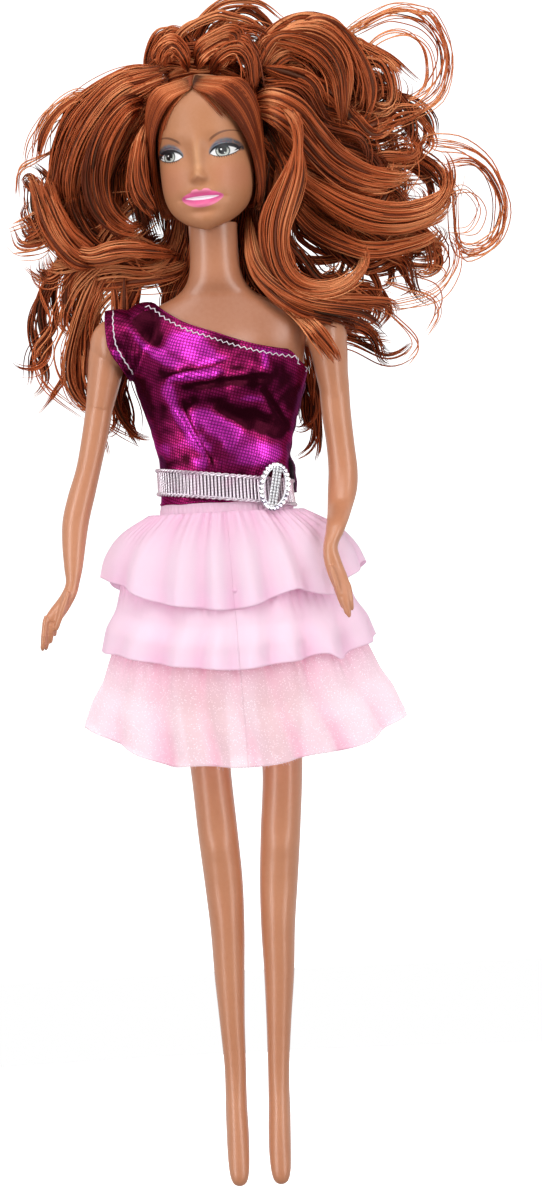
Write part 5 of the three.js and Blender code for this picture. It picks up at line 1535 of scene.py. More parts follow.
class DOLL_OT_top(bpy.types.Operator):
    """Builds the one-shoulder foil top with its folds, hems and stitches"""

    bl_idname = "doll.top"
    bl_label = "Top"

    def execute(self, context):
        sizes = settings()
        points, faces = folded_top()
        cloth = add_body("bodice_cloth", points, faces)
        normals = push_folds(cloth)
        points = points_of(cloth)
        area = sheet_area(points, faces)
        set_uv(cloth, girth_place(points, normals))
        tree = BVHTree.FromPolygons([Vector(p) * MM for p in points], faces)
        thicken(cloth, BODICE_CLOTH * MM)
        foil = foil_cloth()
        dress(cloth, foil, "", ["bodice_front", "bodice_back", "bodice_shoulder"])

        thread = []
        xs = np.linspace(-18.5, 21.8, 60)
        neck = np.stack([xs, neckline(xs) - 1.9], -1)
        zs = np.linspace(47.5, 31.5, 40)
        sleeve = np.stack([sleeve_edge(zs) + 2.2, zs], -1)
        side = np.stack([np.full(12, 22.2), np.linspace(33.6, 29.8, 12)], -1)
        for line, swing in ((neck, 0.32), (sleeve, 0.12), (side, 0.2)):
            path = [on_cloth(tree, x, z, 0.42) for x, z in zigzag(line, sizes.stitch_length / MM, swing)]
            thread.append(tube(path, sizes.thread_width / MM / 2, 6))
        stitches = add_body("bodice_stitches", *joined(thread))
        dress(stitches, white_thread(), "")

        hems = []
        for line in (np.stack([xs, neckline(xs) - 0.35], -1), np.stack([sleeve_edge(zs) + 0.35, zs], -1)):
            path = np.array([on_cloth(tree, x, z, 0.22) for x, z in line])
            hems.append(tube(path, 0.3, 8, 0.8))
        bottom = np.linspace(0, TURN, 140)
        hem_ring = torso_points(bottom, -BODICE_DROP, CLOTH_GAP + 0.55)
        hem_ring[:, 2] += 0.15 * np.sin(bottom * 9)
        hems.append(tube(hem_ring, 0.34, 8))
        edge = add_body("bodice_hems", *joined(hems))
        set_uv(edge, girth_place(points_of(edge)))
        set_value(edge, "shine", 0.45)
        # The hems get one level of painted light.
        dress(edge, foil, "")
        for piece in (cloth, stitches, edge):
            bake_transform(piece)
        return {"FINISHED"}


# The strip's ends, its reach from the doll's left side towards the back in degrees, and its thickness.
STRIP_TOP = 27.0
STRIP_END = -1.5
STRIP_TURN = (2, 38)
STRIP_THICKNESS = 0.5


class DOLL_OT_closure(bpy.types.Operator):
    """Builds the hook and loop strip down the left of the back"""

    bl_idname = "doll.closure"
    bl_label = "Closure strip"

    def execute(self, context):
        z = np.linspace(STRIP_TOP, STRIP_END, 40)
        angle = np.radians(np.linspace(*STRIP_TURN, 14))
        stand = 1.35 + 1.5 * smooth_step(9, 4, z)
        ripple = 0.15 * np.sin(z * 1.3)
        points = torso_points(angle[None], z[:, None], (stand + ripple)[:, None]).reshape(-1, 3)
        faces = grid_faces(len(z), len(angle), closed=False)
        area = sheet_area(points, faces)
        made = thicken(add_body("closure_strip", points, faces), STRIP_THICKNESS * MM)
        dress(made, hook_tape(), "torso", ["bodice_closure"])
        return {"FINISHED"}


def belt_place(angle, across, stand):
    """A point of the belt: angle round the waist, and how far above its middle line."""
    place = torso_points(angle, BELT_RISE, stand)
    for _ in range(3):
        z = BELT_RISE / math.cos(BELT_TILT) - place[..., 0] * math.tan(BELT_TILT) + across
        place = torso_points(angle, z, stand)
    return place


class DOLL_OT_belt(bpy.types.Operator):
    """Builds the ribbed silver belt with its braided edges"""

    bl_idname = "doll.belt"
    bl_label = "Belt"

    def execute(self, context):
        turn = np.linspace(0, TURN, 200)
        way = way_along(torso_points(turn, 0.0, 1.6))
        girth = way[-1]
        ribs = round(girth / (settings().rib_pitch / MM))
        share = np.arange(ribs * 10) / (ribs * 10)
        angle = np.interp(share * girth, way, turn)
        across = np.linspace(-BELT_WIDTH / 2 + 0.35, BELT_WIDTH / 2 - 0.35, 22)[:, None]
        swell = np.cos(share * ribs * math.pi)
        rib = np.abs(swell) ** 0.8
        stand = 1.45 + 0.5 * rib + 0.07 * np.sin(across * 9) * swell
        outer, inner = belt_place(angle, across, stand), belt_place(angle, across, 1.25 + 0 * stand)
        points, faces = hoop(outer, inner)
        band = add_body("belt_band_ribbed", points, faces)
        set_uv(band, np.stack([np.tile(share * girth, 2 * len(across)), points[:, 2]], -1))
        set_value(band, "rib", np.tile(rib, 2 * len(across)))
        braid = silver_braid()
        dress(band, braid, "torso", ["belt_band"])

        edges = []
        for side in (-1, 1):
            for ply in (0, 1):
                t = np.linspace(0, TURN, ribs * 12 + 1)
                swing = t / TURN * girth / 1.15 * math.pi + ply * math.pi
                across = side * (BELT_WIDTH / 2 - 0.25) + 0.26 * np.sin(swing)
                edges.append(tube(belt_place(t, across, 1.85 + 0.22 * np.cos(swing)), 0.27, 6))
        trim = add_body("belt_edge_braid", *joined(edges))
        set_uv(trim, points_of(trim)[:, [0, 2]])
        set_value(trim, "rib", 1)
        dress(trim, braid, "torso")
        return {"FINISHED"}


# The buckle's stones, their cups, its three bars, and how far its oval leans from upright.
STONE_RADIUS = 0.62
CUP_RADIUS = 0.66
BAR_RADIUS = 0.42
BUCKLE_LEAN = math.radians(-12)
# A set stone, from its cup to its table: size, lift and twist of each ring of its facets.
FACETS = [(1.08, -0.55, 0), (1.08, 0.05, 0), (0.98, 0.12, 0), (0.9, 0.3, 0.5), (0.52, 0.62, 0)]


def gem(middle, out, up, radius):
    """A faceted stone in its cup."""
    side = np.cross(up, out)
    rings = []
    for size, lift, twist in FACETS:
        angle = (full_turn(8) + twist * TURN / 8)[:, None]
        rings.append(middle + radius * (out * lift + size * (np.cos(angle) * side + np.sin(angle) * up)))
    return capped(np.array(rings))


class DOLL_OT_buckle(bpy.types.Operator):
    """Builds the oval buckle of set stones with its ribbed bar"""

    bl_idname = "doll.buckle"
    bl_label = "Buckle"

    def execute(self, context):
        low, high = (np.array(corner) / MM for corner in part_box("belt_buckle"))
        centre = (low + high) / 2
        turn = BUCKLE_TURN * 0.6
        out = np.array([math.sin(turn), -math.cos(turn), 0])
        across = np.array([math.cos(turn), math.sin(turn), 0])
        c, s = math.cos(BUCKLE_LEAN), math.sin(BUCKLE_LEAN)
        wide, tall = across * c + (0, 0, s), across * -s + (0, 0, c)

        def around(angle, inset):
            """Places on the buckle's oval, in from its edge."""
            angle = np.reshape(angle, (-1, 1))
            x, z = np.cos(angle) * (BUCKLE_WIDTH / 2 - inset), np.sin(angle) * (BUCKLE_HEIGHT / 2 - inset)
            return centre + wide * x + tall * z

        stones, cups = [], []
        for middle in around(full_turn(settings().stone_count), 0.5):
            stones.append(gem(middle + out * 0.25, out, tall, STONE_RADIUS))
            cups.append(ball(middle, (CUP_RADIUS,) * 3, 8, 12))
        cups.append(tube(around(np.linspace(0, TURN, 90), 1.15), 0.34, 8))
        t = np.linspace(-1, 1, 60)[:, None]
        for k in range(-1, 2):
            bar = centre + tall * t * (BUCKLE_HEIGHT / 2 - 1.2) + wide * (k * 0.85)
            cups.append(tube(bar + out * (0.25 + 0.1 * np.sin(t * 40)), BAR_RADIUS, 8))
        made = add_body("buckle_stones", *joined(stones))
        dress(made, cut_stone(), "torso", ["belt_buckle"], smooth=False)
        setting = add_body("buckle_setting", *joined(cups))
        dress(setting, stone_setting(), "torso")
        return {"FINISHED"}


# Folds that run down the skirt: degrees round it, reach in degrees and depth in millimetres.
SKIRT_FOLDS = [
    (-150, 8, -1.1), (-138, 6, 1.0), (-126, 6, -1.2), (-115, 5, 1.2), (-106, 4.5, -1.3), (-98, 4.5, 1.1),
    (-90, 4.5, -1.2), (-81, 5, 1.2), (-72, 4.5, -1.2), (-63, 4.5, 1.2), (-54, 5, -1.3), (-44, 6, 1.3),
    (-33, 6, -1.2), (-20, 7, 1.0), (-5, 7, -1.0), (12, 8, 1.1), (28, 7, -1.2), (44, 7, 1.2), (58, 6, -1.1),
    (70, 6, 1.2), (82, 6, -1.2), (94, 6, 1.1), (107, 7, -1.2), (121, 7, 1.2), (136, 7, -1.1), (151, 7, 1.1),
    (166, 7, -1.0), (180, 7, 0.9),
]
# Where the hem dips or lifts: degrees round it, reach in degrees and lift in millimetres.
HEM_DIPS = {
    "top": [(-92, 20, -0.9), (-62, 10, 2.3), (-40, 9, -1.2), (-140, 12, 0.8)],
    "middle": [(-80, 24, -0.6), (-52, 8, 1.6), (-42, 6, -1.4), (-130, 12, 0.6)],
    "bottom": [(-82, 16, -0.8), (-60, 10, 0.7), (-118, 7, -0.9), (-140, 9, 0.8), (-38, 8, 0.8)],
}
# How a tier's folds turn, at its top and at its hem in degrees, and their strength.
TIER_SHIFT = {"top": (0, 0, 1.3), "middle": (0, 3, 1.15), "bottom": (3, -3, 1.5)}
# How far a tier's hem lies in from its outline, and its upper part under the tier above.
TIER_INSET = {"top": (0.7, 0), "middle": (0.2, 1.5), "bottom": (0.7, 1.1)}
FLAT_SIZES = {"top": (0.235, 0.026), "middle": (0.25, 0.022), "bottom": (0.29, 0.031)}


def tier_wave(tier, at, angle):
    """How far the cloth stands in or out for its folds and gathers, in millimetres."""
    rows = TIERS[tier]
    down = (at - rows[0][0]) / (rows[-1][0] - rows[0][0])
    start, shift, strength = TIER_SHIFT[tier]
    free = smooth_step(0.35, 1.0, down)
    degrees = np.degrees(angle) + start + (shift - start) * free + 1.5 * np.sin(angle * 4)
    wave = 0
    for middle, reach, depth in SKIRT_FOLDS:
        away = (degrees - middle + 180) % 360 - 180
        wave = wave + depth * np.exp(-((away / reach) ** 2))
    held = 0.3 + 0.7 * down if tier == "top" else 0.35 + 0.65 * free
    wave = wave * strength * held * (1 - 0.45 * np.cos(angle) ** 4)
    wave = wave + 0.5 * np.sin(angle * 5 + shift) * down
    fine = 0.3 * np.sin(angle * 61 + np.sin(angle * 7) * 2) * (1 - smooth_step(0.0, 0.5, down))
    return wave + fine


def tier_hem(tier, down, angle):
    """How far the hem dips or lifts, in millimetres."""
    degrees = np.degrees((angle + math.pi) % TURN - math.pi)
    total = sum(lift * bump(degrees, middle, reach) for middle, reach, lift in HEM_DIPS[tier])
    total = total + 0.45 * np.sin(angle * 5 + 1) + 0.3 * np.sin(angle * 9)
    return total * down ** 2


class DOLL_OT_skirt(bpy.types.Operator):
    """Builds the waistband and the three gathered tiers with their frayed hem"""

    bl_idname = "doll.skirt"
    bl_label = "Skirt"

    def execute(self, context):
        satin = pink_satin()
        high = -BODICE_DROP - SEAT_GAP
        angle = full_turn(420)
        z = np.linspace(high - WAISTBAND_WIDTH, high, 20)[:, None]
        ruffle = 0.16 * np.sin(angle * 70) * (0.6 + 0.4 * np.sin(z * 2.2))
        points, faces = hoop(torso_points(angle, z, 1.0 + ruffle), torso_points(angle, z, 0.5))
        band = add_body("waistband_gathered", points, faces)
        set_uv(band, girth_place(points))
        # Painted shade: the gathered band is painted a deeper pink.
        set_value(band, "depth", 0.6)
        dress(band, satin, "torso", ["skirt_waistband"])

        organza = glitter_organza()
        rests = {"right": "waistband_gathered", "left": "waistband_gathered"}
        for tier in TIERS:
            material, slot = (organza, "glitter_organza") if tier == "bottom" else (satin, "pink_satin")
            self.tier(tier, material, slot, rests)
        return {"FINISHED"}

    def tier(self, tier, material, slot, rests):
        rows = TIERS[tier]
        count, columns = 46, 620
        down = np.linspace(0, 1, count)[:, None]
        at = rows[0][0] + (rows[-1][0] - rows[0][0]) * down
        angle = full_turn(columns)[None]
        wave = tier_wave(tier, at, angle)
        grid = skirt_points(tier, at, angle, wave)
        grid[..., 2] += tier_hem(tier, down, angle)
        hem, tuck = TIER_INSET[tier]
        tucked = smooth_step(0.0, 0.12, down) * (1 - smooth_step(0.45, 0.75, down))
        out = np.stack([np.cos(angle), np.sin(angle), 0 * angle], -1)
        grid -= out * (hem * down + tuck * tucked)[..., None]
        width, length = FLAT_SIZES[tier]
        gathered = 1 - smooth_step(0.0, 0.55, down)
        # Painted shade: deeper pink in the gathers at the top and in the hollows of the folds, and a little
        # towards the hem.
        deep = 0.75 * gathered + 0.45 * np.clip(-wave, 0, 2) + 0.15 * smooth_step(0.85, 1, down)
        for side, first in (("right", columns // 4), ("left", -columns // 4)):
            kept = np.arange(first, first + columns // 2 + 1) % columns
            half = grid[:, kept]
            points, faces = half.reshape(-1, 3), grid_faces(count, len(kept), closed=False)
            area = min(sheet_area(points, faces), width / 2 * length)
            made = add_body(f"skirt_tier_{tier}_{side}", points, faces)
            place = np.stack(np.broadcast_arrays(way_along(half[-1])[None], down * length / MM), -1)
            set_uv(made, place.reshape(-1, 2))
            set_value(made, "depth", np.clip(deep, 0, 1)[:, kept].ravel())
            thicken(made, settings().cloth_thickness, 0.0)
            dress(made, material, "", [f"skirt_tier_{tier}"])
            self.follow_leg(made, side)
            rests[side] = made.name
            if tier == "bottom":
                self.frayed_hem(half[-1], half[-2], material, slot, side)

    def follow_leg(self, made, side):
        """Works the half's placing into its mesh."""
        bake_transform(made)

    def frayed_hem(self, hem, above, material, slot, side):
        """Loose threads along the raw bottom edge."""
        draw = random.Random(5 if side == "right" else 6)
        threads = []
        for i in range(0, len(hem), 2):
            if draw.random() < 0.45:
                continue
            run = hem[i] - above[i]
            run /= np.linalg.norm(run)
            reach = draw.uniform(0.3, 1.0)
            bend = np.array([draw.uniform(-1, 1), draw.uniform(-1, 1), draw.uniform(-0.4, 0.4)]) * 0.5
            t = np.linspace(-0.2, 1, 5)[:, None]
            threads.append(tube(hem[i] + run * reach * t + bend * reach * t * t, 0.05, 3))
        made = add_body(f"skirt_hem_threads_{side}", *joined(threads))
        set_uv(made, points_of(made)[:, [0, 2]])
        # A little painted shade on the threads.
        set_value(made, "depth", 0.3)
        dress(made, material, "")
        self.follow_leg(made, side)


# Routes of the locks: across, backward and up from the parting's height, then half width and half depth
# there, in hundredths of the fibres' length.
HAIR_ROUTES = {
    "hair_side_right": [
        [(-10, 2, 9.5, 3.5, 3.3), (-23, 5, 5.5, 7.1, 5), (-33, 7, -5, 8.9, 6), (-36, 9, -20, 7.1, 5.5),
         (-33.5, 10, -33, 4.7, 4.4)],
        [(-15, 5, 3, 4.7, 3.8), (-22.5, 7, -7, 6.5, 5), (-27, 9, -20, 5.9, 5), (-24, 10, -34, 5.9, 4.4)],
    ],
    "hair_tips_right": [
        [(-40, 10, -13, 3, 2.5), (-44, 10, -22, 4.5, 3), (-47, 11, -29, 2.5, 2), (-53, 12, -30, 0.6, 0.6)],
        [(-40, 10, -36, 3, 2), (-43, 10, -26, 3.5, 3), (-46.5, 10, -17, 2.5, 2),
         (-50, 11, -13.5, 0.6, 0.6)],
    ],
    "hair_nape_right": [
        [(-38, 12, -40, 5.6, 2.8), (-26, 11.5, -38, 7.5, 3.8), (-15, 10, -38, 6.9, 3.3),
         (-8.5, 9, -35, 3.7, 2.2)],
    ],
    "hair_arm_right": [
        [(-31, 12, -42, 3.6, 2.8), (-33.5, 12, -50, 3.6, 2.8), (-36, 12, -60, 3.4, 2.4),
         (-37, 11.5, -70, 2.4, 2), (-34.5, 11, -80, 1.2, 1.1)],
    ],
    "hair_strand_right": [
        [(-40, 11.5, -34, 2.2, 1.8), (-45, 12.5, -50, 2.2, 1.4), (-46, 12.5, -64, 1.6, 1.2),
         (-40, 12, -76, 1, 1)],
    ],
    "hair_crown_rolls": [
        [(-15, 7, 11, 2.4, 2.2), (-10, 7, 15, 3.4, 2.8), (-2, 7, 13.5, 3.6, 3.3), (5, 7, 16.5, 4.2, 3.3),
         (12, 8, 16, 4.2, 3.3), (17, 8, 10, 3.6, 3.3)],
    ],
    "hair_roll_top": [
        [(14, 6, 8, 4.5, 4.4), (20, 8, 15.5, 6.2, 5), (29, 10, 17, 7.3, 5), (37, 10, 11, 7.3, 5),
         (40, 11, 1, 6.7, 4.4), (42, 12, -7, 4.5, 3.3)],
    ],
    "hair_curl_inner": [
        [(15, 7, 5, 3, 3), (21.5, 10, 10, 4, 3), (30, 11.5, 6, 4.5, 3), (35, 12, -3, 4, 3)],
    ],
    "hair_sweep_upper": [
        [(13, 4, 6, 5.6, 3.8), (21, 6, 4, 7.5, 5), (28, 8, -3, 8.1, 5), (38, 9, -10, 7.5, 4.4),
         (50, 10, -13, 6.2, 3.8), (62, 10, -13, 4.4, 2.8)],
    ],
    "hair_sweep_middle": [
        [(15.5, 4, -4, 5.6, 4.4), (23, 6, -13, 7.5, 5), (34, 9, -21.5, 7.5, 4.4),
         (48, 10, -24.5, 6.9, 3.8), (61, 10, -26, 5.6, 3.1)],
    ],
    "hair_sweep_lower": [
        [(19, 8, -20, 4.4, 3.8), (30, 10, -32, 5.6, 3.8), (42, 11, -37, 5.6, 3.3),
         (54, 11, -37.5, 4.4, 2.8), (62.5, 11, -34, 2.5, 2.2)],
    ],
    "hair_lock_shoulder": [
        [(17, 3, -13, 4.5, 3.3), (16, 4.5, -25, 4.7, 3.3), (17, 7, -38, 4.3, 3.1),
         (24, 10.5, -47, 3.8, 2.8), (36, 12, -49, 3.8, 2.4), (46, 12, -47, 2.5, 1.8)],
    ],
    "hair_lock_low": [
        [(10, 10, -36, 3.1, 2.3), (14.5, 11, -47, 3.5, 2.5), (23.5, 12.5, -56, 3.7, 2.5),
         (35, 13, -58.5, 3.7, 2.5), (45, 13, -57, 4.4, 2.3), (48, 13, -55, 1.9, 1.4)],
    ],
    "hair_back": [
        [(0, 13, 7, 6, 2), (0, 16, 0, 10, 2.4), (0, 16.6, -10, 12, 2.6), (0, 15.8, -20, 12.5, 2.8),
         (0, 15, -30, 12, 2.5)],
        [(0, 16.5, -10, 9, 3), (0, 15.5, -25, 12, 3.5), (0, 14, -40, 14, 3), (-2, 13, -55, 13, 2),
         (-4, 12.5, -68, 9, 1.5)],
    ],
    "hair_tail_right": [
        [(-20, 13, -40, 3, 2), (-24, 13, -52, 3, 2), (-27, 12, -66, 3.5, 1.8), (-28, 11.5, -80, 3, 1.4),
         (-30, 11, -88, 1, 0.8)],
    ],
    "hair_tail_left": [
        [(14, 14, -48, 2.6, 1.8), (18.5, 14, -60, 2.2, 1.6), (21.5, 12.5, -72, 1.8, 1.2),
         (22.5, 12, -82, 1.4, 1), (21.5, 12, -88, 0.6, 0.6)],
    ],
    "hair_loop_top": [
        [(35, 11, 18, 2, 1.2), (42, 11, 20.5, 2, 1.2), (50, 11, 23.5, 2, 1.2), (58, 11, 21, 1.8, 1.2),
         (62.5, 11, 12, 1.4, 1), (59, 11, 2, 1.8, 1.2), (47, 11, -3.5, 2, 1.2), (42, 11, -3, 2, 1.2)],
    ],
    "hair_loop_side": [
        [(60, 11, -17, 1, 0.8), (70, 11, -17, 1, 0.8), (75.5, 11, -27, 1.2, 0.8), (73, 11, -37, 1.4, 0.8),
         (65, 11, -39, 1.4, 0.8), (62, 11, -31, 1, 0.8)],
    ],
}

# How each lock is combed: its share of clumps, how far the clumps lie from its middle, how far they
# part towards the tips, how much they wave in millimetres, and how far their tips curl, in turns.
COMBING = {
    "hair_side_right": (1.3, 0.8, 0.1, 0.8, 0.15),
    "hair_tips_right": (1.3, 1.1, 0.6, 2.0, 0.45),
    "hair_nape_right": (1.2, 1.1, 0.2, 1.0, 0.1),
    "hair_arm_right": (1.2, 1.1, 0.1, 1.4, 0.3),
    "hair_strand_right": (1.0, 1.5, 0.5, 2.5, 0.5),
    "hair_crown_rolls": (1.8, 1.2, 0.1, 1.2, 0.12),
    "hair_roll_top": (1.4, 1.0, 0.15, 2.0, 0.4),
    "hair_curl_inner": (1.5, 1.2, 0.4, 2.2, 0.55),
    "hair_sweep_upper": (1.5, 1.1, 0.3, 2.4, 0.55),
    "hair_sweep_middle": (1.5, 1.15, 0.35, 2.6, 0.6),
    "hair_sweep_lower": (1.5, 1.25, 0.4, 2.6, 0.6),
    "hair_lock_shoulder": (1.3, 1.15, 0.35, 2.4, 0.5),
    "hair_lock_low": (1.2, 1.15, 0.3, 2.0, 0.5),
    "hair_back": (1.5, 1.15, 0.15, 2.0, 0.3),
    "hair_tail_right": (1.2, 1.3, 0.4, 2.0, 0.4),
    "hair_tail_left": (1.2, 1.3, 0.4, 2.0, 0.4),
    "hair_loop_top": (0.0, 1.2, 0.4, 0.8, 0.1),
    "hair_loop_side": (0.0, 1.2, 0.6, 0.8, 0.1),
}

# The photograph's scale, for routes of hair read off it: millimetres to a pixel, and the pixel of
# the waist's middle.
PIXEL = 0.261
PIXEL_MIDDLE = (225.7, 490.0)

# Sheets of hair that lie over the mass, neat clump beside clump between an outer and an inner
# route, both in pixels of the photograph; then the number of clumps, the way back along them in
# millimetres and their tone. The darkest sheets, of tone 0.2 and less, lie far back and fill gaps
# with painted shade.
VEILS = {
    "hair_fans_right": [
        ([(160, 74), (134, 70), (111, 79), (92, 97), (76, 119), (65, 142), (59, 165), (58, 186),
          (61, 205)],
         [(152, 88), (130, 93), (113, 106), (99, 126), (87, 149), (79, 172), (76, 193), (78, 212)],
         9, (3, 2, 3, 5, 7), 0.6),
        ([(151, 92), (130, 96), (112, 110), (99, 130), (90, 155), (87, 180), (92, 205), (105, 224),
          (126, 236), (150, 236)],
         [(147, 108), (131, 118), (119, 138), (110, 162), (107, 186), (113, 207), (127, 221), (146, 224)],
         10, (1, -1, -1, 1, 2, 1), 0.45),
        ([(142, 130), (134, 152), (130, 176), (134, 199), (145, 214), (158, 227)],
         [(147, 116), (145, 145), (145, 172), (150, 195), (160, 212)],
         6, (0, -2, -3, -2), 0.3),
        ([(100, 268), (74, 266), (58, 252), (45, 232), (36, 210), (29, 186), (22, 166)],
         [(104, 252), (88, 240), (72, 226), (60, 208), (52, 187), (44, 162)],
         10, (8, 6, 6, 7), 0.9),
        ([(97, 93), (70, 92), (47, 103), (32, 124), (25, 150), (23, 172)],
         [(95, 100), (80, 97), (62, 110), (48, 130), (42, 152), (40, 170)],
         1, (6, 7, 8), 0.9),
        ([(66, 246), (88, 252), (110, 247), (134, 247), (158, 253), (182, 262)],
         [(76, 262), (105, 260), (134, 254), (156, 252), (182, 250)],
         3, (7, 3, 2, 5), 0.4),
        ([(138, 92), (128, 130), (127, 172), (134, 214), (148, 256)],
         [(158, 94), (154, 130), (152, 170), (158, 212), (172, 256)],
         8, (6, 7, 8, 9), 0.1),
        ([(60, 190), (66, 215), (85, 240), (110, 256)],
         [(92, 180), (95, 205), (108, 228), (130, 244)],
         6, (8, 9, 9), 0.1),
    ],
    "hair_sweeps_upper": [
        ([(247, 97), (271, 90), (301, 102), (320, 126), (342, 150), (376, 167), (410, 170), (426, 160)],
         [(254, 114), (276, 126), (296, 145), (320, 170), (349, 189), (376, 194), (398, 188)],
         12, (-1, -3, -2, 1, 3, 4), 0.7),
        ([(254, 95), (264, 61), (288, 31), (320, 23), (344, 38), (354, 68), (350, 102), (344, 131)],
         [(250, 92), (255, 62), (264, 42), (288, 46), (313, 56), (330, 74), (338, 102), (342, 131)],
         12, (3, 3, 4, 4, 3), 0.65),
        ([(290, 26), (310, 13), (332, 14), (350, 30), (366, 53), (378, 80), (377, 104), (366, 126)],
         [(300, 34), (320, 30), (337, 46), (350, 70), (358, 95), (355, 120)],
         8, (7, 6, 6, 7), 0.45),
        ([(350, 32), (370, 42), (392, 55), (413, 70)],
         [(352, 36), (372, 48), (394, 62), (408, 76)],
         2, (7, 8, 8), 0.8),
    ],
    "hair_sweeps_lower": [
        ([(236, 80), (252, 110), (256, 150), (252, 190), (246, 230)],
         [(256, 84), (266, 110), (268, 150), (264, 190), (256, 230)],
         7, (6, 7, 8, 9), 0.15),
        ([(262, 98), (286, 104), (300, 124), (299, 148), (284, 178), (267, 206), (260, 233), (265, 262),
          (279, 286), (298, 299), (322, 301), (349, 291), (367, 271), (370, 252), (359, 236)],
         [(258, 104), (280, 111), (294, 130), (300, 155), (304, 178), (297, 204), (287, 228), (284, 254),
          (293, 276), (313, 287), (337, 285), (354, 275), (362, 262)],
         9, (0, -4, -5, -6, -8, -9, -9, -7, -4), 0.7),
        ([(280, 132), (300, 168), (342, 192), (371, 201), (400, 206), (429, 201), (448, 189), (453, 170),
          (446, 150), (429, 143)],
         [(276, 140), (296, 184), (345, 222), (385, 233), (419, 228), (446, 218), (452, 204)],
         10, (4, 2, 2, 4, 5, 6), 0.65),
        ([(276, 168), (312, 212), (351, 238), (376, 244), (405, 240), (431, 232), (449, 218)],
         [(272, 180), (306, 234), (351, 254), (376, 258), (405, 252), (430, 242), (444, 230)],
         6, (6, 5, 4, 5, 6), 0.5),
        ([(250, 190), (254, 240), (266, 266), (288, 284), (318, 296), (344, 298), (371, 298), (395, 300),
          (402, 313), (395, 327)],
         [(246, 196), (250, 262), (269, 294), (298, 314), (327, 322), (351, 330), (376, 334)],
         10, (6, -2, -6, -8, -8, -3, 2, 4), 0.55),
        ([(276, 290), (302, 314), (322, 334), (338, 356), (347, 374)],
         [(266, 288), (290, 310), (308, 330), (322, 352), (330, 368)],
         3, (1, -5, -9, -9, -8), 0.5),
    ],
    "hair_crown_curls": [
        ([(191, 68), (184, 48), (172, 36), (161, 42), (155, 56), (159, 70)],
         [(187, 72), (182, 60), (173, 54), (167, 60), (166, 72)],
         7, (2, 2, 3), 0.65),
        ([(192, 62), (199, 44), (214, 34), (230, 28), (240, 34), (238, 52), (226, 66)],
         [(196, 70), (205, 58), (216, 50), (226, 50), (226, 62), (216, 72)],
         7, (2, 2, 3), 0.6),
        ([(205, 66), (214, 48), (230, 36), (246, 36), (256, 50), (258, 76), (257, 97)],
         [(210, 76), (222, 62), (234, 58), (244, 66), (250, 84), (252, 100)],
         8, (2, 2, 1, 0), 0.5),
        ([(160, 74), (175, 62), (200, 56), (225, 58), (250, 72)],
         [(158, 84), (178, 76), (200, 72), (225, 76), (250, 88)],
         7, (7, 8, 8, 7), 0.35),
        ([(222, 52), (240, 60), (256, 76), (268, 96)],
         [(218, 66), (234, 76), (250, 92), (258, 110)],
         5, (9, 9, 9), 0.2),
    ],
}

# Wisps that fall from the parting over the forehead, in pixels of the photograph.
WISPS = [
    [(192, 88), (180, 101), (170, 117), (164, 134)],
    [(190, 90), (175, 107), (166, 126), (161, 148)],
    [(189, 94), (171, 116), (163, 138), (160, 160)],
    [(198, 89), (214, 103), (231, 121)],
    [(200, 90), (220, 106), (238, 127)],
    [(197, 92), (209, 105), (224, 122)],
]

# Curls that stand off the mass: places across and up, the number of clumps, their spread and how far
# behind the waist's middle they lie.
LOOSE_CURLS = [
    ([(-14, 106), (-13, 114), (-10, 119.5), (-5.5, 118.5), (-3.5, 112), (-6, 108)], 4, 1.6, 7),
    ([(-4, 110), (-1, 117), (5, 120.5), (11, 121.5), (17, 118), (19, 111)], 5, 2.0, 8),
    ([(12, 106), (18, 114), (26, 119), (33, 116), (34, 108), (29, 104)], 4, 2.0, 8),
    ([(20, 100), (30, 108), (40, 110), (47, 106), (48, 98), (42, 94)], 4, 2.2, 9),
    ([(16, 92), (26, 96), (36, 96), (46, 99), (54, 96), (57, 89), (52, 84)], 4, 2.2, 10),
    ([(15, 84), (24, 82), (33, 84), (43, 82), (52, 84), (59, 80), (60, 73), (55, 70)], 4, 2.4, 11),
    ([(16, 76), (24, 72), (33, 72), (42, 67), (52, 68), (58, 63), (57, 57), (51, 56)], 4, 2.4, 11),
    ([(18, 70), (25, 62), (33, 59), (40, 60), (46, 56), (47, 50), (42, 48)], 3, 2.0, 12),
    ([(15, 64), (20, 56), (28, 52), (36, 54), (42, 52), (43, 46), (38, 43)], 3, 1.8, 12),
    ([(-17, 104), (-25, 105), (-32, 100), (-36, 93), (-38, 85), (-36, 79)], 3, 1.2, 8),
    ([(-18, 98), (-28, 97), (-35, 88), (-38, 79), (-40, 73), (-44, 70)], 3, 1.4, 9),
    ([(-20, 88), (-29, 84), (-36, 76), (-41, 69), (-47, 68), (-50, 73)], 4, 2.0, 10),
    ([(-18, 78), (-26, 74), (-33, 68), (-39, 61), (-45, 60), (-47, 65)], 4, 2.2, 10),
    ([(-15, 70), (-22, 66), (-30, 62), (-37, 55), (-40, 47), (-37, 42)], 4, 2.2, 11),
    ([(-13, 66), (-18, 60), (-26, 57), (-33, 50), (-34, 40), (-31, 34)], 3, 1.8, 11),
    ([(-24, 58), (-25, 48), (-26, 36), (-27, 26), (-25, 16), (-21, 12)], 3, 1.6, 11),
    ([(17, 60), (22, 48), (25, 36), (25, 24), (24, 12), (21, 7)], 2, 1.4, 12),
    ([(-30, 60), (-36, 48), (-39, 36), (-38, 26), (-33, 20)], 3, 1.8, 11),
]

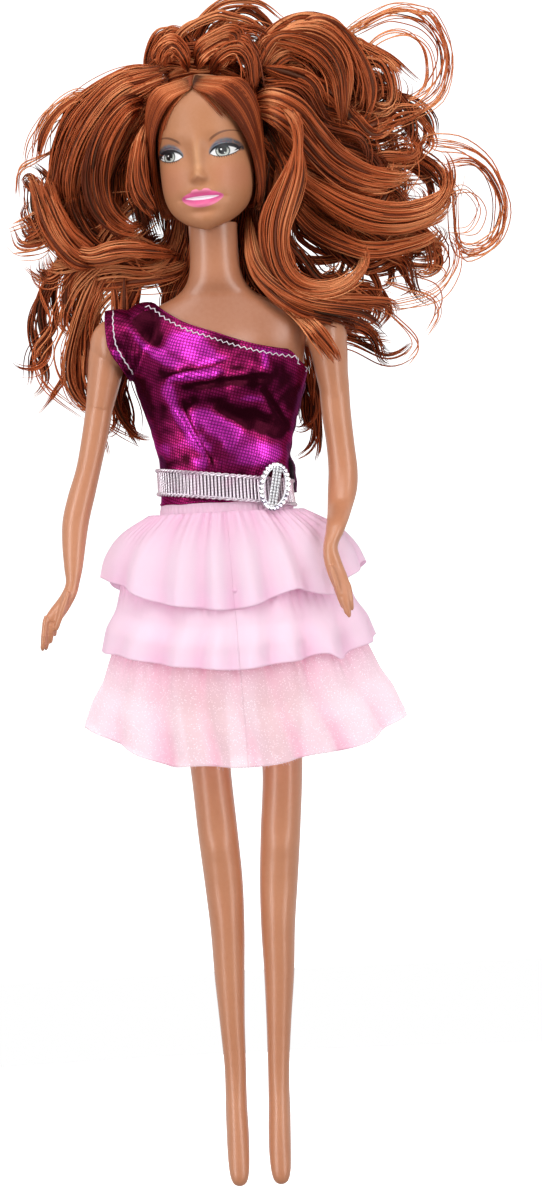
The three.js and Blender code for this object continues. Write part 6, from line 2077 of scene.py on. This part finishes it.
# Thin fibres that loop away from the mass, as places across and up, with how many run together.
FINE_LOOPS = [
    ([(35, 116), (38.8, 119.6), (45, 123), (51.6, 124.9), (58, 124), (61.4, 121.8), (64.7, 112.3),
      (62, 101.4), (53.5, 96.3), (42.9, 93.5)], 9),
    ([(38, 110), (46, 117), (53, 118), (58, 113), (58, 104), (51, 98)], 6),
    ([(56, 90), (59.8, 88.3), (67.4, 86.8), (73.7, 81), (77, 72), (75.6, 64.4), (71, 60.2), (66, 58.9),
      (63.4, 62.8), (63.3, 71), (63.8, 80.9)], 8),
    ([(44, 53), (49.2, 52.2), (56.8, 49.4), (58.2, 44.9), (55.2, 39.6)], 6),
    ([(42, 47), (48.3, 46.5), (57.8, 48.7), (63, 54.6), (63.9, 60.6), (61.9, 63.4)], 6),
    ([(-28, 106), (-33.8, 104.4), (-40.3, 101.8), (-46.5, 95.1), (-48.6, 87.6)], 5),
    ([(-40, 92), (-46.2, 89.3), (-50.4, 86.6), (-51.5, 80)], 5),
    ([(-40, 80), (-47, 74), (-52.9, 71.6)], 5),
    ([(-40, 70), (-46, 66.5), (-52.3, 65.6)], 5),
    ([(-42, 62), (-46.1, 55.4), (-43.6, 45.4), (-48.1, 38.1), (-46.2, 29.8), (-36.1, 21.1)], 5),
    ([(-36, 56), (-40, 46), (-43, 38), (-40, 29), (-30, 19), (-22, 14)], 4),
    ([(-5, 112), (-6, 119), (-1, 123), (6, 121), (8, 114)], 4),
    ([(60, 74), (67, 77), (71, 72), (68, 66), (62, 66)], 4),
    ([(28, 60), (38, 50), (47, 43), (52, 36), (49, 31)], 3),
]


def curve_through(places, count):
    """A smooth curve through places, read at even steps."""
    places = np.asarray(places, float)
    keys = np.linspace(0, 1, len(places))
    rows = np.column_stack([keys, places])
    return along(rows, np.linspace(0, 1, count)).T


def curve_frames(path):
    """The ways across a path, sideways and then front to back, at each of its points."""
    tangent = unit(np.gradient(path, axis=0))
    across = unit(np.cross(tangent, (0, 1, 0)))
    return across, np.cross(across, tangent)


# Single fibres in each of the two long loops that stand off the mass.
LOOP_FIBRES = 9
# Halfway between the light from above and the eye: strands that run across it get a painted highlight.
HAIR_LIGHT = np.array([-0.25, -0.72, 0.65])


def strands_mesh(name, strands, sides=3, flat=0.75, girth=0.3):
    """Many tapered strands as one mesh, from each one's path, width, tone, and depth in the hair that paints
    shade on it; the tone gets a painted highlight where the strand runs across the light.
    """
    paths, widths, tones, painted_shades = (list(v) for v in zip(*strands))
    paths, tones = np.asarray(paths), np.asarray(tones)[:, None]
    count, steps = paths.shape[:2]
    tangent = unit(np.gradient(paths, axis=1))
    across = unit(np.cross(tangent, (0.05, 1, 0.1)))
    back = np.cross(across, tangent)
    angle = (full_turn(sides) + 0.4)[:, None]
    share = np.linspace(0, 1, steps)
    taper = np.minimum(1, 0.2 + share * 8) * np.clip((1.02 - share) * 6, 0.12, 1)
    size = np.asarray(widths)[:, None] * taper / 2
    ring = across[:, :, None] * np.cos(angle) - back[:, :, None] * np.sin(angle) * flat
    points = (paths[:, :, None] + ring * size[:, :, None, None]).reshape(-1, 3)

    side = np.arange(sides)
    row = np.arange(steps - 1)[:, None] * sides
    base, after = row + side, row + (side + 1) % sides
    quads = np.stack([base, after, after + sides, base + sides], -1).reshape(-1, 4)
    starts = np.arange(count) * steps * sides
    faces = (quads[None] + starts[:, None, None]).reshape(-1, 4).tolist()
    for start in starts:
        faces.append((side[::-1] + start).tolist())
        faces.append((side + start + (steps - 1) * sides).tolist())
    mesh = bpy.data.meshes.new(name)
    mesh.from_pydata((points * MM).tolist(), [], faces)
    made = add_object(name, mesh)

    shift = tones * 37.0 + np.arange(count)[:, None] * 0.37
    place = np.broadcast_arrays((shift + side * girth)[:, None], way_along(paths)[:, :, None])
    set_uv(made, np.stack(place, -1).reshape(-1, 2), "strand")
    # Painted highlight: strands that run across HAIR_LIGHT get a lighter tone.
    lit = (1 - (tangent @ HAIR_LIGHT) ** 2) ** 3
    tone = np.clip(tones * 0.68 + lit * 0.5 - 0.1, 0, 1)
    set_value(made, "tone", np.repeat(tone, sides, axis=1).ravel())
    depth = np.asarray(painted_shades).reshape(count, -1) * np.ones(steps)
    set_value(made, "depth", np.repeat(depth, sides, axis=1).ravel())
    return made


def curled(path, start, turn):
    """Bends a path on from a share of its length, its heading turning further towards the tip."""
    steps = np.diff(path, axis=0)
    share = np.linspace(0, 1, len(steps))
    angle = turn * np.clip((share - start) / (1 - start), 0, 1) ** 1.6
    c, s = np.cos(angle), np.sin(angle)
    steps = np.stack([steps[:, 0] * c + steps[:, 2] * s, steps[:, 1], steps[:, 2] * c - steps[:, 0] * s], -1)
    return np.vstack([path[:1], path[0] + np.cumsum(steps, axis=0)])


class Tresses:
    """Clumps of hair that gather into one piece: soft rods for their bodies, darker with painted shade, and
    strands over them.
    """

    def __init__(self, draw, steps=34):
        self.draw = draw
        self.share = np.linspace(0, 1, steps)
        self.rods = []
        self.strands = []

    def clump(self, path, radius, tone, depth, strands):
        """Adds a clump along a path, with strands that drift round it and stray from its tip."""
        draw, share = self.draw, self.share
        across, back = curve_frames(path)
        body = np.clip(share * 6 + 0.2, 0, 1) * np.clip((1.0 - share) * 2.4, 0, 1) ** 0.6
        if radius > 0.3:
            # Painted shade: the clump's rod gets a lower tone and more depth, standing for the shade inside
            # the clump.
            self.rods.append((read_at(path, share * 0.86), radius * 1.6, tone * 0.8, depth + 0.15))
        for _ in range(strands):
            angle = draw.uniform(0, TURN)
            turn = draw.uniform(-0.7, 0.7)
            reach = radius * (0.7 + 0.75 * draw.random()) * body + 0.35 * radius * share
            stray = draw.random() < 0.12
            if stray:
                reach = reach + draw.uniform(0.6, 2.6) * share**1.4
            place = angle + turn * share
            wobble = 0.12 * np.sin(share * draw.uniform(8, 20) + draw.uniform(0, TURN))
            sideways, deep = reach * np.cos(place) * 1.4 + wobble, reach * np.sin(place) * 0.65
            made = path + across * sideways[:, None] + back * deep[:, None]
            begin = draw.uniform(0, 0.07)
            end = draw.uniform(0.74, 0.95) if stray or draw.random() < 0.5 else draw.uniform(0.95, 1.0)
            made = read_at(made, begin + (end - begin) * share)
            width = settings().fibre_width / MM * draw.uniform(0.7, 1.3)
            own = np.clip(tone + draw.uniform(-0.28, 0.28), 0, 1)
            self.strands.append((made, width, own, depth))

    def lock(self, route, combing):
        """Adds the clumps of a lock, which wave on their own and curl at their tips."""
        draw, share = self.draw, self.share
        share_of, spread, parting, waving, curl = combing
        data = np.array(route, float) / 100
        middle = curve_through(data[:, :3], len(share)) * HAIR_LENGTH + (0, 0, HAIR_ROOT)
        size = curve_through(data[:, 3:], len(share)) * HAIR_LENGTH
        across, back = curve_frames(middle)
        length = way_along(middle)[-1]
        area = math.pi * data[:, 3].mean() * data[:, 4].mean() * HAIR_LENGTH**2
        fine = share_of == 0
        clumps = LOOP_FIBRES if fine else max(3, int(area / settings().clump_area * share_of))
        for k in range(clumps):
            radius = math.sqrt((k + 0.5) / clumps) * 0.86 * spread
            angle = k * 2.4 + draw.uniform(-0.3, 0.3)
            part = 1 + parting * share**2 * draw.uniform(0.2, 1.4)
            angle = angle + draw.uniform(-0.8, 0.8) * share
            swing = waving * (0.25 + 0.9 * share) * draw.uniform(0.6, 1.2)
            phase = draw.uniform(0, TURN)
            pace = TURN / draw.uniform(15, 30) * length
            x = radius * part * np.cos(angle) * size[:, 0] + swing * np.sin(share * pace + phase)
            y = radius * part * np.sin(angle) * size[:, 1] + 0.6 * swing * np.cos(share * pace + phase)
            path = middle + across * x[:, None] + back * y[:, None]
            path = read_at(path, np.linspace(draw.uniform(0, 0.04), draw.uniform(0.82, 1.0), len(share)))
            turn = draw.choice((-1, 1)) * curl * TURN * draw.uniform(0.2, 0.8)
            path = curled(path, draw.uniform(0.4, 0.65), turn)
            tone = draw.uniform(0.1, 0.85)
            # Painted shade: clumps near the lock's middle and on its back get more depth, which darkens them.
            depth = np.clip(0.4 - 0.3 * radius + 0.35 * math.sin(angle[0]), 0, 0.7)
            if fine:
                self.clump(path, 0.18, tone, 0.0, 1)
            else:
                size_of = draw.uniform(0.55, 1.05)
                self.clump(path, size_of, tone, depth, int(settings().clump_strands * size_of))

    def scattered(self, spread):
        """A small random step across and up."""
        return np.array([self.draw.gauss(0, spread), self.draw.gauss(0, spread)])

    def curl(self, places, clumps, spread, behind):
        """Adds a loose curl of a few clumps along places across and up."""
        draw = self.draw
        flat = np.array(places, float)
        for _ in range(clumps):
            moved = flat + self.scattered(1) * spread
            moved = moved + np.array([self.scattered(0.5) for _ in flat]) * spread * 0.7
            depth = behind + draw.gauss(0, 1.4) + np.linspace(0, 1, len(flat)) * draw.uniform(-2, 3)
            path = curve_through(np.column_stack([moved[:, 0], depth, moved[:, 1]]), len(self.share))
            path = curled(path, 0.5, draw.uniform(-0.8, 1.2))
            size_of = draw.uniform(0.55, 0.95)
            strands = int(settings().clump_strands * size_of)
            self.clump(path, size_of, draw.uniform(0.3, 1.0), 0.12, strands)

    def veil(self, outer, inner, clumps, behind, tone):
        """Adds a sheet of neat clumps between two routes."""
        draw, share = self.draw, self.share
        outer, inner = (curve_through(from_pixels(route), len(share)) for route in (outer, inner))
        depth = np.interp(share, np.linspace(0, 1, len(behind)), behind)
        gap = np.linalg.norm(outer - inner, axis=1).mean() / clumps
        tuck, lift = np.clip(1 - share * 7, 0, 1), 2.0 * np.clip(share * 8 - 7, 0, 1)
        for k in range(clumps):
            t = np.clip((k + draw.uniform(0.0, 1.0)) / clumps + draw.uniform(-0.12, 0.12) * share, 0, 1)
            flat = outer + (inner - outer) * t[:, None]
            swing = draw.uniform(0.2, 0.9) * share
            swing = swing * np.sin(share * draw.uniform(5, 11) + draw.uniform(0, TURN))
            tucked = draw.uniform(3.0, 5.0) * tuck + lift
            crown = 1.2 * math.sin(math.pi * (k + 0.5) / clumps)
            away = depth + draw.gauss(0, 0.7) - crown + swing + tucked
            path = np.column_stack([flat[:, 0] + swing * 0.5, away, flat[:, 1] + swing * 0.5])
            path = read_at(path, np.linspace(draw.uniform(0, 0.06), draw.uniform(0.86, 1.0), len(share)))
            size_of = float(np.clip(gap * draw.uniform(0.5, 0.75), 0.55, 1.25))
            own = np.clip(tone + draw.gauss(0, 0.2), 0, 1)
            self.clump(path, size_of, own, 0.05, int(settings().veil_strands * size_of))

    def fibres(self, places, count, behind=10.0):
        """Adds thin single fibres that run together along places across and up."""
        draw = self.draw
        flat = np.array(places, float)
        for _ in range(count):
            moved = flat + np.array([self.scattered(0.2) for _ in flat])
            moved[1:] += self.scattered(0.9)
            depth = np.full(len(flat), behind + draw.gauss(0, 1))
            path = curve_through(np.column_stack([moved[:, 0], depth, moved[:, 1]]), len(self.share))
            self.strands.append((path, draw.uniform(0.24, 0.44), draw.uniform(0.8, 1.0), 0.0))

    def build(self, name, fibre, under, replaces=()):
        """Makes the strands and the rods into pieces."""
        made = strands_mesh(f"{name}_strands", self.strands)
        dress(made, fibre, "", replaces)
        comb_onto_bodies(made)
        if self.rods:
            rods = strands_mesh(f"{name}_clumps", self.rods, sides=8, flat=0.5, girth=0.8)
            dress(rods, under, "")
            comb_onto_bodies(rods)


def from_pixels(route):
    """Places across and up, in millimetres, of pixels of the photograph, its lean taken out."""
    u, v = np.array(route, float).T
    across, up = (u - PIXEL_MIDDLE[0]) * PIXEL, (PIXEL_MIDDLE[1] - v) * PIXEL
    c, s = math.cos(settings().frame_lean), math.sin(settings().frame_lean)
    return np.stack([across * c + up * s, up * c - across * s], -1)


def comb_onto_bodies(made):
    """Works the piece's placing into its mesh."""
    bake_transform(made)


class DOLL_OT_hair_locks(bpy.types.Operator):
    """Builds the long locks, rolls, sweeps and loops of hair, strand by strand"""

    bl_idname = "doll.hair_locks"
    bl_label = "Hair locks"

    def execute(self, context):
        colour = colours()
        fibre = hair_fibre("copper_fibre", colour.hair_light, colour.hair_middle, colour.hair_dark)
        # A darker copy of the copper for the rods among the strands: painted shade inside the clumps.
        under = hair_fibre("copper_shaded_underhair", colour.hair_middle, colour.hair_dark, (0.05, 0.012, 0.005))
        draw = random.Random(11)
        for name, routes in HAIR_ROUTES.items():
            tresses = Tresses(draw)
            for route in routes:
                tresses.lock(route, COMBING[name])
            tresses.build(name, fibre, under, [name])
        return {"FINISHED"}


# Flyaways: the middle that they stand off from, and the lowest and highest place across and up.
HAIR_MIDDLE = (8.0, 82.0)
FLYAWAY_BOX = ((-55, 22), (78, 125))


class DOLL_OT_loose_hair(bpy.types.Operator):
    """Builds the loose curls between the locks and the thin fibres that stand away from them"""

    bl_idname = "doll.loose_hair"
    bl_label = "Loose hair"

    def execute(self, context):
        fibre = bpy.data.materials["copper_fibre"]
        under = bpy.data.materials["copper_shaded_underhair"]
        draw = random.Random(7)
        curls = Tresses(draw)
        for places, clumps, spread, behind in LOOSE_CURLS:
            curls.curl(places, clumps, spread, behind)
        curls.build("hair_curls", fibre, under)
        for name, sheets in VEILS.items():
            veils = Tresses(draw)
            for sheet in sheets:
                veils.veil(*sheet)
            veils.build(name, fibre, under)
        fine = Tresses(draw)
        for places, count in FINE_LOOPS:
            fine.fibres(places, count)
        centre = np.array(HAIR_MIDDLE)
        for _ in range(settings().flyaways):
            angle = draw.uniform(-0.75 * math.pi, 1.25 * math.pi)
            out = np.array([math.cos(angle), math.sin(angle)])
            reach = np.array([draw.uniform(30, 46), draw.uniform(20, 34)])
            start = centre + out * reach
            if abs(start[0]) < 22 and start[1] < 66:
                continue
            side = np.array([-out[1], out[0]]) * draw.choice((-1, 1))
            size = draw.uniform(4, 10)
            places = [start - out * 8, start, start + out * size * 0.6 + side * size * 0.6]
            places.append(places[-1] - out * size * 0.3 + side * size)
            places = [np.clip(p, *FLYAWAY_BOX) for p in places]
            fine.fibres(places, 1, 8.0)
        fine.build("hair_flyaways", fibre, under)
        return {"FINISHED"}


# Combed lines from the parting: angle from the front, share of the head's height and stand-off,
# for hair rooted at the front, the middle and the back of the parting.
COMBED_LINES = [
    [(2, 0.885, 0.5), (14, 0.84, 1.3), (25, 0.785, 1.6), (38, 0.71, 1.8), (50, 0.63, 1.9), (62, 0.54, 1.9),
     (74, 0.43, 2), (84, 0.31, 2.1), (92, 0.18, 2.3)],
    [(20, 0.965, 0.6), (48, 0.915, 1.6), (64, 0.85, 2.1), (76, 0.75, 2.3), (84, 0.64, 2.4),
     (90, 0.52, 2.4), (96, 0.4, 2.5), (101, 0.28, 2.6), (106, 0.15, 2.8)],
    [(110, 0.985, 0.6), (112, 0.94, 1.6), (115, 0.88, 2.1), (119, 0.8, 2.3), (122, 0.7, 2.4),
     (125, 0.58, 2.4), (128, 0.44, 2.5), (131, 0.3, 2.6), (134, 0.16, 2.8)],
    [(181, 0.97, 0.6), (184, 0.93, 1.5), (186, 0.87, 2), (186, 0.79, 2.2), (186, 0.69, 2.3),
     (186, 0.57, 2.4), (186, 0.43, 2.5), (186, 0.3, 2.6), (186, 0.16, 2.8)],
]


def combed_path(root, sign, steps, drift, lift, extra):
    """The way of a combed strand over the head, for a root along the parting."""
    lines = np.array(COMBED_LINES, float)
    root = min(max(root, 0.0), len(lines) - 1.001)
    i = int(root)
    line = lines[i] * (1 - root + i) + lines[i + 1] * (root - i)
    smooth = curve_through(line, steps)
    share = np.linspace(0, 1, steps)
    turn = -math.pi / 2 + sign * np.radians(smooth[:, 0] + drift * share)
    upright = head_points(turn, smooth[:, 1], smooth[:, 2] * lift + extra)
    upright[:, 0] *= np.clip(0.12 + share * 5, 0, 1)
    return with_head(upright)


# The nodes that the combed pieces stand for, and the spot of painted shade where the parting starts, across
# and up.
STANDS_FOR = {"scalp": "hair_cap", "curtain_right": "hair_front_right", "curtain_left": "hair_front_left"}
PARTING_SHADE_SPOT = (-3.3, 107.8)
SCALP_CLUMPS = 40


class DOLL_OT_scalp_hair(bpy.types.Operator):
    """Builds the sleek hair combed from the parting over the scalp and round the face"""

    bl_idname = "doll.scalp_hair"
    bl_label = "Scalp hair"

    def execute(self, context):
        steps = 24
        share = np.linspace(0, 1, steps)
        draw = random.Random(3)
        groups = {"scalp": [], "curtain_right": [], "curtain_left": []}
        for sign, curtain in ((-1, "curtain_right"), (1, "curtain_left")):
            for k in range(SCALP_CLUMPS):
                middle = ((k + 0.5) / SCALP_CLUMPS) ** 1.25 * 3
                in_front = middle < 1.0
                tone = draw.uniform(0.15, 0.8)
                drift = draw.uniform(-2.5, 2.5)
                high = draw.uniform(-0.1, 0.35)
                # How much painted shade the edges of the clump get.
                edge_shade = 0.1 if k == 0 else 0.25 if k < 5 else 0.5
                for _ in range(settings().scalp_strands):
                    off = draw.uniform(-1, 1)
                    round_it = math.sqrt(1 - off * off)
                    bulge = (0.2 + high + 0.75 * round_it) * np.clip(share * 4, 0.15, 1)
                    bulge = bulge * (1 - 0.45 * smooth_step(1.6, 2.6, middle))
                    wisp = draw.uniform(-4, 1) * (middle < 0.2) + draw.uniform(-0.6, 0.6)
                    root = middle + off * 3 / SCALP_CLUMPS * 0.85
                    path = combed_path(root, sign, steps, drift + wisp, 0.55, bulge)
                    if draw.random() < 0.25:
                        path = read_at(path, share * draw.uniform(0.6, 0.95))
                    # Painted light and shade on the curtains: the right curtain is a step lighter, the left
                    # one a step darker.
                    own = np.clip(tone + draw.uniform(-0.42, 0.42) - 0.12 * sign * in_front, 0, 1)
                    # Painted shade: strands darken near their roots, along the edges of their clump and round
                    # the parting's start.
                    roots = np.clip(1.05 - share * 7, 0, 1) * 0.9 + edge_shade * (1 - round_it) * share
                    across, up = PARTING_SHADE_SPOT
                    roots = roots + 0.8 * bump(path[:, 0], across, 2.3) * bump(path[:, 2], up, 2.2)
                    width = settings().fibre_width / MM * draw.uniform(0.7, 1.15)
                    groups[curtain if in_front else "scalp"].append((path, width, own, roots))
        fibre = bpy.data.materials["copper_fibre"]
        for key, strands in groups.items():
            made = strands_mesh(f"hair_{key}_strands", strands)
            dress(made, fibre, "head", [STANDS_FOR[key]])
        self.undercap(fibre)
        self.wisps(fibre, draw)
        return {"FINISHED"}

    def wisps(self, fibre, draw):
        """Single fibres that lie over the forehead beside the curtains."""
        head = bpy.data.objects["head_skin"]
        tree = BVHTree.FromObject(head, bpy.context.evaluated_depsgraph_get())
        wisps = Tresses(draw, 16)
        for route in WISPS:
            for _ in range(6):
                flat = curve_through(from_pixels(route) + wisps.scattered(0.35), 16)
                path = np.array([on_cloth(tree, x, z, 0.35) for x, z in flat])
                wisps.strands.append((path, draw.uniform(0.14, 0.24), draw.uniform(0.3, 0.8), 0.1))
        made = strands_mesh("hair_wisps_strands", wisps.strands)
        dress(made, fibre, "head")

    def undercap(self, fibre):
        """The darker hair close to the scalp, under the combed strands: a sheet with a low tone and painted
        shade, for the shade beneath them.
        """
        steps, roots = 30, 240
        parts = []
        for sign in (-1, 1):
            grid = [
                combed_path(r, sign, steps, 0.0, 0.5, 0.12 * math.sin(r * 60))
                for r in np.linspace(0.16, 3, roots)
            ]
            parts.append((np.vstack(grid), grid_faces(roots, steps, closed=False)))
        made = add_body("hair_undercap", *joined(parts))
        across = np.repeat(np.tile(np.linspace(0, 60, roots), 2), steps)
        set_uv(made, np.stack([across, np.tile(np.linspace(0, 40, steps), roots * 2)], -1), "strand")
        thicken(made, 0.3 * MM, -1.0)
        # A low tone and painted shade, for the shaded hair under the strands.
        set_value(made, "tone", 0.3)
        set_value(made, "depth", 0.25)
        dress(made, fibre, "head")


STEPS = [
    DOLL_OT_stage,
    DOLL_OT_torso,
    DOLL_OT_legs,
    DOLL_OT_arms,
    DOLL_OT_head,
    DOLL_OT_top,
    DOLL_OT_closure,
    DOLL_OT_belt,
    DOLL_OT_buckle,
    DOLL_OT_skirt,
    DOLL_OT_hair_locks,
    DOLL_OT_loose_hair,
    DOLL_OT_scalp_hair,
]


class DOLL_PT_panel(bpy.types.Panel):
    """Lists the doll's pieces in the sidebar"""

    bl_idname = "DOLL_PT_panel"
    bl_label = "Fashion doll"
    bl_space_type = "VIEW_3D"
    bl_region_type = "UI"
    bl_category = "Doll"

    def draw(self, context):
        column = self.layout.column()
        for step in STEPS:
            column.operator(step.bl_idname)
        for group in (context.scene.doll_sizes, context.scene.doll_colours):
            for name in group.bl_rna.properties.keys():
                if name not in ("rna_type", "name"):
                    column.prop(group, name)


CLASSES = [DollSizes, DollColours, *STEPS, DOLL_PT_panel]


def register():
    for each in CLASSES:
        bpy.utils.register_class(each)
    bpy.types.Scene.doll_sizes = PointerProperty(type=DollSizes)
    bpy.types.Scene.doll_colours = PointerProperty(type=DollColours)


def unregister():
    del bpy.types.Scene.doll_colours
    del bpy.types.Scene.doll_sizes
    for each in reversed(CLASSES):
        bpy.utils.unregister_class(each)


def main():
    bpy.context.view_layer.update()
    register()
    for step in STEPS:
        group, name = step.bl_idname.split(".")
        getattr(getattr(bpy.ops, group), name)()


if __name__ == "__main__":
    main()
